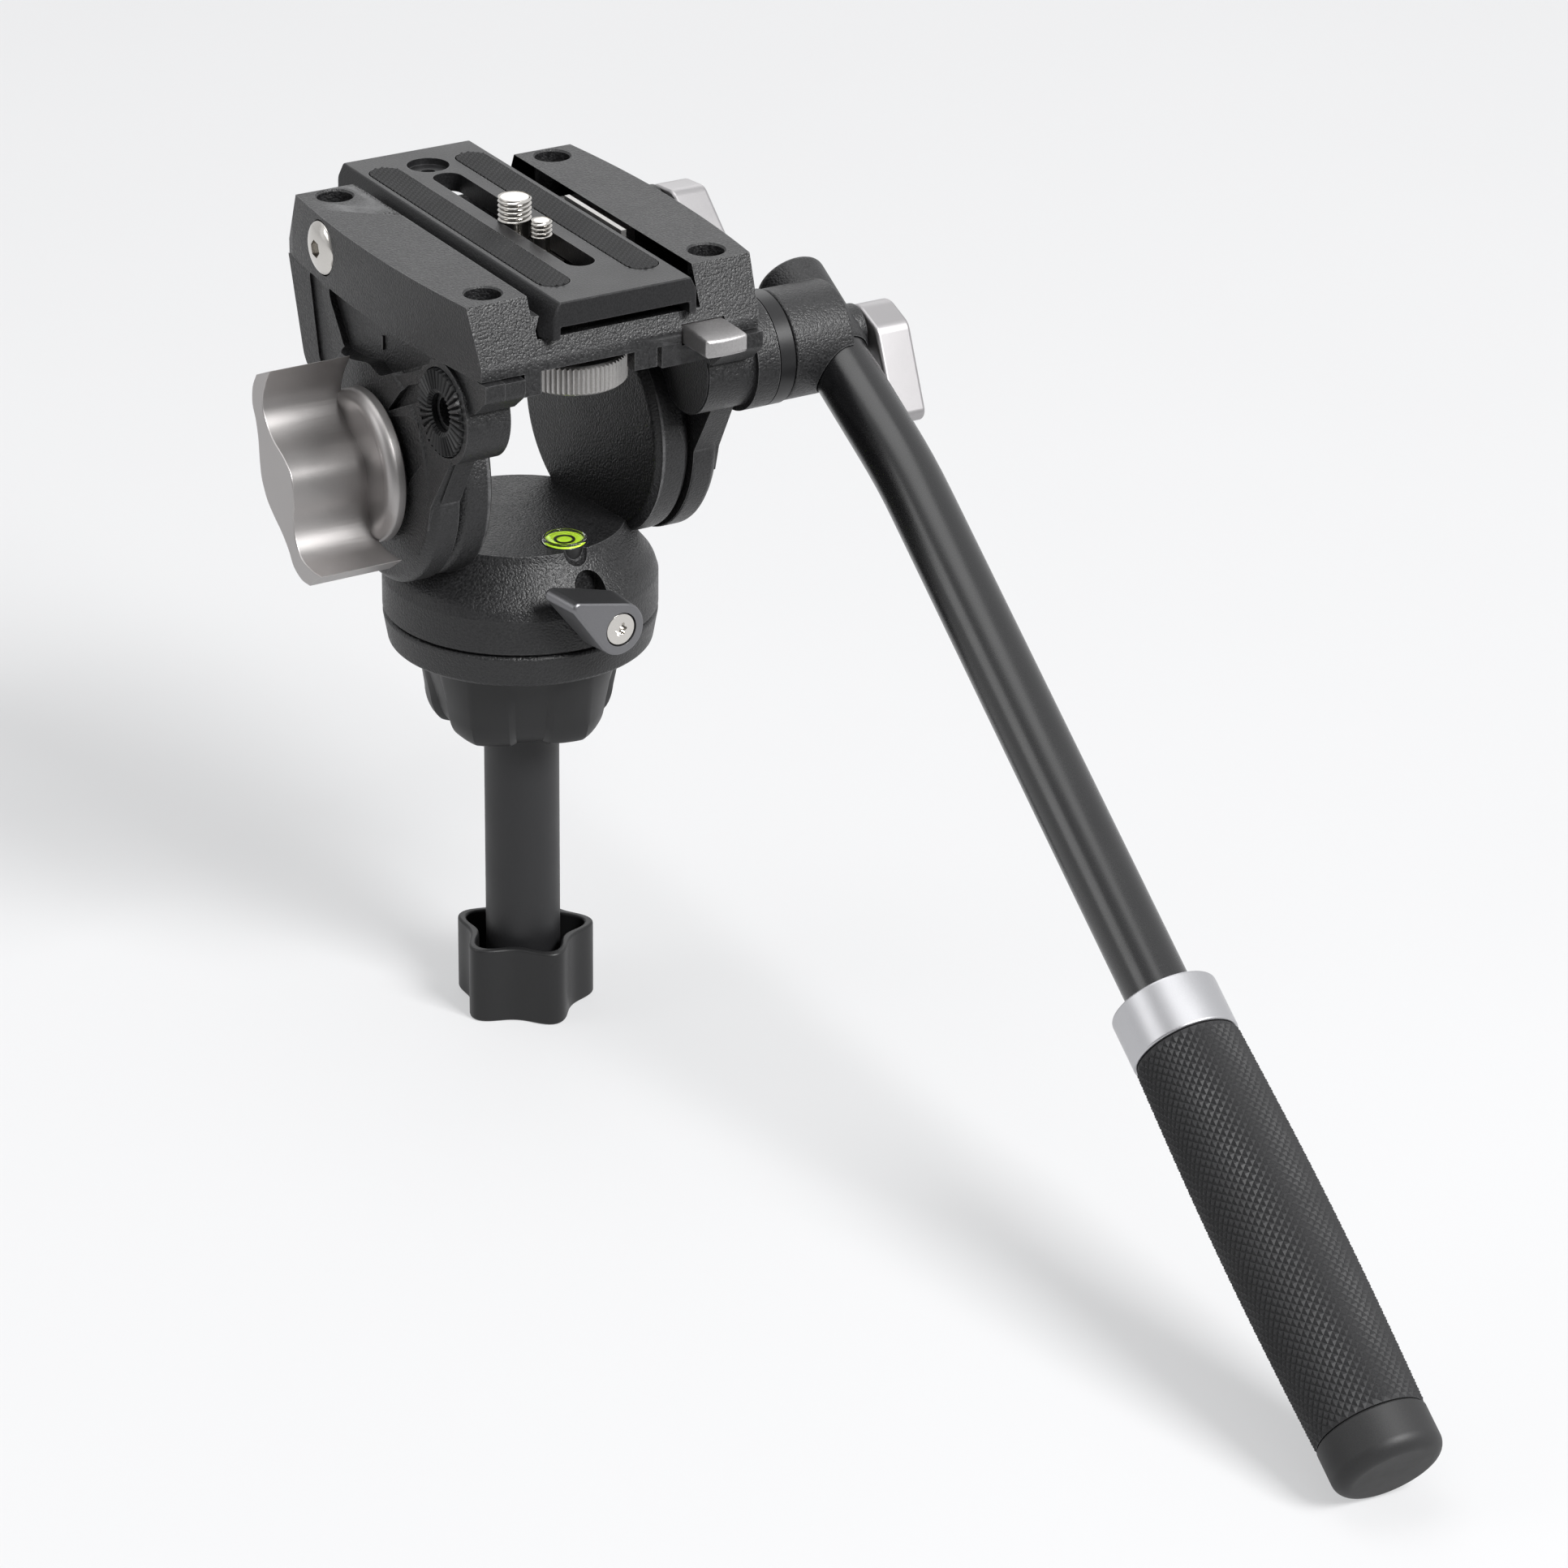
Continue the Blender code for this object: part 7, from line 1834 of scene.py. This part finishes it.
@dataclass
class PanBar:
    """Bent bar with its socket, ferrule, knurled grip and end cap."""

    origin: Triple = (74.8, -38.0, 204.3)
    dip: float = 28.9
    lower_dip: float = 32.2
    splay: float = 3.57
    straight: float = 40.8
    bend_radius: float = 253.0
    radius: float = 9.0
    bore: float = 7.4
    start: float = -15.0
    end: float = 346.0
    sleeve_radius: float = 10.2
    sleeve_back: float = -21.0
    sleeve_front: float = 9.5
    hub_radius: float = 15.6
    hub_low: float = 57.6
    hub_high: float = 76.3
    seat_radius: float = 7.0
    seat_high: float = 85.6
    bolt_bore: float = 4.5
    ferrule_start: float = 226.0
    ferrule_length: float = 15.0
    ferrule_radius: float = 14.7
    grip_start: float = 241.3
    grip_length: float = 113.0
    grip_radii: Triple = (14.6, 15.9, 15.1)
    columns: int = 74
    rows: int = 88
    stud: float = 0.55
    cap_start: float = 354.6
    cap_length: float = 13.05
    cap_radius: float = 15.0
    cap_corner: float = 4.0
    plug_radius: float = 7.1
    plug_length: float = 16.3

    def ways(self) -> tuple[Vector, Vector]:
        """Return the directions of the bar's first and last straights.

        Returns:
            Both directions.
        """
        dip, low, splay = (radians(a) for a in (self.dip, self.lower_dip, self.splay))
        first = Vector((0, -cos(dip), -sin(dip)))
        last = Vector((-sin(splay), -cos(splay) * cos(low), -cos(splay) * sin(low)))
        return first, last

    def spot(self, along: float) -> Vector:
        """Return the point of the centre line at a distance from the clamp axis.

        Args:
            along: The distance.

        Returns:
            The point.
        """
        first, last = self.ways()
        inward = (last - first * first.dot(last)).normalized()
        bend = self.bend_radius * first.angle(last)
        turned = min(max(along - self.straight, 0), bend) / self.bend_radius
        return (Vector(self.origin) + first * (min(along, self.straight)
                                               + self.bend_radius * sin(turned))
                + inward * (self.bend_radius * (1 - cos(turned)))
                + last * max(along - self.straight - bend, 0))

    def place(self, along: float) -> Matrix:
        """Return the placement at a distance along the bar, with local Z to its end.

        Args:
            along: The distance.

        Returns:
            The placement.
        """
        ahead = self.spot(along + 1) - self.spot(along)
        turn = ahead.to_track_quat("Z", "Y").to_matrix().to_4x4()
        return Matrix.Translation(self.spot(along) * MM) @ turn

    def bent(self, radius: float, bore: float, start: float, end: float) -> Piece:
        """Sweep a tube along the bar.

        Args:
            radius: Outer radius.
            bore: Inner radius, or 0 for a solid rod.
            start: First distance along the bar.
            end: Last distance.

        Returns:
            The swept piece.
        """
        length = end - start
        if bore:
            steps = [(bore, 0)] + [(radius, length * i / 60) for i in range(61)]
            steps += [(bore, length * (60 - i) / 60) for i in range(61)]
        else:
            steps = [(0, 0)] + [(radius, length * i / 60) for i in range(61)] + [(0, length)]
        piece = lathe(steps, Turn.UP.at(), 64)

        def carried(point: Vector) -> Vector:
            """Carry a straight tube's point to the bent bar."""
            return self.place(start + point.z) @ (Vector((point.x, point.y, 0)) * MM) / MM

        return moved(piece, carried)

    def build(self) -> None:
        """Build the bar from its socket to its end cap."""
        self.socket()
        tube = self.bent(self.radius, self.bore, self.start, self.end)
        combine(tube, rod(self.bolt_bore, self.hub_low, self.seat_high,
                          Turn.RIGHT.at(y=self.origin[1], z=self.origin[2])))
        finished(tube, "bent_tube", "pan_bar", TUBE, "handle_tube")
        ferrule = lathe(ring_profile(self.ferrule_radius, self.radius + 0.3, 0,
                                     self.ferrule_length, 0.7), self.place(self.ferrule_start), 96)
        finished(ferrule, "silver_ferrule", "pan_bar", FERRULE, "grip_ferrule")
        self.grip()
        self.cap()

    def socket(self) -> None:
        """Build the sleeve with its hub and lever seat."""
        sleeve = lathe(eased([(0, self.sleeve_front - self.sleeve_back),
                              (self.sleeve_radius, self.sleeve_front - self.sleeve_back),
                              (self.sleeve_radius, 0), (0, 0)], 2.0, 5, closed=False),
                       self.place(self.sleeve_back), 96)
        hub_place = Turn.RIGHT.at(y=self.origin[1], z=self.origin[2])
        hub = lathe(eased([(0, self.hub_high), (self.hub_radius, self.hub_high),
                           (self.hub_radius, self.hub_low), (0, self.hub_low)], 1.0, 4,
                          closed=False), hub_place, 120)
        combine(sleeve, hub, Cut.ADD)
        seat = lathe(eased([(0, self.seat_high), (self.seat_radius, self.seat_high),
                            (self.seat_radius, self.hub_high - 2), (0, self.hub_high - 2)], 0.7, 3,
                           closed=False), hub_place, 72)
        combine(sleeve, seat, Cut.ADD)
        mouth = rod(self.radius + 0.3, 0, self.hub_radius + 17.3, self.place(self.start - 0.3), 64)
        combine(sleeve, mouth)
        combine(sleeve, rod(self.bolt_bore, self.hub_low - 2, self.seat_high + 2, hub_place))
        finished(sleeve, "clamp_socket", "pan_bar", SAND_PAINT, "handle_socket")

    def swell(self, share: float) -> float:
        """Return the grip's radius at a share of its length."""
        first, middle, last = self.grip_radii
        return first + (last - first) * share + (middle - (first + last) / 2) * sin(pi * share)

    def grip(self) -> None:
        """Build the grip as a grid with raised diamonds, with a plain bore."""
        low = self.radius + 0.3
        rows = [(low, 0)]
        rows += [(self.swell(i / self.rows) - self.stud, self.grip_length * i / self.rows)
                 for i in range(self.rows + 1)]
        rows += [(low, self.grip_length), (low, 0)]
        piece = lathe(rows, Turn.UP.at(), self.columns)
        pitch = self.grip_length / self.rows
        inner = low + 1
        lows = []
        for vertex in piece.data.vertices:
            spot = vertex.co / MM
            radius = hypot(spot.x, spot.y)
            if radius < inner:
                continue
            row = round(spot.z / pitch)
            column = round(atan2(spot.y, spot.x) / (2 * pi) * self.columns)
            if (row + column) % 2 and 0 < row < self.rows:
                factor = (radius + self.stud) / radius
                vertex.co = Vector((spot.x * factor, spot.y * factor, spot.z)) * MM
            else:
                lows.append(vertex.index)
        linked(piece, lows)
        set_at(piece, self.place(self.grip_start))
        finished(piece, "knurled_grip", "pan_bar", RUBBER, "grip", smooth=12)

    def cap(self) -> None:
        """Turn the end cap with its plug."""
        corner = arc((self.cap_radius - self.cap_corner, self.cap_length - self.cap_corner),
                     self.cap_corner, 0, 90, 10)
        profile = [(0, -self.plug_length), (self.plug_radius, -self.plug_length),
                   (self.plug_radius, 0), (self.cap_radius - 0.5, 0),
                   (self.cap_radius, 0.5)] + corner + [(0, self.cap_length)]
        cap = lathe(profile, self.place(self.cap_start), 96)
        finished(cap, "grip_end_cap", "pan_bar", CAP_RUBBER, "end_cap")


@dataclass
class BarClamp:
    """Lever that tightens the pan bar on its rosette."""

    x: float = 86.1
    y: float = -38.0
    z: float = 204.3

    def build(self) -> None:
        """Build the lever."""
        lever = SmallLever(bore=4.3).build(Turn.RIGHT.at(x=self.x, y=self.y, z=self.z), 0)
        finished(lever, "clamp_handle", "bar_clamp", CLAMP_METAL, "clamp_lever")


@dataclass
class CameraPlate:
    """Sliding plate with its rubber pads and two camera screws."""

    top_half: float = 20.0
    base_half: float = 24.2
    low: float = 227.9
    foot: float = 229.9
    high: float = 238.5
    front: float = -60.4
    back: float = 65.6
    corner_long: float = 5.6
    corner_wide: float = 2.6
    slot_half: float = 4.3
    slot_front: float = -39.0
    slot_back: float = 44.6
    pad_x: float = 13.6
    pad_width: float = 9.2
    pad_front: float = -49.1
    pad_back: float = 56.3
    pad_low: float = 237.5
    pad_high: float = 239.0
    diamond: float = 2.1
    relief: float = 0.5
    inner_half: float = 19.6
    hollow: float = 3.5
    carriage_half: float = 7.5
    carriage_high: float = 233.1
    catch_room: tuple = ((12.5, -40.0, 225), (17.5, 36.0, 233.1))
    hole_y: float = 52.4
    hole_radius: float = 6.0
    hole_bore: float = 2.1

    def build(self) -> None:
        """Build the plate, the pads and the screws."""
        half = [(self.top_half, self.high), (self.base_half, self.foot),
                (self.base_half, self.low),
                (self.inner_half, self.low), (self.inner_half, self.low + self.hollow)]
        section = half + [(-x, z) for x, z in reversed(half)]
        plate = prism(section, -self.back, -self.front, Turn.FRONT.at())
        wide, narrow = self.base_half + 0.3, self.base_half - self.corner_wide
        plan = [(narrow, self.front), (wide, self.front + self.corner_long),
                (wide, self.back - self.corner_long), (narrow, self.back), (-narrow, self.back),
                (-wide, self.back - self.corner_long), (-wide, self.front + self.corner_long),
                (-narrow, self.front)]
        combine(plate, prism(plan, 220, 245, Turn.UP.at()), Cut.KEEP)
        bevelled(plate, 0.55, 3, 20)
        slot = (arc((0, self.slot_back - self.slot_half), self.slot_half, 0, 180, 16)
                + arc((0, self.slot_front + self.slot_half), self.slot_half, 180, 360, 16))
        combine(plate, prism(slot, 220, 245, Turn.UP.at()))
        combine(plate, block((-self.carriage_half, self.slot_front - 3.2, 225),
                             (self.carriage_half, self.slot_back + 3.2, self.carriage_high)))
        combine(plate, block(*self.catch_room))
        bore = Turn.UP.at(y=self.hole_y)
        combine(plate, rod(self.hole_radius, self.high - 2, self.high + 2, bore, 64))
        combine(plate, rod(self.hole_bore, 220, self.high, bore, 32))
        for side in (-1, 1):
            combine(plate, prism(self.pad_plan(side, 0.3), self.pad_low - 0.3, self.high + 3,
                                 Turn.UP.at()))
        finished(plate, "camera_plate_casting", "plate", PLATE_PAINT, "camera_plate", smooth=26)
        for side, word in ((-1, "left"), (1, "right")):
            self.pad(side, word)
        CameraScrew(1.5, 4.76, 3.8, 6.7, 1.34).build("large")
        CameraScrew(-13.8, 3.0, 2.3, 4.8, 1.2).build("small")

    def pad_plan(self, side: int, room: float) -> Outline:
        """Return a pad's plan with room round it.

        Args:
            side: -1 for the left, 1 for the right.
            room: Width of the room.

        Returns:
            The outline.
        """
        half = self.pad_width / 2 + room
        x = side * self.pad_x
        return (arc((x, self.pad_back + room - half), half, 0, 180, 12)
                + arc((x, self.pad_front - room + half), half, 180, 360, 12))

    def pad(self, side: int, word: str) -> None:
        """Build a pad as a grid with raised diamonds, trimmed to its plan.

        Args:
            side: -1 for the left, 1 for the right.
            word: Name of the side.
        """
        step = self.diamond / 2
        across = int(self.pad_width / step) + 4
        along = int((self.pad_back - self.pad_front) / step) + 4
        put_down()
        bpy.ops.mesh.primitive_grid_add(x_subdivisions=across, y_subdivisions=along, size=1,
                                        location=(0, 0, 0))
        grid = bpy.context.active_object
        centre = (self.pad_front + self.pad_back) / 2
        lows = []
        for vertex in grid.data.vertices:
            column = round((vertex.co.x + 0.5) * across)
            row = round((vertex.co.y + 0.5) * along)
            low = (row + column) % 2 == 0
            height = self.pad_high - (self.relief if low else 0)
            vertex.co = Vector((side * self.pad_x + (column - across / 2) * step,
                                centre + (row - along / 2) * step, height)) * MM
            if low:
                lows.append(vertex.index)
        linked(grid, lows)
        bpy.ops.mesh.select_all(action="SELECT")
        bpy.ops.mesh.extrude_region_move(TRANSFORM_OT_translate={"value": (0, 0, -0.9 * MM)})
        face_out()
        put_down()
        combine(grid, prism(self.pad_plan(side, 0), self.pad_low, 241, Turn.UP.at()), Cut.KEEP)
        finished(grid, word + "_diamond_pad", "plate", PAD_RUBBER, word + "_pad", smooth=8)


@dataclass
class CameraScrew:
    """Camera screw with a true thread.

    Attributes:
        y: Place along the plate.
        thread: Radius over the thread.
        shank: Radius of its shank.
        rise: Height above the plate.
        pitch: Pitch of the thread.
    """

    y: float
    thread: float
    shank: float
    rise: float
    pitch: float
    depth: float = 0.5
    head_radius: float = 6.6
    plate_top: float = 238.5
    head_top: float = 231.3
    head_low: float = 229.0

    def build(self, word: str) -> None:
        """Build the screw: a wound thread on a turned core.

        Args:
            word: Which of the two screws it is.
        """
        top = self.plate_top + self.rise
        start = self.plate_top + 0.3
        core = self.thread - self.depth
        turns = int((top - start) / self.pitch) + 2
        points = [Vector((core - 0.3, 0, 0)), Vector((core, 0, 0.08 * self.pitch)),
                  Vector((self.thread - 0.06, 0, 0.42 * self.pitch)),
                  Vector((self.thread - 0.06, 0, 0.58 * self.pitch)),
                  Vector((core, 0, 0.92 * self.pitch)), Vector((core - 0.3, 0, self.pitch))]
        trace([p + Vector((0, 0, start - self.pitch)) for p in points], closed=False)
        bpy.ops.object.mode_set(mode="OBJECT")
        thread = bpy.context.active_object
        bpy.ops.object.modifier_add(type="SCREW")
        winding = thread.modifiers[-1]
        winding.steps = 40
        winding.render_steps = 40
        winding.iterations = turns
        winding.screw_offset = self.pitch * MM
        winding.use_merge_vertices = True
        winding.merge_threshold = 0.001 * MM
        bpy.ops.object.modifier_apply(modifier=winding.name)
        edit(thread)
        bpy.ops.mesh.remove_doubles(threshold=0.003 * MM)
        for height, above in ((top, True), (start, False)):
            bpy.ops.mesh.select_all(action="SELECT")
            bpy.ops.mesh.bisect(plane_co=(0, 0, height * MM), plane_no=(0, 0, 1),
                                clear_outer=above, clear_inner=not above, threshold=1e-7)
        face_out()
        settle(Turn.UP.at(y=self.y))
        profile = [(0, top), (core - 0.35, top), (core - 0.05, top - 0.35),
                   (core - 0.05, start + 0.3), (self.shank, start), (self.shank, self.head_top),
                   (self.head_radius - 0.3, self.head_top),
                   (self.head_radius, self.head_top - 0.3),
                   (self.head_radius, self.head_low + 0.3),
                   (self.head_radius - 0.3, self.head_low), (0, self.head_low)]
        screw = lathe(profile, Turn.UP.at(y=self.y), 64)
        take_up(screw)
        thread.select_set(True)
        bpy.ops.object.join()
        body = body_of(word + "_screw")
        finished(screw, word + "_camera_screw_threaded", body, STEEL, word + "_screw", smooth=35)


@dataclass
class InnerParts:
    """CAD parts that stay, inside the casings or hidden by their neighbours."""

    steel: tuple = ("pan_shaft", "tie_stud", "brake_drum", "pan_retaining_nut", "tube_nut",
                    "thrust_washer", "counterbalance_cartridge", "left_trunnion", "right_trunnion",
                    "pan_lock_spindle", "drag_spindle", "clamp_bolt", "large_screw_retainer",
                    "small_screw_retainer", "plate_lock_spindle", "wheel_spindle", "safety_catch")
    plastic: tuple = ("pan_drag_cartridge", "tilt_drag_cartridge")
    brass: tuple = ("left_tilt_bushing", "right_tilt_bushing", "pan_lock_pad")

    def build(self) -> None:
        """Give each its finish."""
        for names, finish in ((self.steel, STEEL), (self.plastic, PLASTIC), (self.brass, BRASS)):
            for name in names:
                for slot in frame["nodes"][name].material_slots:
                    slot.material = finish.material()
                LOG.info("part %s keeps its CAD shape", name)


@dataclass(frozen=True)
class Lamp:
    """A soft square lamp.

    Attributes:
        name: Its name.
        place: Its place in metres.
        size: Its side in metres.
        power: Its power in watts.
    """

    name: str
    place: Triple
    size: float
    power: float

    def hang(self, aim: Triple) -> None:
        """Hang the lamp.

        Args:
            aim: Point that it faces, in metres.
        """
        data = bpy.data.lights.new(self.name, "AREA")
        data.shape = "SQUARE"
        data.size = self.size
        data.energy = self.power
        lamp = bpy.data.objects.new(self.name, data)
        lamp.location = self.place
        way = Vector(aim) - Vector(self.place)
        lamp.rotation_euler = way.to_track_quat("-Z", "Y").to_euler()
        bpy.context.scene.collection.objects.link(lamp)


@dataclass
class Studio:
    """Pale floor and backdrop, soft lamps and the camera."""

    camera: Triple = (-721.6, -1340.1, 795.0)
    ahead: Triple = (0.4664, 0.7726, -0.4308)
    up: Triple = (0.2115, 0.3755, 0.9024)
    lens: float = 135.49
    floor_colour: Colour = (0.30, 0.30, 0.303)
    floor_glow: float = 0.505
    fill: float = 0.22
    white: float = 0.93
    dark_side: float = 0.22
    sheet: Colour = (0.985, 0.99, 1.0)
    sweep_front: float = -620
    sweep_bend: float = 2300
    sweep_radius: float = 600
    sweep_top: float = 2400
    sweep_half: float = 2900
    aim: Triple = (0, -0.08, 0.17)
    lamps: tuple[Lamp, ...] = (Lamp("top_lamp", (-0.15, 0.15, 1.95), 1.3, 9.5),
                               Lamp("back_lamp", (0.78, 1.22, 0.98), 1.0, 3),
                               Lamp("front_lamp", (0.735, -2.90, 2.75), 1.425, 232),
                               Lamp("left_lamp", (-1.45, 0.35, 0.95), 0.8, 3.8))

    def build(self) -> None:
        """Set the stage."""
        self.world()
        self.floor()
        for lamp in self.lamps:
            lamp.hang(self.aim)
        self.view()

    def world(self) -> None:
        """Light the world plainly, near white to the camera and darker behind it in reflections."""
        world = bpy.data.worlds.new("studio_world")
        bpy.context.scene.world = world
        world.use_nodes = True
        tree = world.node_tree
        back = tree.nodes["Background"]
        place = tree.nodes.new("ShaderNodeTexCoord")
        side = tree.nodes.new("ShaderNodeVectorMath")
        side.operation = "DOT_PRODUCT"
        side.inputs[1].default_value = (-self.ahead[0], -self.ahead[1], 0)
        tree.links.new(place.outputs["Generated"], side.inputs[0])
        shown = tree.nodes.new("ShaderNodeMapRange")
        shown.inputs["From Min"].default_value = -0.1
        shown.inputs["From Max"].default_value = 0.75
        shown.inputs["To Min"].default_value = self.white
        shown.inputs["To Max"].default_value = self.dark_side
        tree.links.new(side.outputs["Value"], shown.inputs["Value"])
        path = tree.nodes.new("ShaderNodeLightPath")
        gloss = tree.nodes.new("ShaderNodeMapRange")
        gloss.inputs["To Min"].default_value = self.fill
        tree.links.new(shown.outputs["Result"], gloss.inputs["To Max"])
        tree.links.new(path.outputs["Is Glossy Ray"], gloss.inputs["Value"])
        seen = tree.nodes.new("ShaderNodeMath")
        seen.operation = "MAXIMUM"
        tree.links.new(path.outputs["Is Camera Ray"], seen.inputs[0])
        tree.links.new(path.outputs["Is Transmission Ray"], seen.inputs[1])
        level = tree.nodes.new("ShaderNodeMapRange")
        tree.links.new(gloss.outputs["Result"], level.inputs["To Min"])
        level.inputs["To Max"].default_value = self.white
        tree.links.new(seen.outputs["Value"], level.inputs["Value"])
        tree.links.new(level.outputs["Result"], back.inputs["Strength"])
        back.inputs["Color"].default_value = (*self.sheet, 1)

    def floor(self) -> None:
        """Lay a sweep: a floor that curves up into a backdrop."""
        bend, radius, half = self.sweep_bend, self.sweep_radius, self.sweep_half
        sweep = ([(self.sweep_front, 0), (bend, 0)] + arc((bend, radius), radius, -90, 0, 16)[1:]
                 + [(bend + radius, self.sweep_top)])
        trace([Vector((-half, y, z)) for y, z in sweep], closed=False)
        bpy.ops.mesh.extrude_region_move(TRANSFORM_OT_translate={"value": (2 * half * MM, 0, 0)})
        bpy.ops.mesh.select_all(action="SELECT")
        bpy.ops.mesh.normals_make_consistent(inside=True)
        piece = settle(Turn.UP.at(z=-0.02))
        piece.name = "studio_sweep"
        board = Board("sweep_paper")
        cloud = board.noise(180, 2)
        low = tuple(c * 0.985 for c in self.floor_colour)
        colour = board.tint(board.spread(cloud, (0.3, 0.7), (0, 1)), low, self.floor_colour)
        board.join(colour, board.shader.inputs["Base Color"])
        path = board.add("ShaderNodeLightPath")
        seen = board.sums(path.outputs["Is Camera Ray"], path.outputs["Is Transmission Ray"],
                          "MAXIMUM")
        seen = board.sums(seen, path.outputs["Is Glossy Ray"], "MAXIMUM")
        board.join(board.spread(seen, (0, 1), (0, self.floor_glow)),
                   board.shader.inputs["Emission Strength"])
        board.fix(Roughness=0.9, Specular_IOR_Level=0.1, Emission_Color=(*self.sheet, 1))
        piece.data.materials.append(board.material)

    def view(self) -> None:
        """Set the camera."""
        data = bpy.data.cameras.new("photo_camera")
        data.lens = self.lens
        data.sensor_width = 36
        camera = bpy.data.objects.new("photo_camera", data)
        ahead, up = Vector(self.ahead), Vector(self.up)
        right = ahead.cross(up).normalized()
        up = right.cross(ahead).normalized()
        turn = Matrix((right, up, -ahead.normalized())).transposed().to_4x4()
        camera.matrix_world = Matrix.Translation(Vector(self.camera) * MM) @ turn
        bpy.context.scene.collection.objects.link(camera)
        bpy.context.scene.camera = camera
        bpy.context.scene.view_settings.view_transform = "Standard"


def main() -> None:
    """Build the sub-assemblies in order and light them."""
    logging.basicConfig(level=logging.INFO, format="%(name)s: %(message)s")
    pan_body = PanBody()
    for part in (TieDown(), HalfBall(), Base(), pan_body):
        part.build()
    PanLock().build(pan_body.lock_place())
    for part in (Cheeks(), Platform(), PlateLock(), Safety(), Thumbwheel(), DragKnob(), PanBar(),
                 BarClamp(), CameraPlate(), InnerParts(), Studio()):
        part.build()


if __name__ == "__main__":
    main()
